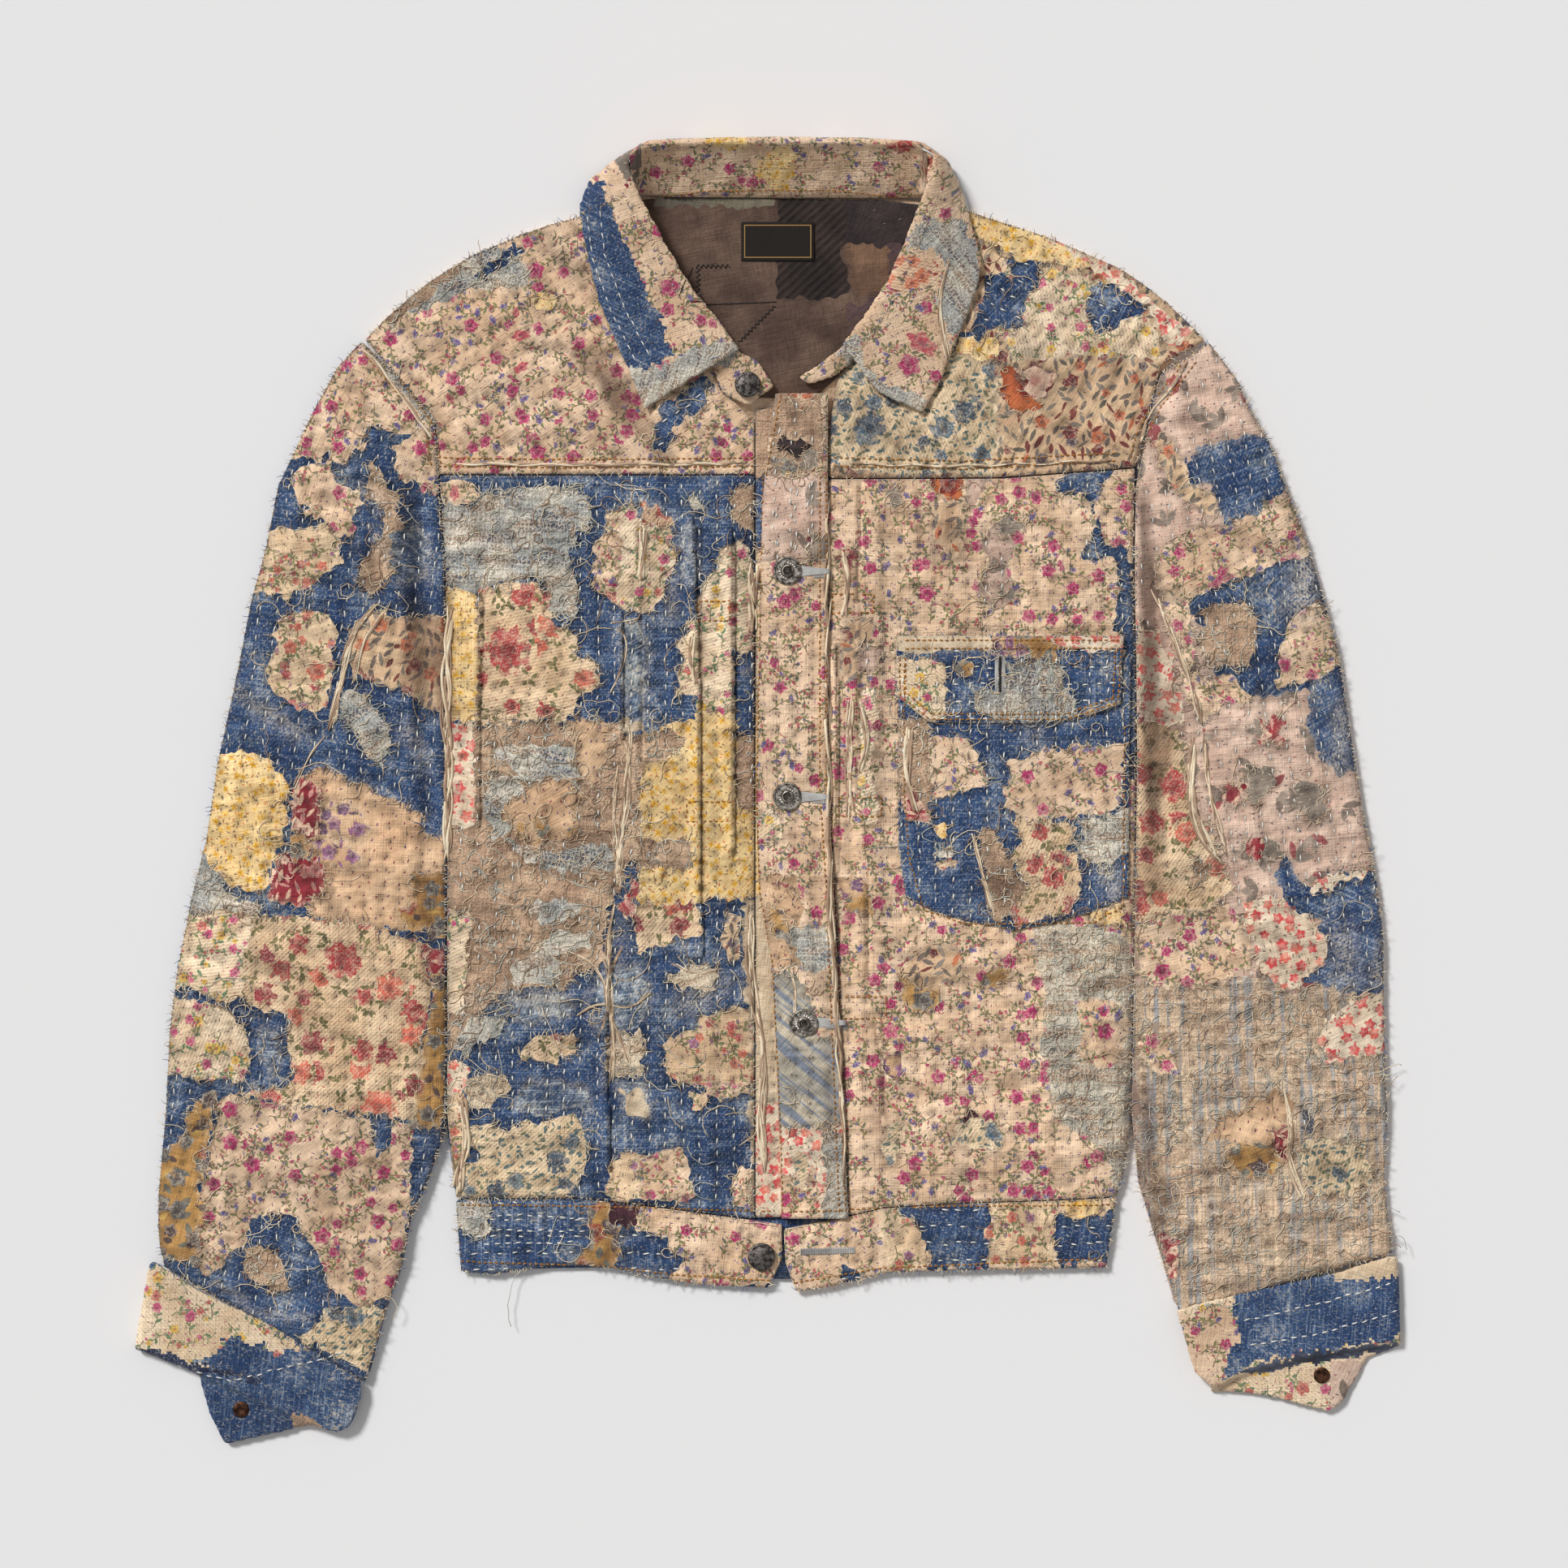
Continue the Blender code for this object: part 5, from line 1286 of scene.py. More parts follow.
# ---------------------------------------------------------------- the scraps of each panel
# Each panel's scraps from the lowest up: the cloth, then x and y in mm round its outline.
YOKE_RIGHT = scraps("""
gauze -236 290 -215 297 -198 303 -180 310 -165 311 -148 313 -146 322 -160 330 -172 345 -200 335 -225 310
taupe -240 292 -222 305 -205 322 -190 333 -184 330 -196 316 -212 303 -226 292
denim -184 316 -176 322 -166 333 -155 338 -150 334 -160 327 -172 318
yellow -146 307 -131 309 -130 298 -135 296 -147 300
denim -40 256 -31 251 -36 246 -38 236 -44 234 -50 232 -56 225 -60 215 -66 210 -72 211 -70 222 -66 230 -68
  238 -60 243 -50 248 -44 255
""")
FRONT_RIGHT = scraps("""
gauze -203 175 -196 178 -182 176 -176 183 -165 186 -150 188 -135 190 -122 188 -112 180 -110 172 -112 163
  -118 160 -120 152 -122 148 -121 140 -124 133 -130 129 -140 130 -150 133 -158 129 -170 128 -180 124 -186
  122 -198 130 -201 150
gauze -134 138 -122 136 -117 125 -117 112 -120 104 -126 108 -134 112 -137 125
floral -205 190 -190 193 -181 190 -179 182 -186 178 -200 178 -206 183
rose -178 124 -165 127 -150 130 -140 128 -135 118 -133 106 -125 100 -118 96 -116 84 -104 78 -103 66 -107 60
  -118 58 -122 48 -135 46 -155 43 -178 42 -179 60 -178 90
yellow -202 128 -180 125 -178 100 -178 44 -202 42 -204 80
ditsy -203 41 -180 41 -180 10 -181 -22 -203 -20 -204 10
twill -99 160 -91 163 -91 178 -83 180 -80 166 -76 164 -58 166 -62 152 -55 146 -57 138 -63 130 -66 118 -76
  110 -85 112 -97 118 -105 126 -107 140 -104 150 -106 158
floral -105 158 -99 160 -90 160 -90 130 -95 122 -107 127 -107 145
twill -99 172 -95 176 -91 174 -91 162 -99 162
redtwill -79 178 -70 178 -58 170 -62 164 -78 163
faded -90 104 -78 104 -75 80 -77 60 -78 45 -89 45 -90 80
cream -90 44 -77 45 -76 38 -88 36
faded -52 164 -47 164 -45 140 -46 126 -53 130
twill -24 150 -17 154 -11 150 -9 140 -9 90 -11 86 -20 88 -21 84 -20 50 -44 50 -45 62 -56 62 -57 74 -51 80
  -56 92 -50 98 -51 104 -43 105 -42 118 -38 133 -33 135 -30 146
denim -21 88 -10 84 -11 76 -20 76
gauze -50 184 -42 180 -38 176 -48 174
taupe -22 188 -8 190 -8 160 -18 165 -22 175
taupe -180 40 -160 42 -130 44 -120 45 -105 44 -92 44 -88 36 -78 30 -80 -40 -88 -45 -90 -52 -94 -60 -98 -75
  -100 -88 -100 -100 -110 -108 -120 -112 -128 -120 -150 -120 -162 -122 -172 -130 -180 -140 -207 -168 -207
  -20 -181 -22 -180 10
gauze -172 10 -150 10 -150 0 -162 -10 -160 -22 -170 -30 -175 -10
gauze -165 -25 -150 -33 -130 -38 -110 -30 -95 -35 -95 -48 -130 -48 -150 -42
gauze -170 28 -130 30 -110 20 -120 10 -150 8
gauze -150 -72 -140 -66 -115 -66 -115 -75 -140 -80
gauze -158 -105 -130 -84 -108 -84 -110 -95 -128 -100 -130 -118 -158 -118
dotted -160 -5 -150 0 -148 5 -120 10 -118 2 -112 -3 -118 -12 -116 -25 -125 -30 -145 -32 -158 -24 -162 -14
dotted -120 45 -95 44 -100 20 -105 5 -118 10
mustard -158 -16 -152 -18 -151 -25 -156 -25
mustard -146 -14 -142 -18 -135 -22 -136 -30 -142 -30
mustard -127 -20 -118 -22 -122 -28
yellow -76 38 -60 42 -45 46 -44 50 -20 50 -20 36 -5 36 -5 -63 -20 -66 -40 -66 -45 -68 -80 -70 -80 -50 -76
  -42 -80 -30 -78 10 -80 30
taupe -75 36 -60 40 -48 34 -55 25 -70 18 -80 14 -80 30
taupe -80 -28 -64 -30 -46 -30 -46 -46 -62 -48 -72 -44 -80 -46
taupe -20 36 -5 36 -5 -8 -18 -10 -20 10
maroon -87 -50 -81 -56 -81 -64 -85 -66 -82 -78 -86 -80 -90 -68 -88 -60
rose -83 -68 -66 -68 -45 -68 -42 -76 -42 -88 -52 -90 -68 -94 -77 -98 -80 -100 -82 -85
leafprint -27 -76 -18 -74 -17 -95 -17 -105 -24 -102 -28 -90
creamnet -55 -110 -40 -105 -30 -112 -32 -122 -55 -120 -65 -115
twill -207 -70 -183 -72 -184 -100 -188 -135 -207 -135
rose -153 -156 -145 -150 -130 -148 -118 -150 -116 -156 -122 -164 -135 -167 -150 -164
meadow -62 -152 -50 -146 -36 -136 -18 -130 -6 -136 -6 -160 -6 -178 -32 -180 -55 -180 -62 -172 -64 -160
floral -40 -180 -14 -178 -6 -186 -38 -188
meadow -50 -183 -38 -185 -38 -193 -46 -194
creamnet -98 -150 -78 -148 -77 -170 -88 -176 -98 -170
faded -89 -178 -76 -178 -74 -198 -86 -200 -90 -190
taupe -182 -176 -165 -176 -168 -190 -180 -188
ditsy -205 -165 -185 -166 -184 -185 -205 -185
meadow -205 -186 -186 -186 -184 -215 -188 -252 -205 -252
teal -184 -207 -165 -206 -145 -203 -130 -200 -122 -198 -118 -205 -110 -212 -111 -222 -113 -236 -120 -240
  -123 -250 -160 -253 -190 -253 -194 -240 -188 -228 -175 -226 -184 -215
floral -81 -224 -60 -220 -53 -219 -48 -232 -46 -254 -62 -252 -80 -250 -80 -238
meadow -98 -230 -88 -222 -81 -222 -80 -250 -90 -254 -98 -250 -99 -240
floral -20 -232 -10 -230 -4 -235 -4 -258 -20 -256 -22 -245
faded -104 -110 -78 -106 -72 -128 -80 -146 -104 -150 -112 -132
cream -89 -184 -77 -182 -76 -198 -87 -200
creamnet -186 -176 -158 -172 -160 -184 -172 -196 -184 -192
faded -150 -178 -112 -182 -110 -194 -140 -198 -156 -190
faded -165 -126 -124 -124 -122 -136 -146 -142 -168 -136
gauze -186 -140 -160 -136 -166 -150 -186 -160 -196 -156
cream -16 -66 2 -66 2 -258 -10 -258 -10 -150 -14 -120
mustard -4 -96 2 -96 2 -128 -4 -128
ditsy -8 -200 2 -200 2 -258 -8 -258
""")
PLACKET_RIGHT = scraps("""
twill -12 150 40 150 40 50 -12 50
yellow -12 50 40 50 40 -63 -12 -63
cream -12 -63 40 -63 40 -190 -12 -190
ditsy -12 -190 40 -190 40 -262 -12 -262
taupe -12 250 40 250 40 196 -12 196
""")
PLACKET_LEFT = scraps("""
taupe 2 250 30 252 33 245 33 205 0 205
redtwill 10 250 28 248 28 240 18 236 12 242
charcoal 4 212 10 208 25 210 30 214 25 218 14 217 6 219
mustard 0 204 20 206 20 198 0 197
slate 20 210 30 210 30 198 21 198
mauve -6 196 32 196 38 190 38 150 32 146 20 140 -8 145
slate 25 160 38 158 38 140 27 144
twill -8 -12 8 -12 8 -28 -8 -28
dotted -8 -50 20 -50 20 -107 -4 -107
mustard 0 -70 10 -72 12 -80 16 -95 10 -92 4 -84
maroon 4 -55 14 -58 12 -62
gauze 14 -82 40 -84 42 -105 30 -112 22 -108 15 -95
striped 2 -112 12 -110 24 -118 26 -130 30 -150 44 -150 47 -160 48 -200 44 -205 6 -206 2 -160
ditsy 5 -206 52 -206 54 -266 5 -266
floral 5 -236 30 -232 32 -266 5 -266
teal 17 -222 28 -222 22 -246 17 -240
gauze 33 -206 46 -210 54 -220 54 -266 34 -262 36 -240
""")
FRONT_LEFT = scraps("""
orange 101 196 122 196 119 181 112 180 101 188
leafprint 101 180 119 180 120 150 112 144 104 152
mauve 122 195 135 197 130 184 126 172 122 180
mauve 139 166 152 166 150 150 148 140 151 128 146 115 134 114 130 124 136 140 133 155 136 162
slate 140 168 156 168 154 161 148 157 141 162
slate 143 122 149 128 152 122 150 118
slate 73 187 82 187 83 178 79 173 74 180
maroon 46 150 55 150 52 135 48 130
leafprint 47 105 65 107 64 96 58 86 56 72 48 68 44 80 46 92
mauve 56 92 70 90 72 80 66 72 56 76
twill 58 64 66 64 68 50 64 20 66 0 70 -15 60 -20 56 10
denim 176 194 186 199 200 202 212 200 216 196 206 192 202 180 203 170 208 160 206 152 214 150 222 152 224
  140 225 120 228 100 229 60 228 20 229 8 222 8 220 40 219 60 218 80 219 98 213 100 214 118 216 136 214 146
  205 142 195 145 192 150 200 156 202 165 199 178 195 186 186 186 178 184
leafprint 83 -105 95 -95 105 -92 118 -98 120 -112 108 -118 104 -122 94 -118 80 -112
mustard 80 -112 95 -118 104 -122 106 -130 95 -136 84 -130
mustard 140 -108 150 -110 149 -118 140 -120 132 -118 136 -112
palegauze 165 -80 200 -82 222 -90 230 -110 232 -150 228 -200 226 -240 215 -245 208 -220 190 -208 178 -200
  172 -180 170 -150 172 -125 165 -105
floral 190 -128 215 -125 222 -140 220 -165 205 -172 192 -168 192 -145
violet 73 -160 80 -160 84 -168 78 -176 73 -172
violet 45 -52 58 -50 62 -62 52 -70 44 -64
mustard 50 -62 62 -62 66 -72 56 -76 46 -72
teal 118 -202 140 -200 146 -210 144 -220 132 -218 120 -216 112 -215 116 -208
teal 73 -205 86 -203 80 -212 78 -232 74 -234 72 -220
plum 116 -200 125 -194 132 -198 128 -201
yellow 198 -70 218 -70 218 -80 200 -80
""")
YOKE_LEFT = scraps("""
teal 24 270 33 205 60 198 100 196 138 196 142 235 140 266 100 268 60 268
twill 145 326 168 326 200 318 215 315 240 285 242 268 190 270 150 268 142 285
denim 147 332 168 327 165 312 158 300 155 287 140 288 120 275 118 282 128 290 135 320 148 318
yellow 126 372 216 320 200 322 168 328 147 332 130 344 120 360
ditsy 150 360 180 346 216 322 244 296 262 284 250 274 235 295 205 322 170 344
denim 200 314 215 312 235 297 215 290 205 280 198 288 195 300
yellow 117 280 142 282 142 268 115 268
maroon 150 262 166 263 178 256 172 246 158 245 151 252
orange 143 262 156 260 160 246 170 240 172 236 150 236 144 246
""")
POCKET = scraps("""
taupe 78 48 98 45 100 30 100 -18 86 -14 78 10
maroon 82 -2 90 2 96 -6 99 -18 86 -14
floral 100 33 112 36 122 34 128 24 134 10 132 2 120 0 101 -5
floral 148 20 165 24 185 28 219 30 219 -5 212 -14 180 -16 155 -18 146 -8 144 0 150 8
yellow 102 -19 110 -20 112 -26 105 -28
gauze 104 -36 114 -34 116 -42 106 -42
redtwill 104 -44 116 -42 117 -47 106 -48
taupe 128 -20 138 -25 148 -38 155 -50 160 -60 150 -72 143 -80 138 -78 135 -60 133 -45 130 -30
rose 150 -18 175 -18 190 -20 186 -35 192 -45 191 -60 190 -72 178 -76 152 -83 150 -70 162 -58 156 -48 150 -34
  158 -28
gauze 195 -20 222 -10 222 -38 205 -44 190 -38
""")
POCKET_FLAP = scraps("""
cream 76 100 137 100 137 88 76 86
violet 137 99 150 99 160 96 165 84 150 84 138 84
mustard 148 99 165 99 178 92 178 82 165 80 160 90 150 92
ditsy 165 100 222 100 222 88 180 88
twill 76 83 110 82 109 70 109 55 109 46 98 41 76 58
mustard 112 78 125 80 130 76 115 72
gauze 127 60 145 65 150 80 170 84 182 80 182 65 188 58 186 46 150 46 128 50
cream 186 46 216 58 216 54 190 44
""")
WAIST_RIGHT = scraps("""
gauze -192 -250 -171 -250 -172 -268 -178 -275 -192 -270
mustard -112 -254 -100 -252 -98 -262 -92 -268 -92 -290 -100 -292 -118 -290 -110 -275 -112 -262
plum -99 -253 -78 -253 -78 -263 -85 -268 -92 -265 -98 -262
floral -78 -252 8 -258 10 -302 -30 -306 -60 -304 -62 -292 -55 -285 -62 -275 -72 -272 -82 -268
denim -90 -268 -72 -272 -60 -276 -52 -288 -62 -298 -90 -296
""")
WAIST_LEFT = scraps("""
floral 4 -262 70 -254 72 -296 4 -308
meadow 70 -254 95 -250 95 -265 100 -292 72 -298
denim 78 -258 95 -250 136 -250 135 -294 100 -294 95 -268 85 -262
meadow 136 -250 175 -250 180 -262 178 -293 136 -293
denim 176 -262 182 -255 205 -262 220 -250 220 -288 178 -292
yellow 182 -250 203 -249 203 -260 190 -264 183 -260
denim 44 -303 48 -292 52 -290 58 -300
""")
COLLAR = scraps("""
denim -119 372 -102 376 -97 360 -90 345 -82 325 -74 305 -66 290 -60 272 -68 264 -86 260 -95 275 -106 300
  -116 330 -120 350
gauze -86 262 -66 262 -50 270 -35 275 -20 278 -16 270 -30 262 -45 252 -60 245 -80 236 -90 242
yellow -42 402 -18 402 -10 395 -20 385 -35 392
yellow -4 392 10 390 14 378 12 370 0 372 -6 380
redtwill 74 398 96 398 108 390 92 378 80 376 76 385
slate -92 390 -85 395 -78 388 -76 376 -82 374 -88 382
maroon -88 374 -80 374 -84 368
gauze 95 350 120 352 128 335 131 310 125 290 118 280 110 285 104 300 110 320 108 330 95 335 84 332 86 345
gauze 42 272 55 282 58 262 75 250 96 246 97 234 80 236 60 250
redtwill 76 328 88 330 100 326 107 320 106 310 95 308 76 310 72 318
""")
COLLAR_BACK = scraps("""
yellow -44 422 -16 424 -12 406 -22 398 -36 404
yellow -4 400 12 404 18 392 12 372 0 374 -6 386
redtwill 72 424 98 424 98 398 84 392 76 404
slate -84 410 -78 414 -76 396 -84 388
""")
SLEEVE_RIGHT = scraps("""
floral -262 285 -204 240 -204 186 -214 189 -226 196 -230 206 -230 214 -222 218 -214 224 -222 222 -232 220
  -238 226 -244 228 -249 220 -249 210 -255 211 -262 204 -268 204 -272 212 -280 203 -287 210 -292 206 -295
  204 -304 204 -294 225 -275 262
gauze -250 280 -240 290 -232 284 -215 268 -205 248 -206 235 -212 228 -220 240 -232 255 -246 272
floral -293 200 -280 202 -272 205 -268 196 -262 190 -252 186 -250 178 -254 174 -253 164 -258 157 -266 160
  -276 166 -284 170 -284 176 -290 180 -293 190
meadow -307 162 -300 165 -290 162 -278 164 -268 160 -262 152 -264 143 -272 138 -278 132 -287 124 -296 120
  -308 121 -322 124 -320 140 -312 155
taupe -244 205 -238 200 -233 186 -226 181 -229 172 -224 163 -228 150 -232 135 -242 122 -250 126 -250 142
  -240 152 -235 162 -236 172 -246 180 -247 190
faded -232 160 -218 164 -208 150 -212 138 -225 128 -232 140
meadow -298 109 -285 113 -267 107 -265 96 -267 82 -270 67 -274 51 -280 49 -294 56 -307 64 -309 76 -305 87
  -303 98
leafprint -258 96 -247 111 -236 113 -232 107 -205 111 -196 108 -196 51 -204 51 -212 53 -223 63 -236 65 -245
  67 -256 74 -258 80
gauze -261 65 -245 56 -232 40 -234 29 -238 16 -245 20 -250 34 -258 43 -264 47
yellow -348 25 -320 25 -305 18 -296 7 -295 -10 -298 -28 -305 -41 -308 -59 -320 -60 -334 -55 -345 -44 -352
  -28 -350 7
gauze -350 -30 -342 -45 -335 -58 -320 -68 -310 -72 -330 -80 -366 -100 -362 -60 -356 -40
dotted -284 12 -278 16 -262 12 -246 4 -225 -8 -214 -12 -212 -24 -196 -26 -196 -78 -215 -84 -240 -84 -270 -78
  -285 -72 -284 -40 -290 -10 -290 4
maroon -293 2 -285 7 -276 4 -274 -6 -278 -16 -274 -24 -284 -28 -295 -22 -292 -10
maroon -308 -66 -302 -36 -294 -38 -290 -46 -286 -40 -278 -38 -272 -46 -276 -64 -290 -70
mustard -292 -26 -284 -26 -285 -40 -290 -44 -295 -36
violet -279 -4 -268 -6 -256 -8 -246 -20 -250 -30 -262 -30 -274 -26
violet -282 -30 -270 -30 -258 -34 -250 -44 -262 -50 -274 -44
mustard -220 -50 -196 -50 -196 -88 -212 -86 -222 -84 -230 -72 -218 -70 -220 -60
maroon -236 -84 -225 -88 -215 -88 -226 -92
maroon -212 -92 -198 -95 -200 -118 -208 -112
twill -360 -75 -330 -72 -312 -76 -318 -95 -325 -110 -322 -125 -335 -128 -352 -122 -366 -118
rose -316 -76 -285 -76 -260 -80 -232 -86 -213 -92 -208 -120 -212 -150 -212 -175 -216 -200 -240 -200 -262
  -196 -290 -192 -318 -187 -335 -186 -320 -183 -295 -180 -294 -170 -296 -160 -294 -140 -310 -133 -318 -130
  -325 -118 -326 -105
denim -370 -119 -352 -120 -345 -127 -335 -131 -340 -126 -352 -124 -370 -124
twill -370 -126 -352 -127 -340 -131 -327 -137 -322 -150 -321 -165 -323 -177 -345 -176 -374 -173 -374 -150
denim -328 -134 -318 -138 -310 -134 -300 -136 -294 -145 -296 -160 -292 -175 -300 -182 -320 -178 -335 -180
  -322 -176 -321 -150
faded -314 -146 -302 -146 -300 -166 -308 -172 -315 -162
denim -377 -172 -345 -178 -337 -182 -350 -186 -358 -200 -362 -216 -380 -216
mustard -350 -186 -338 -182 -343 -200 -347 -220 -350 -240 -348 -260 -350 -290 -364 -288 -384 -285 -384 -260
  -382 -235 -378 -218 -362 -216 -358 -200
floral -337 -185 -318 -189 -290 -193 -262 -198 -240 -202 -216 -202 -220 -230 -222 -260 -226 -290 -230 -312
  -250 -316 -262 -312 -275 -300 -350 -298 -349 -260 -346 -225 -340 -200
denim -246 -197 -235 -198 -230 -206 -232 -216 -240 -226 -244 -218 -244 -206
denim -318 -262 -305 -258 -292 -260 -286 -270 -278 -282 -272 -294 -270 -312 -274 -322 -295 -326 -310 -322
  -325 -312 -345 -298 -335 -286 -322 -278
taupe -322 -282 -315 -278 -305 -282 -298 -290 -296 -304 -305 -310 -318 -300 -322 -290
teal -272 -318 -250 -316 -232 -318 -234 -340 -250 -358 -262 -350 -278 -342 -290 -335 -280 -328
mustard -199 -110 -206 -112 -213 -175 -220 -205 -203 -208 -196 -170 -196 -120
""")
SLEEVE_LEFT = scraps("""
denim 258 204 264 212 272 217 285 218 300 222 310 220 316 205 320 192 318 182 308 180 300 172 292 168 285
  160 280 163 279 180 272 190 262 190
leafprint 258 200 262 190 272 186 278 178 275 170 260 178 248 190 240 205 235 218 250 216
floral 243 150 262 162 280 162 292 168 303 174 316 182 326 180 337 150 338 142 318 142 305 134 290 128 270
  122 250 118 241 122 238 140
denim 262 122 275 126 300 136 315 143 339 145 346 118 351 100 356 80 356 60 285 60 276 75 262 115
taupe 268 112 280 118 295 116 300 108 301 90 298 80 285 78 270 80 266 95
floral 322 108 340 118 352 100 356 80 345 72 328 70 318 64 312 66 316 82 318 98
floral 262 75 275 70 285 74 292 68 295 60 300 55 285 50 268 44 258 60 254 80
ditsy 224 105 243 100 250 80 255 60 256 45 247 40 235 42 224 60
floral 243 118 252 95 258 75 262 50 262 120
rose 224 45 247 40 255 40 258 10 262 -10 275 -30 282 -45 285 -60 268 -72 224 -80
taupe 262 -40 275 -45 270 -55 258 -58
mauve 268 48 300 56 322 62 330 68 334 60 332 40 338 20 345 12 366 14 370 0 372 -40 345 -46 328 -55 322 -48
  310 -42 290 -42 280 -30 272 -10 265 10 268 30
maroon 300 52 306 40 312 47 321 45 316 36 320 28 310 32 301 30 304 40
maroon 282 10 288 4 295 8 292 -6 284 -8 280 0
slate 296 12 306 18 312 10 308 -2 300 -8 295 0
slate 324 4 334 8 344 0 342 -14 334 -19 326 -10
maroon 295 -28 306 -26 308 -34 300 -42 293 -38
slate 306 -28 318 -30 316 -40 306 -42
denim 334 70 345 72 356 74 362 40 365 14 348 12 340 20 333 40 334 58
denim 318 -42 326 -44 328 -55 340 -60 345 -50 372 -44 376 -60 383 -90 384 -120 360 -124 340 -118 330 -115
  335 -110 345 -105 342 -90 340 -78 328 -75 322 -68 315 -60 310 -50
ditsy 292 -68 305 -62 318 -65 322 -72 335 -78 342 -84 345 -100 338 -108 330 -116 318 -120 305 -112 298 -95
  292 -80
ditsy 332 -58 345 -52 372 -45 370 -50 350 -56 338 -62
ditsy 358 -130 372 -124 384 -122 386 -160 345 -165 338 -150 345 -138
floral 228 -80 268 -72 285 -68 292 -85 298 -105 290 -112 278 -118 262 -120 245 -118 228 -115
streaked 222 -116 245 -119 262 -121 280 -118 300 -112 320 -121 340 -119 358 -125 390 -124 400 -330 240 -340
ditsy 358 -130 372 -124 384 -122 388 -160 345 -165 338 -150 345 -138
dotted 278 -200 290 -195 302 -188 315 -182 322 -190 322 -205 324 -218 318 -228 312 -234 298 -238 285 -238
  278 -228 284 -216 274 -215 274 -205
mustard 280 -226 290 -214 310 -216 316 -228 310 -236 292 -238
maroon 310 -206 320 -202 323 -216 318 -226 311 -216
teal 330 -214 345 -212 365 -216 370 -225 374 -240 370 -246 350 -248 335 -246 330 -235 326 -225
navy 328 -192 335 -195 336 -208 330 -210
maroon 240 -272 252 -272 254 -285 250 -298 244 -300 243 -285
floral 228 -150 245 -148 250 -165 258 -172 240 -175 230 -165
yellow 246 268 262 284 268 280 252 262
""")
CUFF_RIGHT = scraps("""
twill -386 -290 -360 -300 -345 -306 -330 -314 -300 -328 -288 -340 -292 -344 -305 -346 -310 -336 -318 -340
  -325 -334 -334 -335 -338 -346 -350 -348 -360 -352 -372 -349 -385 -345 -396 -342 -396 -320
cream -350 -350 -344 -352 -343 -358 -349 -356
navy -391 -340 -350 -352 -310 -360 -312 -364 -352 -357 -391 -345
taupe -292 -382 -285 -384 -270 -392 -275 -394 -290 -390
""")
CUFF_LEFT = scraps("""
floral 240 -325 262 -320 285 -312 288 -330 294 -335 293 -345 285 -350 278 -362 270 -376 250 -362
denim 286 -306 340 -296 392 -290 396 -325 388 -335 350 -342 300 -350 280 -362 285 -345 290 -335
cream 340 -294 360 -292 390 -280 396 -296 370 -300 350 -302
satin 288 -357 310 -350 345 -343 386 -338 392 -342 365 -348 330 -352 300 -358
mauve 346 -352 392 -346 392 -392 348 -392
""")
LINING = scraps("""
greygreen -70 362 5 362 5 390 -70 390
charcoal 6 338 102 338 110 390 6 390
ribbed 6 371 48 371 48 305 6 306
tan 50 338 75 338 76 310 50 309
dusk 75 338 110 338 100 270 50 260 48 300 76 308
""")

# Blooms that have their own place: x, y, radius, then which of the cloth's dyes.
BLOOMS = rows_of(4, """
-143 322 6 0.1, -183 288 5 0.1, -142 210 6 0.1, -195 306 4 0.2, -210 296 4 0.1, -167 268 5 0.2,
-93 260 5 0.1, -87 223 5 0.1, -64 262 5 0.1, -32 208 5 0.1, -155 296 4 0.9, -152 282 7 0.9, -152 262 6 0.9,
-196 243 4 0.9, -190 203 6 0.9, -192 278 4 0.6, -150 243 4 0.6, -141 230 4 0.6, -131 234 3 0.6,
-167 213 4 0.6, -175 203 4 0.6, -193 185 6 0.9, -161 88 16 0.1, -150 121 9 0.1, -134 103 8 0.6,
-113 70 7 0.6, -98 120 6 0.9, -54 -82 7 0.9, 155 185 5 0.1, 188 126 5 0.1, 98 123 6 0.1, 161 109 5 0.1,
173 137 5 0.1, 157 -151 5 0.1, 65 -165 5 0.1, 105 -175 5 0.1, 160 -230 5 0.1, 126 -235 5 0.1, 84 -237 5 0.1,
203 -224 5 0.1, 68 -68 5 0.1, 66 -115 5 0.1, 73 140 4 0.6, 160 -125 4 0.6, 133 -160 4 0.6, 123 -167 4 0.6,
125 -183 4 0.6, 62 225 12 0.1, 47 238 7 0.6, 65 241 6 0.1, 108 225 9 0.1, 120 235 8 0.6, 137 260 6 0.1,
216 -137 5 0.6, 208 -147 6 0.1, -262 -103 13 0.1, -280 -154 9 0.9, -310 -124 8 0.9, -288 -172 8 0.6,
-233 -120 10 0.6, -250 -158 8 0.1, -240 -193 12 0.6, -217 -180 7 0.9, -307 -188 8 0.1, -331 -195 6 0.1,
-331 -215 6 0.1, -317 -229 6 0.1, -341 -241 5 0.1, -274 -273 6 0.1, -284 -283 5 0.1, -250 -218 5 0.1,
-237 -234 5 0.1, -228 -278 5 0.1, -294 90 5 0.1, -278 75 7 0.1, 250 5 11 0.1, 237 -18 9 0.1, 258 -25 8 0.6,
260 -88 5 0.1, 243 -110 6 0.1, 258 -117 5 0.1, 95 276 12 0.9, 87 263 8 0.1, -60 310 7 0.1, 164 254 13 0.1,
112 190 8 0.1, 330 -367 5 0.9, 344 -368 4 0.1, 176 -52 8 0.1, 168 -24 6 0.1, 205 14 5 0.1, 160 10 5 0.1
""")


# ---------------------------------------------------------------- panels

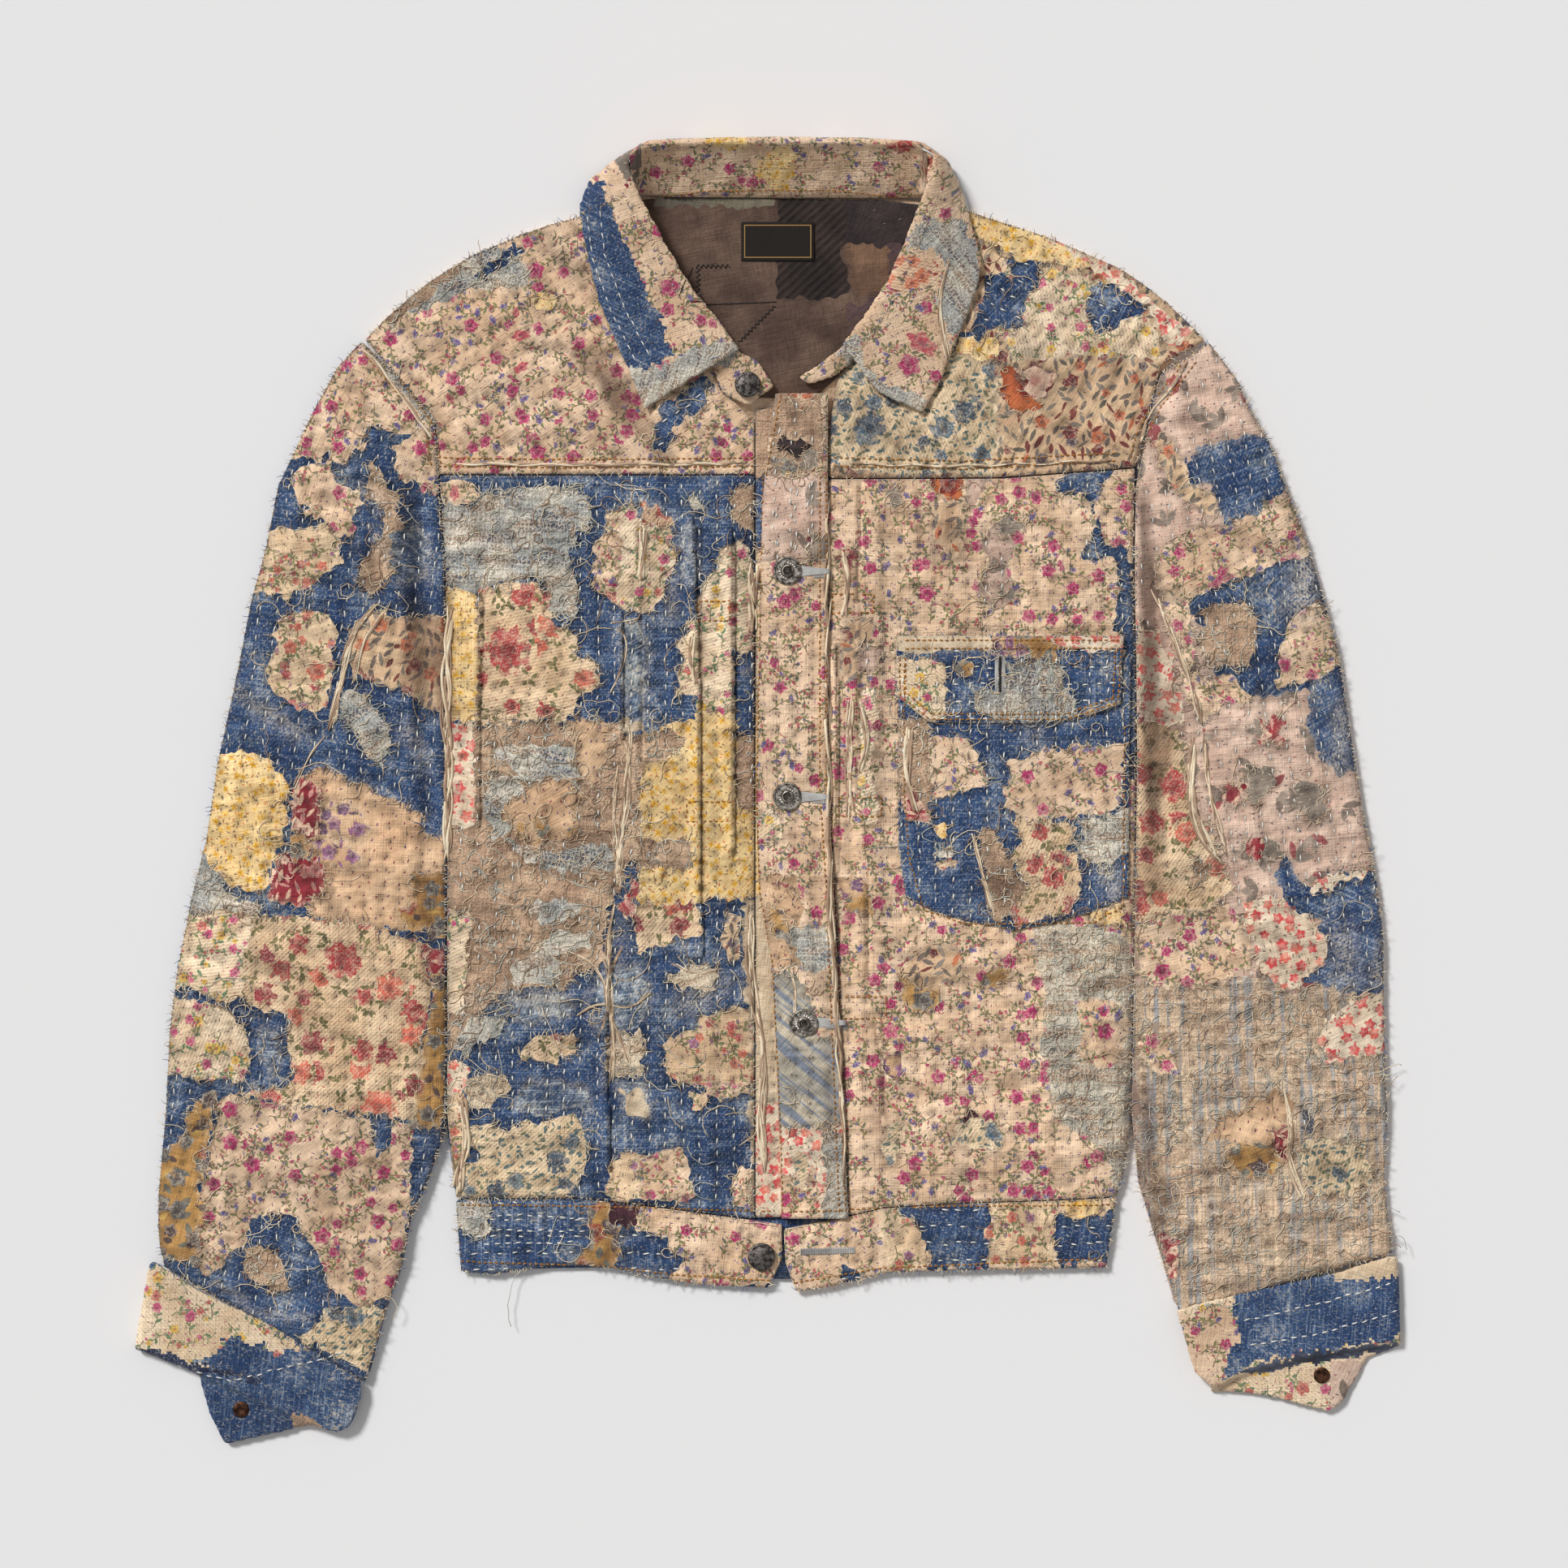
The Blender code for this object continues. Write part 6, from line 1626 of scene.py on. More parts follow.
OVER = ["placket_left", "pocket", "pocket_flap", "collar_leaf", "collar_stand", "neck_label",
        "front_button_1", "front_button_2", "front_button_3", "neck_button", "waist_button",
        "cuff_rivet_left", "cuff_rivet_right", "cuff_left", "cuff_right"]
SLEEVE_RIGHT_WAY = -1.677
SLEEVE_LEFT_WAY = -1.434
UPRIGHT = math.pi / 2

# piece, ground, scraps, thread direction, crumple in mm, solids of the scraps sewn on it
PANELS = [
    ("front_right", "denim", FRONT_RIGHT, UPRIGHT, 0.9,
     ["patch_gauze_right", "patch_rose_right", "patch_taupe_right", "patch_teal_right",
      "patch_twill_right", "patch_yellow_right"]),
    ("front_left", "floral", FRONT_LEFT, UPRIGHT, 0.85, ["patch_gauze_left"]),
    ("front_yoke_right", "floral", YOKE_RIGHT, 0.6, 0.9, []),
    ("front_yoke_left", "leafprint", YOKE_LEFT, -0.5, 0.95, []),
    ("placket_right", "denim", PLACKET_RIGHT, UPRIGHT, 0.4, []),
    ("placket_left", "floral", PLACKET_LEFT, UPRIGHT, 0.8, []),
    ("waistband_right", "denim", WAIST_RIGHT, 0.0, 0.9, []),
    ("waistband_left", "floral", WAIST_LEFT, 0.0, 0.9, []),
    ("pocket", "denim", POCKET, UPRIGHT, 0.7, []),
    ("pocket_flap", "denim", POCKET_FLAP, 0.0, 0.6, []),
    ("neck_lining", "lining", LINING, 0.2, 0.3, []),
    ("sleeve_right_top", "denim", SLEEVE_RIGHT, SLEEVE_RIGHT_WAY, 0.95,
     ["patch_magenta_sleeve_right", "patch_rose_sleeve_right", "patch_yellow_sleeve_right"]),
    ("sleeve_left_top", "mauve", SLEEVE_LEFT, SLEEVE_LEFT_WAY, 0.8,
     ["patch_gauze_sleeve_left", "patch_grey_sleeve_left", "patch_red_sleeve_left"]),
]
UNDERSIDES = [("back_body", "denim"), ("back_yoke", "floral"), ("waistband_back", "denim"),
              ("sleeve_right_under", "denim"), ("sleeve_left_under", "mauve")]
SPARE_CLOTHS = ["denim", "floral", "meadow", "rose", "twill", "faded", "gauze", "leafprint",
                "taupe", "ditsy", "denim", "dotted", "teal", "mustard"]


def roof_over(solid):
    """The underside of whatever lies over a panel, less a little air."""
    tree = solid_tree(*[n for n in OVER if n != solid])

    def height(x, y):
        low = np.full(x.shape, 1e3)
        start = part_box(solid)[0].z * 1000 + 1.0
        for at in np.ndindex(x.shape):
            hit = tree.ray_cast(Vector((x[at], y[at], start)), Vector((0, 0, 1)))[0]
            if hit:
                low[at] = hit.z - 0.1
        return low

    return height


def random_scraps(low, high, rng):
    """Overlapping scraps for a side that is out of sight."""
    scraps = []
    for _ in range(int((high[0] - low[0]) * (high[1] - low[1]) / 5200) + 3):
        x, y = rng.uniform(low[0], high[0]), rng.uniform(low[1], high[1])
        wide, tall = rng.uniform(24, 70), rng.uniform(24, 80)
        turn = rng.normal(0, 0.25)
        ring = []
        for k in range(9):
            way = k * TAU / 9
            reach = rng.uniform(0.8, 1.1)
            px = wide * reach * math.copysign(abs(math.cos(way)) ** 0.6, math.cos(way))
            py = tall * reach * math.copysign(abs(math.sin(way)) ** 0.6, math.sin(way))
            ring += [x + px * math.cos(turn) - py * math.sin(turn),
                     y + px * math.sin(turn) + py * math.cos(turn)]
        scraps.append((SPARE_CLOTHS[rng.integers(len(SPARE_CLOTHS))], *ring))
    return scraps


pieces, covers = {}, {}
for number, (name, ground, scraps, way, rough, sewn) in enumerate(PANELS):
    cover = Cover(name + "_cloth", name, STEP)
    cover.lay(ground, scraps, way)
    cover.sew(way)
    cover.shape(rough, roof_over(name))
    pieces[name] = cover.build(way, seed=number + 1)
    covers[name] = cover
    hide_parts(name, *sewn)
for number, (name, ground) in enumerate(UNDERSIDES):
    cover = Cover(name + "_cloth", name, BACK_STEP, under=True)
    rng = np.random.default_rng(number + 40)
    low = (cover.xs[0], cover.ys[0])
    cover.lay(ground, random_scraps(low, (cover.xs[-1], cover.ys[-1]), rng), UPRIGHT)
    cover.stitches = []
    pieces[name] = cover.build(UPRIGHT, seed=number + 40)
    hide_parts(name)


# ---------------------------------------------------------------- collar and cuffs

def wrapped_plan(co):
    """Places on the flat cloth: down a steep side, the print goes on from the fold above."""
    cell = ((co[:, :2] - co[:, :2].min(0)) // 6).astype(int) + 1
    i, j = cell.T
    top = np.full((i.max() + 2, j.max() + 2), -99.0)
    np.maximum.at(top, (i, j), co[:, 2])
    above = np.max([top[i + a, j + b] for a in (-1, 0, 1) for b in (-1, 0, 1)], 0)
    drop = 0.7 * np.maximum(above - co[:, 2] - 4, 0)
    sideways = np.clip(co[:, 0] / 60, -1, 1)
    return np.stack([co[:, 0] - sideways * drop, co[:, 1] - drop], 1)


def thick_cloth(name, ground, scraps, way, seed, crumple):
    """A rounded, crumpled cloth form over a deep solid."""
    work = bmesh.new()
    work.from_mesh(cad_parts[name].data)
    bmesh.ops.remove_doubles(work, verts=work.verts, dist=1e-6)
    piece = new_piece(name + "_cloth", [(0, 0, 0)], [])
    work.to_mesh(piece.data)
    work.free()
    bpy.context.view_layer.objects.active = piece
    fill = piece.modifiers.new("fill", "REMESH")
    fill.mode = "VOXEL"
    fill.voxel_size = REMESH * MM
    bpy.ops.object.modifier_apply(modifier="fill")
    ease = piece.modifiers.new("ease", "SMOOTH")
    ease.factor, ease.iterations = 0.5, 8
    bpy.ops.object.modifier_apply(modifier="ease")
    mesh = piece.data
    co = read(mesh.vertices, "co") * 1000
    out = read(mesh.vertex_normals, "vector")
    x, y = co[:, 0] + co[:, 2] * 0.6, co[:, 1] - co[:, 2] * 0.4
    rise = crumple * (0.5 * noise(x, y, 19, seed) + 0.35 * (1 - 2 * np.abs(noise(x, y, 8, seed + 1)))
                      + 0.2 * noise(x, y, 3.4, seed + 2))
    co += out * rise[:, None]
    co[:, 2] = np.maximum(co[:, 2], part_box(name)[0].z * 1000)
    mesh.vertices.foreach_set("co", (co * MM).ravel())
    mesh.polygons.foreach_set("use_smooth", [True] * len(mesh.polygons))
    centre = read(mesh.polygons, "center") * 1000
    shown = patch_map(centre[:, 0], centre[:, 1], scraps)
    dress(piece, wrapped_plan(co), shown, [ground] + [s[0] for s in scraps], way, seed)
    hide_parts(name)
    return piece


pieces["collar_leaf"] = thick_cloth("collar_leaf", "floral", COLLAR, 0.3, 60, 0.9)
pieces["collar_stand"] = thick_cloth("collar_stand", "floral", COLLAR, 0.3, 61, 0.5)
pieces["cuff_right"] = thick_cloth("cuff_right", "denim", CUFF_RIGHT, -0.1, 62, 0.6)
pieces["cuff_left"] = thick_cloth("cuff_left", "twill", CUFF_LEFT, 0.1, 63, 0.6)


def collar_back():
    """The cloth of the collar's back, from the lining's edge up and over the fold."""
    tree = solid_tree("collar_leaf", "collar_stand")
    xs = np.arange(-84, 99.5, 1.7)
    low = np.interp(xs, [-84, -60, 0, 60, 99], [369.5, 367.6, 367.2, 367.2, 367])
    top = np.interp(xs, [-84, -78, -60, 60, 90, 99], [390, 397, 400, 400.5, 398, 388])
    rows = 24
    share = np.linspace(0, 1, rows)
    y = low[:, None] + (top - low)[:, None] * share
    x = np.broadcast_to(xs[:, None], y.shape).copy()
    z = np.full(y.shape, np.nan)
    for at in np.ndindex(y.shape):
        z[at] = plumb(tree, x[at], y[at], math.nan)
    for line in z:
        known = ~np.isnan(line)
        known[0], line[0] = True, 5.2
        line[:] = np.interp(share, share[known], line[known])
    for _ in range(2):
        z = (sum(beside(z, "edge")) + 2 * z) / 6
    z += 1.1 + 0.7 * (1 - 2 * np.abs(noise(x, y, 13, 31))) + 0.4 * noise(x, y, 4, 32)
    z = np.minimum(z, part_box("collar_leaf")[1].z * 1000 + 0.6)
    z[:, 0] = 5.6
    reach = np.hypot(np.diff(y, axis=1), np.diff(z, axis=1)).cumsum(axis=1)
    flat_y = y[:, :1] + np.concatenate([np.zeros((len(xs), 1)), reach], 1)
    top_side = np.stack([x, y, z], -1).reshape(-1, 3)
    under = top_side - (0, 0, 0.8)
    many = len(top_side)
    number = np.arange(many).reshape(len(xs), rows)
    quads = np.stack([number[:-1, :-1], number[1:, :-1], number[1:, 1:], number[:-1, 1:]], -1)
    quads = quads.reshape(-1, 4)
    ring = [*number[:, 0], *number[-1, 1:], *number[-2::-1, -1], *number[0, -2:0:-1]]
    walls = [[int(b), int(a), int(a) + many, int(b) + many] for a, b in zip(ring, ring[1:] + ring[:1])]
    faces = quads.tolist() + (quads[:, ::-1] + many).tolist() + walls
    piece = new_piece("collar_back_cloth", np.concatenate([top_side, under]) * MM, faces)
    plan = np.stack([x, flat_y], -1).reshape(-1, 2)
    centre = plan[quads].mean(1)
    shown = np.concatenate([patch_map(centre[:, 0], centre[:, 1], COLLAR_BACK),
                            np.full(len(quads) + len(walls), -1)])
    dress(piece, np.concatenate([plan, plan]), shown, ["floral"] + [s[0] for s in COLLAR_BACK],
          0.05, 64)
    return piece


pieces["collar_back"] = collar_back()
for piece in pieces.values():
    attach(piece, "root")


# ---------------------------------------------------------------- threads

def scene_tree():
    """All upper cloths as one surface in mm, for laying threads on."""
    co, faces = [], []
    for piece in pieces.values():
        mesh, start = piece.data, len(co)
        co += (read(mesh.vertices, "co") * 1000).tolist()
        faces += [[start + v for v in p.vertices] for p in mesh.polygons if len(p.vertices) < 5]
    return BVHTree.FromPolygons(co, faces)


tree = scene_tree()


def surface(x, y):
    return plumb(tree, x, y)


def tubes(name, paths, radius, material, sides=4):
    """Many short yarns as one mesh: paths is (yarns, points, 3) in mm, radius (yarns, points)."""
    paths = np.asarray(paths, float)
    many, rings = paths.shape[:2]
    radius = np.broadcast_to(np.asarray(radius, float), (many, rings))
    way = np.gradient(paths, axis=1)
    way /= np.maximum(np.linalg.norm(way, axis=2, keepdims=True), 1e-9)
    side = np.cross(way, (0, 0, 1.0))
    side /= np.maximum(np.linalg.norm(side, axis=2, keepdims=True), 1e-6)
    up = np.cross(side, way)
    turns = np.arange(sides) * TAU / sides + TAU / 8
    ring = (side[:, :, None] * np.cos(turns)[:, None] + up[:, :, None] * np.sin(turns)[:, None])
    co = (paths[:, :, None] + ring * radius[:, :, None, None]).reshape(-1, 3)
    base = (np.arange(many)[:, None, None] * rings + np.arange(rings - 1)[:, None]) * sides
    k = np.arange(sides)
    m = (k + 1) % sides
    quads = np.stack([base + k, base + m, base + sides + m, base + sides + k], -1).reshape(-1, 4)
    first = np.arange(many)[:, None] * rings * sides
    faces = quads.tolist() + (first + k[::-1]).tolist()
    faces += (first + (rings - 1) * sides + k).tolist()
    piece = new_piece(name, co * MM, faces)
    piece.data.materials.append(material)
    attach(piece, "root")
    return piece


WHITE_YARN = yarn_material("white_yarn", "eceae2", "ceccc6")
DULL_YARN = yarn_material("dull_yarn", "96847a", "605662")
GOLD_YARN = yarn_material("gold_yarn", "b87a28", "8c5a20")
CREAM_YARN = yarn_material("cream_yarn", "f0e2c6", "d6be9e")
BLUE_YARN = yarn_material("blue_yarn", "687c9e", "3c5076")
GREY_YARN = yarn_material("grey_yarn", "ceccbe", "a8a89e")
BLACK_YARN = yarn_material("black_yarn", "282020", "181416")
BROWN_YARN = yarn_material("brown_yarn", "bea084", "967a64")


def laid(x, y, way, length, lifts):
    """Points of a short stitch on the cloth, or None where it would hang over an edge."""
    row = []
    for t, lift in zip(np.linspace(-0.5, 0.5, len(lifts)), lifts):
        px, py = x + t * length * math.cos(way), y + t * length * math.sin(way)
        z = surface(px, py)
        if z is None:
            return None
        row.append((px, py, z + lift))
    heights = [p[2] for p in row]
    return row if max(heights) - min(heights) < 3 else None


def sewn_rows(name, stitches, wide, material):
    """Stitches given as (x, y, direction, length), joined as one mesh."""
    rows = [laid(x, y, way, length, (-0.3, 0.34, -0.3)) for x, y, way, length in stitches]
    rows = [r for r in rows if r]
    return tubes(name, rows, [wide * 0.75, wide, wide * 0.75], material, 3)


running = [s for cover in covers.values() for s in cover.stitches]
sewn_rows("running_stitches", [s[:4] for s in running if s[4]], 0.54, WHITE_YARN)
sewn_rows("dull_stitches", [s[:4] for s in running if not s[4]], 0.32, DULL_YARN)

# Long white hand stitches on the denim of the collar, cuffs and waistband.
HAND_ROWS = lines_of(0, """
-111 356 -108 330 -97 298 -80 264
-103 358 -100 330 -88 298 -71 266
292 -325 335 -316 385 -302
296 -341 340 -333 388 -319
-188 -262 -150 -260 -112 -263
-188 -269 -112 -270
-176 -278 -116 -277
-372 -352 -330 -362 -262 -345
""")
hand = []
rng = np.random.default_rng(5)
for (line,) in HAND_ROWS:
    for x, y, way in zip(*along_line(line, 6.4)):
        hand.append((x, y + rng.normal(0, 0.4), way + rng.normal(0, 0.08), rng.uniform(3.6, 4.8)))
sewn_rows("hand_stitches", hand, 0.5, WHITE_YARN)

# Black machine zigzag and darning lines in the neck lining: how wide it swings, then the line.
ZIGZAGS = lines_of(1, """
1.3 -45 325 -22 325
1.3 -43 325 -43 303
0 -48 301 6 303
1 5 301 -18 278
0 -46 325 -55 303
""")
darn = []
for swing, line in ZIGZAGS:
    spots = list(zip(*along_line(line, 1.5)))
    for (x0, y0, way), (x1, y1, _) in zip(spots[:-1], spots[1:]):
        side = swing if len(darn) % 2 else -swing
        row = [(x0 - side * math.sin(way), y0 + side * math.cos(way)),
               (x1 + side * math.sin(way), y1 - side * math.cos(way))]
        row = [(x, y, surface(x, y)) for x, y in row]
        if all(p[2] for p in row):
            darn.append([(x, y, z + 0.3) for x, y, z in row])
tubes("lining_zigzag", darn, 0.3, BLACK_YARN, 3)

# Golden seams: how many rows and how far apart, then the line.
TOPSTITCH = lines_of(2, """
2 5 -204 204 -120 203 -8 204
2 5 40 204 120 202 214 207
2 6 -246 272 -222 244 -208 224 -204 200
2 6 262 268 240 240 229 218 226 204
1 0 -3 195 -7 0 -5 -62 3 -106 8 -212 9 -260
2 4 34 196 34 0 38 -60 42 -160 46 -260
1 0 8 246 -1 196
1 0 -190 -254 -100 -255 4 -258
1 0 -190 -289 -100 -292 -60 -297 4 -301
1 0 12 -258 100 -255 213 -254
1 0 12 -303 70 -293 213 -287
1 0 84 80 84 0 87 -40 96 -72 122 -81 200 -80 219 -70 220 40
1 0 84 94 216 94
1 0 84 89 216 89
2 3.4 83 84 83 61 100 47 184 47 214 57 216 90
1 0 -66 368 -30 371 40 371 92 366
""")
BOXES = [(-43, 118, -23.5, 106), (-50, -5.5, -21.5, -17.5), (40, 122.5, 65, 111),
         (43.5, -3, 70, -14.5), (43.5, -125.5, 73, -139)]
for x0, y0, x1, y1 in BOXES:
    TOPSTITCH.append((1, 0, [(x0, y0), (x1, y0), (x1, y1), (x0, y1), (x0, y0)]))
gold = []
rng = np.random.default_rng(9)
for rows, apart, line in TOPSTITCH:
    for row in range(int(rows)):
        for x, y, way in zip(*along_line(line, 3.5)):
            off = (row - (rows - 1) / 2) * apart + rng.normal(0, 0.12)
            gold.append((x - off * math.sin(way), y + off * math.cos(way),
                         way + rng.normal(0, 0.06), 2.7))
sewn_rows("golden_topstitch", gold, 0.54, GOLD_YARN)

# Worked buttonholes: two rows of close stitches either side of a slit.
SLITS = [(19, 135, 39, 134), (19, -4, 39, -5), (29, -143, 49, -144), (20, -283, 54, -282),
         (143, 61, 143, 85)]
bars = []
for x0, y0, x1, y1 in SLITS:
    for x, y, way in zip(*along_line([(x0, y0), (x1, y1)], 0.75)):
        for side in (-1, 0, 1):
            bars.append((x - side * 1.1 * math.sin(way), y + side * 1.1 * math.cos(way),
                         way + math.pi / 2 + rng.normal(0, 0.16), 2.8 + rng.uniform(0, 0.8)))
HOLE_YARN = yarn_material("buttonhole_yarn", "cccac4", "9c9a98")
sewn_rows("buttonhole_stitches", bars, 0.36, HOLE_YARN)
cords = []
for x0, y0, x1, y1 in SLITS[:3]:
    top = surface(x1 - 5, y1 + 2) + 0.25
    for side in range(-4, 5):
        cords.append([(x, (y0 + y1) / 2 + 2 + side * (0.75 - 0.026 * (x - x0)), top)
                      for x in np.linspace(x0, x1 - 1, 8)])
tubes("buttonhole_cords", cords, 0.4, HOLE_YARN, 6)
cords = []
for out in (1.5, 2.2, 2.9):
    ring = [(-out, 25), (-out, 4), (-out * 0.7, 1), (0, -0.6), (out * 0.7, 1), (out, 4), (out, 25)]
    top = surface(138, 66) + 0.5
    cords.append([(143 + x, 60 + y - out * 0.5, top) for x, y in rounded_line(ring)])
tubes("flap_buttonhole_cords", cords, 0.4, HOLE_YARN, 6)

# Rolled seams, cords and bundles of pulled yarn: how many strands, their thickness, the line.
BUNDLES = lines_of(2, """
2 0.9 37 194 37 60 38 -60 44 -160 48 -250
1 0.8 -204 203 -120 202 -8 203
1 0.8 40 203 120 201 214 205
1 0.8 -250 274 -224 244 -207 216
1 0.8 262 270 240 240 228 214
2 1.5 -196 120 -198 60 -197 0 -199 -50
4 0.75 -12 -65 -8 -140 -2 -150 -4 -180 -3 -240
4 0.5 -85 40 -90 -30 -93 -60
3 0.45 -88 36 -84 0 -90 -24
1 0.45 -98 104 -86 96 -90 75 -97 60
1 0.45 -98 104 -78 108
2 1.5 -190 -188 -184 -215 -192 -248
4 0.5 -93 -60 -99 -100 -95 -140 -97 -182
3 0.42 -88 -92 -102 -118 -92 -150 -84 -170
2 0.42 -122 -140 -104 -128 -84 -134 -72 -122
2 0.42 -126 -96 -108 -104 -96 -124 -104 -152
2 0.4 -60 -104 -46 -112 -28 -108
3 0.5 -92 20 -96 -20 -90 -58
5 0.6 -240 118 -256 100 -262 75 -266 50 -270 38
3 0.5 -236 112 -250 92 -256 66
1 0.5 -270 38 -285 20 -292 0
2 1.4 262 38 258 0 272 -35 280 -45
1 1.1 268 38 272 0 283 -40
5 0.55 318 -182 322 -200 320 -225 330 -250
3 0.8 46 148 50 128 48 108
2 1.2 50 60 49 20 52 -20
2 1 58 60 60 34 58 8
3 0.5 14 -108 18 -122 16 -140
3 0.5 126 -24 132 -50 140 -78
4 0.9 85 40 86 10 90 -12
2 0.7 236 130 262 64 268 40
3 0.5 112 330 104 300 112 262
2 1.2 -78 164 -78 128
2 1.6 -10 142 -10 96
2 0.8 -46 100 -48 84 -44 66
""")
strands, thick = [], []
rng = np.random.default_rng(23)
for count, radius, line in BUNDLES:
    line = rounded_line(line)
    reach = np.concatenate([[0], np.cumsum(np.hypot(*(line[1:] - line[:-1]).T))])
    if radius > 1:
        count, radius = count * 2, radius * 0.62
    for k in range(int(count) * 2):
        row = []
        phase, start = rng.uniform(0, TAU), rng.uniform(0, 0.12) * reach[-1]
        side = (k / 2 - (count - 1) / 2) * radius * 1.5
        for t in np.linspace(start, reach[-1] * rng.uniform(0.88, 1), 26):
            x, y = np.interp(t, reach, line[:, 0]), np.interp(t, reach, line[:, 1])
            x += side * math.cos(t / 31 + phase / 3) + radius * 1.5 * math.sin(t / 8 + phase)
            y += 0.8 * radius * math.sin(t / 5 + phase)
            z = surface(x, y)
            row.append((x, y, (row[-1][2] if z is None else z + radius * 0.6) if row else z or 6))
        strands.append(row)
        wide = radius * (0.85 + 0.3 * np.sin(np.linspace(0, 9, 26) + phase))
        wide[[0, -1]] *= 0.4
        thick.append(wide)
tubes("yarn_bundles", strands[::2], thick[::2], CREAM_YARN, 5)
tubes("brown_bundles", strands[1::2], thick[1::2], BROWN_YARN, 5)
# a black yarn along the flap's buttonhole, as painted shadow in its opening
slit = [[(143, y, surface(143, y) + 0.35) for y in np.linspace(62, 84, 8)]]
tubes("flap_slit_painted_shadow", slit, 0.85, BLACK_YARN, 6)


def hair(x, y, way, length, rings, wander, lift, rng):
    """A loose thread that starts at a place and wanders off over the cloth."""
    row = []
    bend = rng.normal(0, wander)
    for k in range(rings):
        z = surface(x, y)
        if z is None:
            if k == 0:
                return None
            z = row[-1][2] - lift
        row.append((x, y, z + lift * (0.4 + math.sin(k * 1.3 + length) * 0.4 + 0.6)))
        bend = bend * 0.8 + rng.normal(0, wander)
        way += bend
        x += length / (rings - 1) * math.cos(way)
        y += length / (rings - 1) * math.sin(way)
    return row


YARN_OF = {"denim": ("blue", "cream"), "faded": ("blue", "cream"),
           "gauze": ("grey", "grey", "cream"), "palegauze": ("grey",), "taupe": ("brown", "cream"),
           "creamnet": ("cream",), "streaked": ("grey", "brown"), "dotted": ("cream", "brown")}
YARNS = {"blue": BLUE_YARN, "cream": CREAM_YARN, "grey": GREY_YARN, "brown": BROWN_YARN}
fringe = {name: [] for name in YARNS}
curls = {name: [] for name in YARNS}
loose = {name: [] for name in YARNS}
rng = np.random.default_rng(17)
for name, cover in covers.items():
    for x, y, way, fabric in cover.frays(rng):
        kinds = YARN_OF.get(fabric, ("cream", "cream", "brown"))
        yarn = kinds[rng.integers(len(kinds))]
        if rng.random() < 0.08:
            row = hair(x, y, way, rng.uniform(9, 30), 10, 0.42, 0.45, rng)
            if row:
                loose[yarn].append(row)
        x -= 0.8 * math.cos(way)
        y -= 0.8 * math.sin(way)
        row = hair(x, y, way, rng.uniform(2.2, 6.5), 3, 0.4, 0.4, rng)
        if row:
            fringe[yarn].append(row)
# torn hairs along the outer edge of the whole jacket
for name in ("front_right", "front_left", "front_yoke_right", "front_yoke_left", "waistband_right",
             "waistband_left", "sleeve_right_top", "sleeve_left_top", "pocket", "pocket_flap"):
    cover = covers[name]
    middle = cover.x[cover.used].mean(), cover.y[cover.used].mean()
    for i, j in zip(*np.nonzero(cover.rim)):
        if rng.random() > 0.42 * cover.step:
            continue
        x, y = cover.x[i, j], cover.y[i, j]
        i0, j0 = max(i - 2, 0), max(j - 2, 0)
        near = cover.used[i0:i + 3, j0:j + 3]
        way = math.atan2(y - cover.y[i0:i + 3, j0:j + 3][near].mean(),
                         x - cover.x[i0:i + 3, j0:j + 3][near].mean()) + rng.normal(0, 0.8)
        row = hair(x - math.cos(way), y - math.sin(way), way, rng.uniform(1.8, 5), 3, 0.4, 0.3, rng)
        if row:
            fringe[("cream", "cream", "grey", "blue", "brown")[rng.integers(5)]].append(row)
# pulled threads that run over the worn denim and tangle in the open gauze
for name in ("front_right", "front_left", "sleeve_right_top", "sleeve_left_top", "pocket",
             "front_yoke_left", "front_yoke_right", "pocket_flap", "waistband_right"):
    cover = covers[name]
    rows = int(cover.used.sum() * cover.step ** 2 / 34)
    for _ in range(rows):
        x, y = rng.uniform(cover.xs[2], cover.xs[-3]), rng.uniform(cover.ys[2], cover.ys[-3])
        fabric = cover.fabric_at(x, y)
        if fabric in ("gauze", "palegauze", "creamnet", "streaked", "taupe"):
            way = rng.choice((0, math.pi)) + rng.normal(0, 0.45)
            yarn = ("grey", "grey", "cream", "brown")[rng.integers(4)]
            row = hair(x, y, way, rng.uniform(7, 20), 8, 0.5, 0.35, rng)
            if row:
                curls[yarn].append(row)
            continue
        elif fabric in ("denim", "faded") and rng.random() < 0.05:
            yarn = ("cream", "cream", "grey")[rng.integers(3)]
            row = hair(x, y, rng.uniform(0, TAU), rng.uniform(14, 44), 10, 0.3, 0.4, rng)
        else:
            continue
        if row:
            loose[yarn].append(row)
for yarn, material in YARNS.items():
    tubes(yarn + "_fringe", fringe[yarn], [0.28, 0.23, 0.14], material, 3)
    if loose[yarn]:
        tubes(yarn + "_loose_threads", loose[yarn], 0.26, material, 3)
    if curls[yarn]:
        tubes(yarn + "_curls", curls[yarn], 0.27, material, 3)


# ---------------------------------------------------------------- buttons, rivets and label

RING_BUTTON = [(0.84, 0.0), (0.97, 0.1), (1.0, 0.3), (1.0, 0.5), (0.95, 0.72), (0.88, 0.78),
               (0.82, 0.66), (0.64, 0.64), (0.47, 0.68), (0.43, 0.84), (0.38, 0.97),
               (0.32, 1.0), (0.27, 0.9), (0.24, 0.6), (0.2, 0.34), (0.12, 0.34), (0.1, 0.52),
               (0.04, 0.6)]
DOME_BUTTON = [(0.84, 0.0), (0.97, 0.14), (1.0, 0.34), (0.97, 0.56), (0.86, 0.72), (0.78, 0.66),
               (0.7, 0.72), (0.5, 0.9), (0.3, 0.98), (0.1, 1.0)]
RIVET = [(0.9, 0.0), (1.0, 0.3), (0.96, 0.62), (0.8, 0.86), (0.5, 1.0), (0.4, 0.9), (0.15, 0.84)]


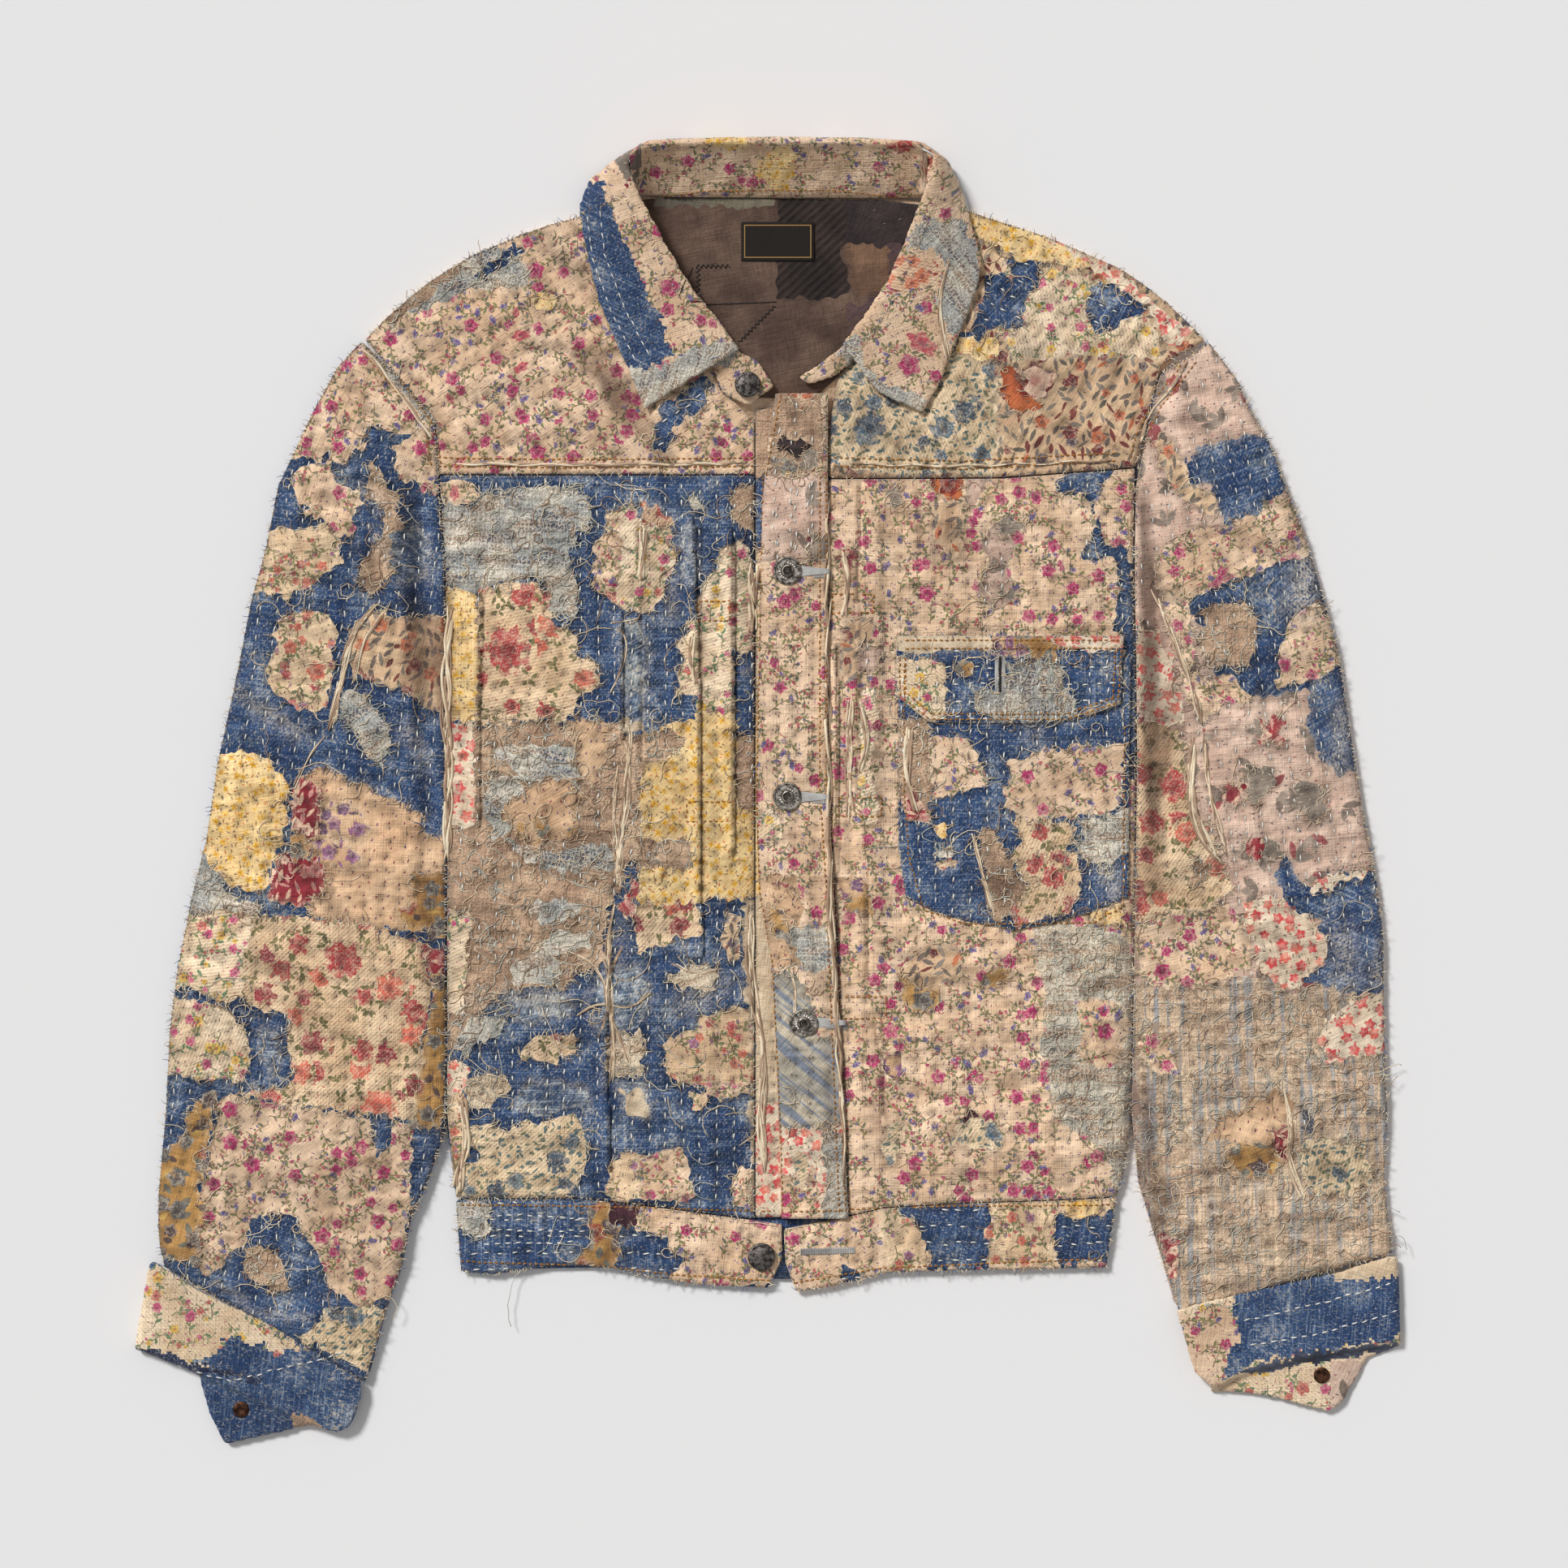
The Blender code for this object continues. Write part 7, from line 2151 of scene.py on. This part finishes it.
def turned_metal(name, solid, profile, material):
    """A round fastener drawn up ring by ring: each ring's share of the radius and height."""
    low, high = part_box(solid)
    middle = (low + high) / 2
    radius = (high.x - low.x) / 2
    depth = high.z - low.z
    bpy.ops.object.select_all(action="DESELECT")
    bpy.ops.mesh.primitive_circle_add(vertices=40, radius=radius * profile[0][0],
                                      fill_type="NGON", location=(middle.x, middle.y, low.z))
    piece = bpy.context.active_object
    piece.name = name
    bpy.ops.object.mode_set(mode="EDIT")
    bpy.ops.mesh.select_all(action="SELECT")
    size, height = profile[0]
    for share, rise in profile[1:]:
        bpy.ops.mesh.extrude_region_move(
            TRANSFORM_OT_translate={"value": (0, 0, (rise - height) * depth)})
        bpy.ops.transform.resize(value=(share / size, share / size, 1),
                                 center_override=(middle.x, middle.y, low.z + rise * depth))
        size, height = share, rise
    bpy.ops.object.mode_set(mode="OBJECT")
    bpy.ops.object.transform_apply(location=True, rotation=True, scale=True)
    for vertex in piece.data.vertices:
        off = math.hypot(vertex.co.x - middle.x, vertex.co.y - middle.y) / radius
        if profile is RING_BUTTON and 0.6 < off < 0.7:
            turn = math.atan2(vertex.co.y - middle.y, vertex.co.x - middle.x)
            vertex.co.z += 0.07 * depth * (1 if round(turn / TAU * 40) % 2 else -1)
    bpy.ops.object.shade_smooth_by_angle(angle=math.radians(50))
    piece.data.materials.append(material)
    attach(piece, "root")
    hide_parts(solid)
    return piece


for number in (1, 2, 3):
    turned_metal(f"front_button_{number}_metal", f"front_button_{number}", RING_BUTTON, STEEL)
turned_metal("neck_button_metal", "neck_button", DOME_BUTTON, DARK_STEEL)
turned_metal("waist_button_metal", "waist_button", DOME_BUTTON, DARK_STEEL)
for side in ("left", "right"):
    turned_metal(f"cuff_button_{side}_metal", f"cuff_button_{side}", DOME_BUTTON, STEEL)
    turned_metal(f"cuff_rivet_{side}_metal", f"cuff_rivet_{side}", RIVET, BROWN_METAL)


def label_material(middle, half):
    """Black woven label with one gold line round it."""
    r = Recipe("label_cloth")
    place = r.plan()
    x, y, _ = r.split(place)
    dx = r.less(r.math("ABSOLUTE", r.less(x, middle.x)), half.x)
    dy = r.less(r.math("ABSOLUTE", r.less(y, middle.y)), half.y)
    inset = r.times(r.math("MAXIMUM", dx, dy), -1000.0)
    line = r.times(r.span(inset, 1.7, 1.9), r.span(inset, 2.5, 2.3))
    weave = r.math("SINE", r.times(y, 9000.0))
    grain = r.cloud(place, (900, 2600, 100), 2)
    colour = r.mix(grain, tint("181514"), tint("2c2724"))
    colour = r.mix(line, colour, r.mix(grain, tint("b08c54"), tint("84643a")))
    r.put(Base_Color=colour, Roughness=0.8, Sheen_Weight=0.04, Specular_IOR_Level=0.15)
    r.put(Normal=r.bump(r.plus(weave, grain), 0.4, 0.00012))
    return r.material


cover = Cover("neck_label_cloth", "neck_label", 0.9)
cover.lay("cream", [], 0.0)
cover.stitches = []
label = cover.build()
low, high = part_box("neck_label")
label.data.materials.clear()
label.data.materials.append(label_material((low + high) / 2, (high - low) / 2))
pieces["neck_label"] = label
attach(label, "root")
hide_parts("neck_label")


# ---------------------------------------------------------------- floor, lamps and camera

def floor_material():
    r = Recipe("pale_floor")
    r.put(Base_Color=tint("e6e5e5"), Roughness=0.9)
    r.put(Specular_IOR_Level=0.1)
    return r.material


bpy.ops.mesh.primitive_plane_add(size=8)
floor = bpy.context.active_object
floor.name = "floor"
floor.data.materials.append(floor_material())

WORLD_LIGHT = 0.38
WORLD_SEEN = 0.775  # what the camera sees beyond the floor
SUN_STRENGTH, SUN_SIZE = 2.95, math.radians(13)
SUN_TURN = (math.radians(-34), math.radians(-38), 0)
LENS, FILM = 85, 36
VIEW = 0.966  # metres across the picture, at the height of the cloth
VIEW_CENTRE, CLOTH_HEIGHT = (0.01, 0.0055), 0.008

world = bpy.data.worlds.new("studio")
bpy.context.scene.world = world
world.use_nodes = True
background = world.node_tree.nodes["Background"]
background.inputs["Color"].default_value = (1, 1, 1, 1)
ray = world.node_tree.nodes.new("ShaderNodeLightPath")
level = world.node_tree.nodes.new("ShaderNodeMapRange")
level.inputs["To Min"].default_value = WORLD_LIGHT
level.inputs["To Max"].default_value = WORLD_SEEN
world.node_tree.links.new(ray.outputs["Is Camera Ray"], level.inputs["Value"])
world.node_tree.links.new(level.outputs[0], background.inputs["Strength"])
lamp = bpy.data.lights.new("window_lamp", "SUN")
lamp.energy = SUN_STRENGTH
lamp.angle = SUN_SIZE
lamp_object = bpy.data.objects.new("window_lamp", lamp)
lamp_object.rotation_euler = SUN_TURN
bpy.context.scene.collection.objects.link(lamp_object)

camera = bpy.data.cameras.new("camera")
camera.lens = LENS
camera.sensor_width = FILM
camera_object = bpy.data.objects.new("camera", camera)
camera_object.location = (*VIEW_CENTRE, VIEW * LENS / FILM + CLOTH_HEIGHT)
bpy.context.scene.collection.objects.link(camera_object)
bpy.context.scene.camera = camera_object
bpy.context.scene.view_settings.view_transform = "Standard"
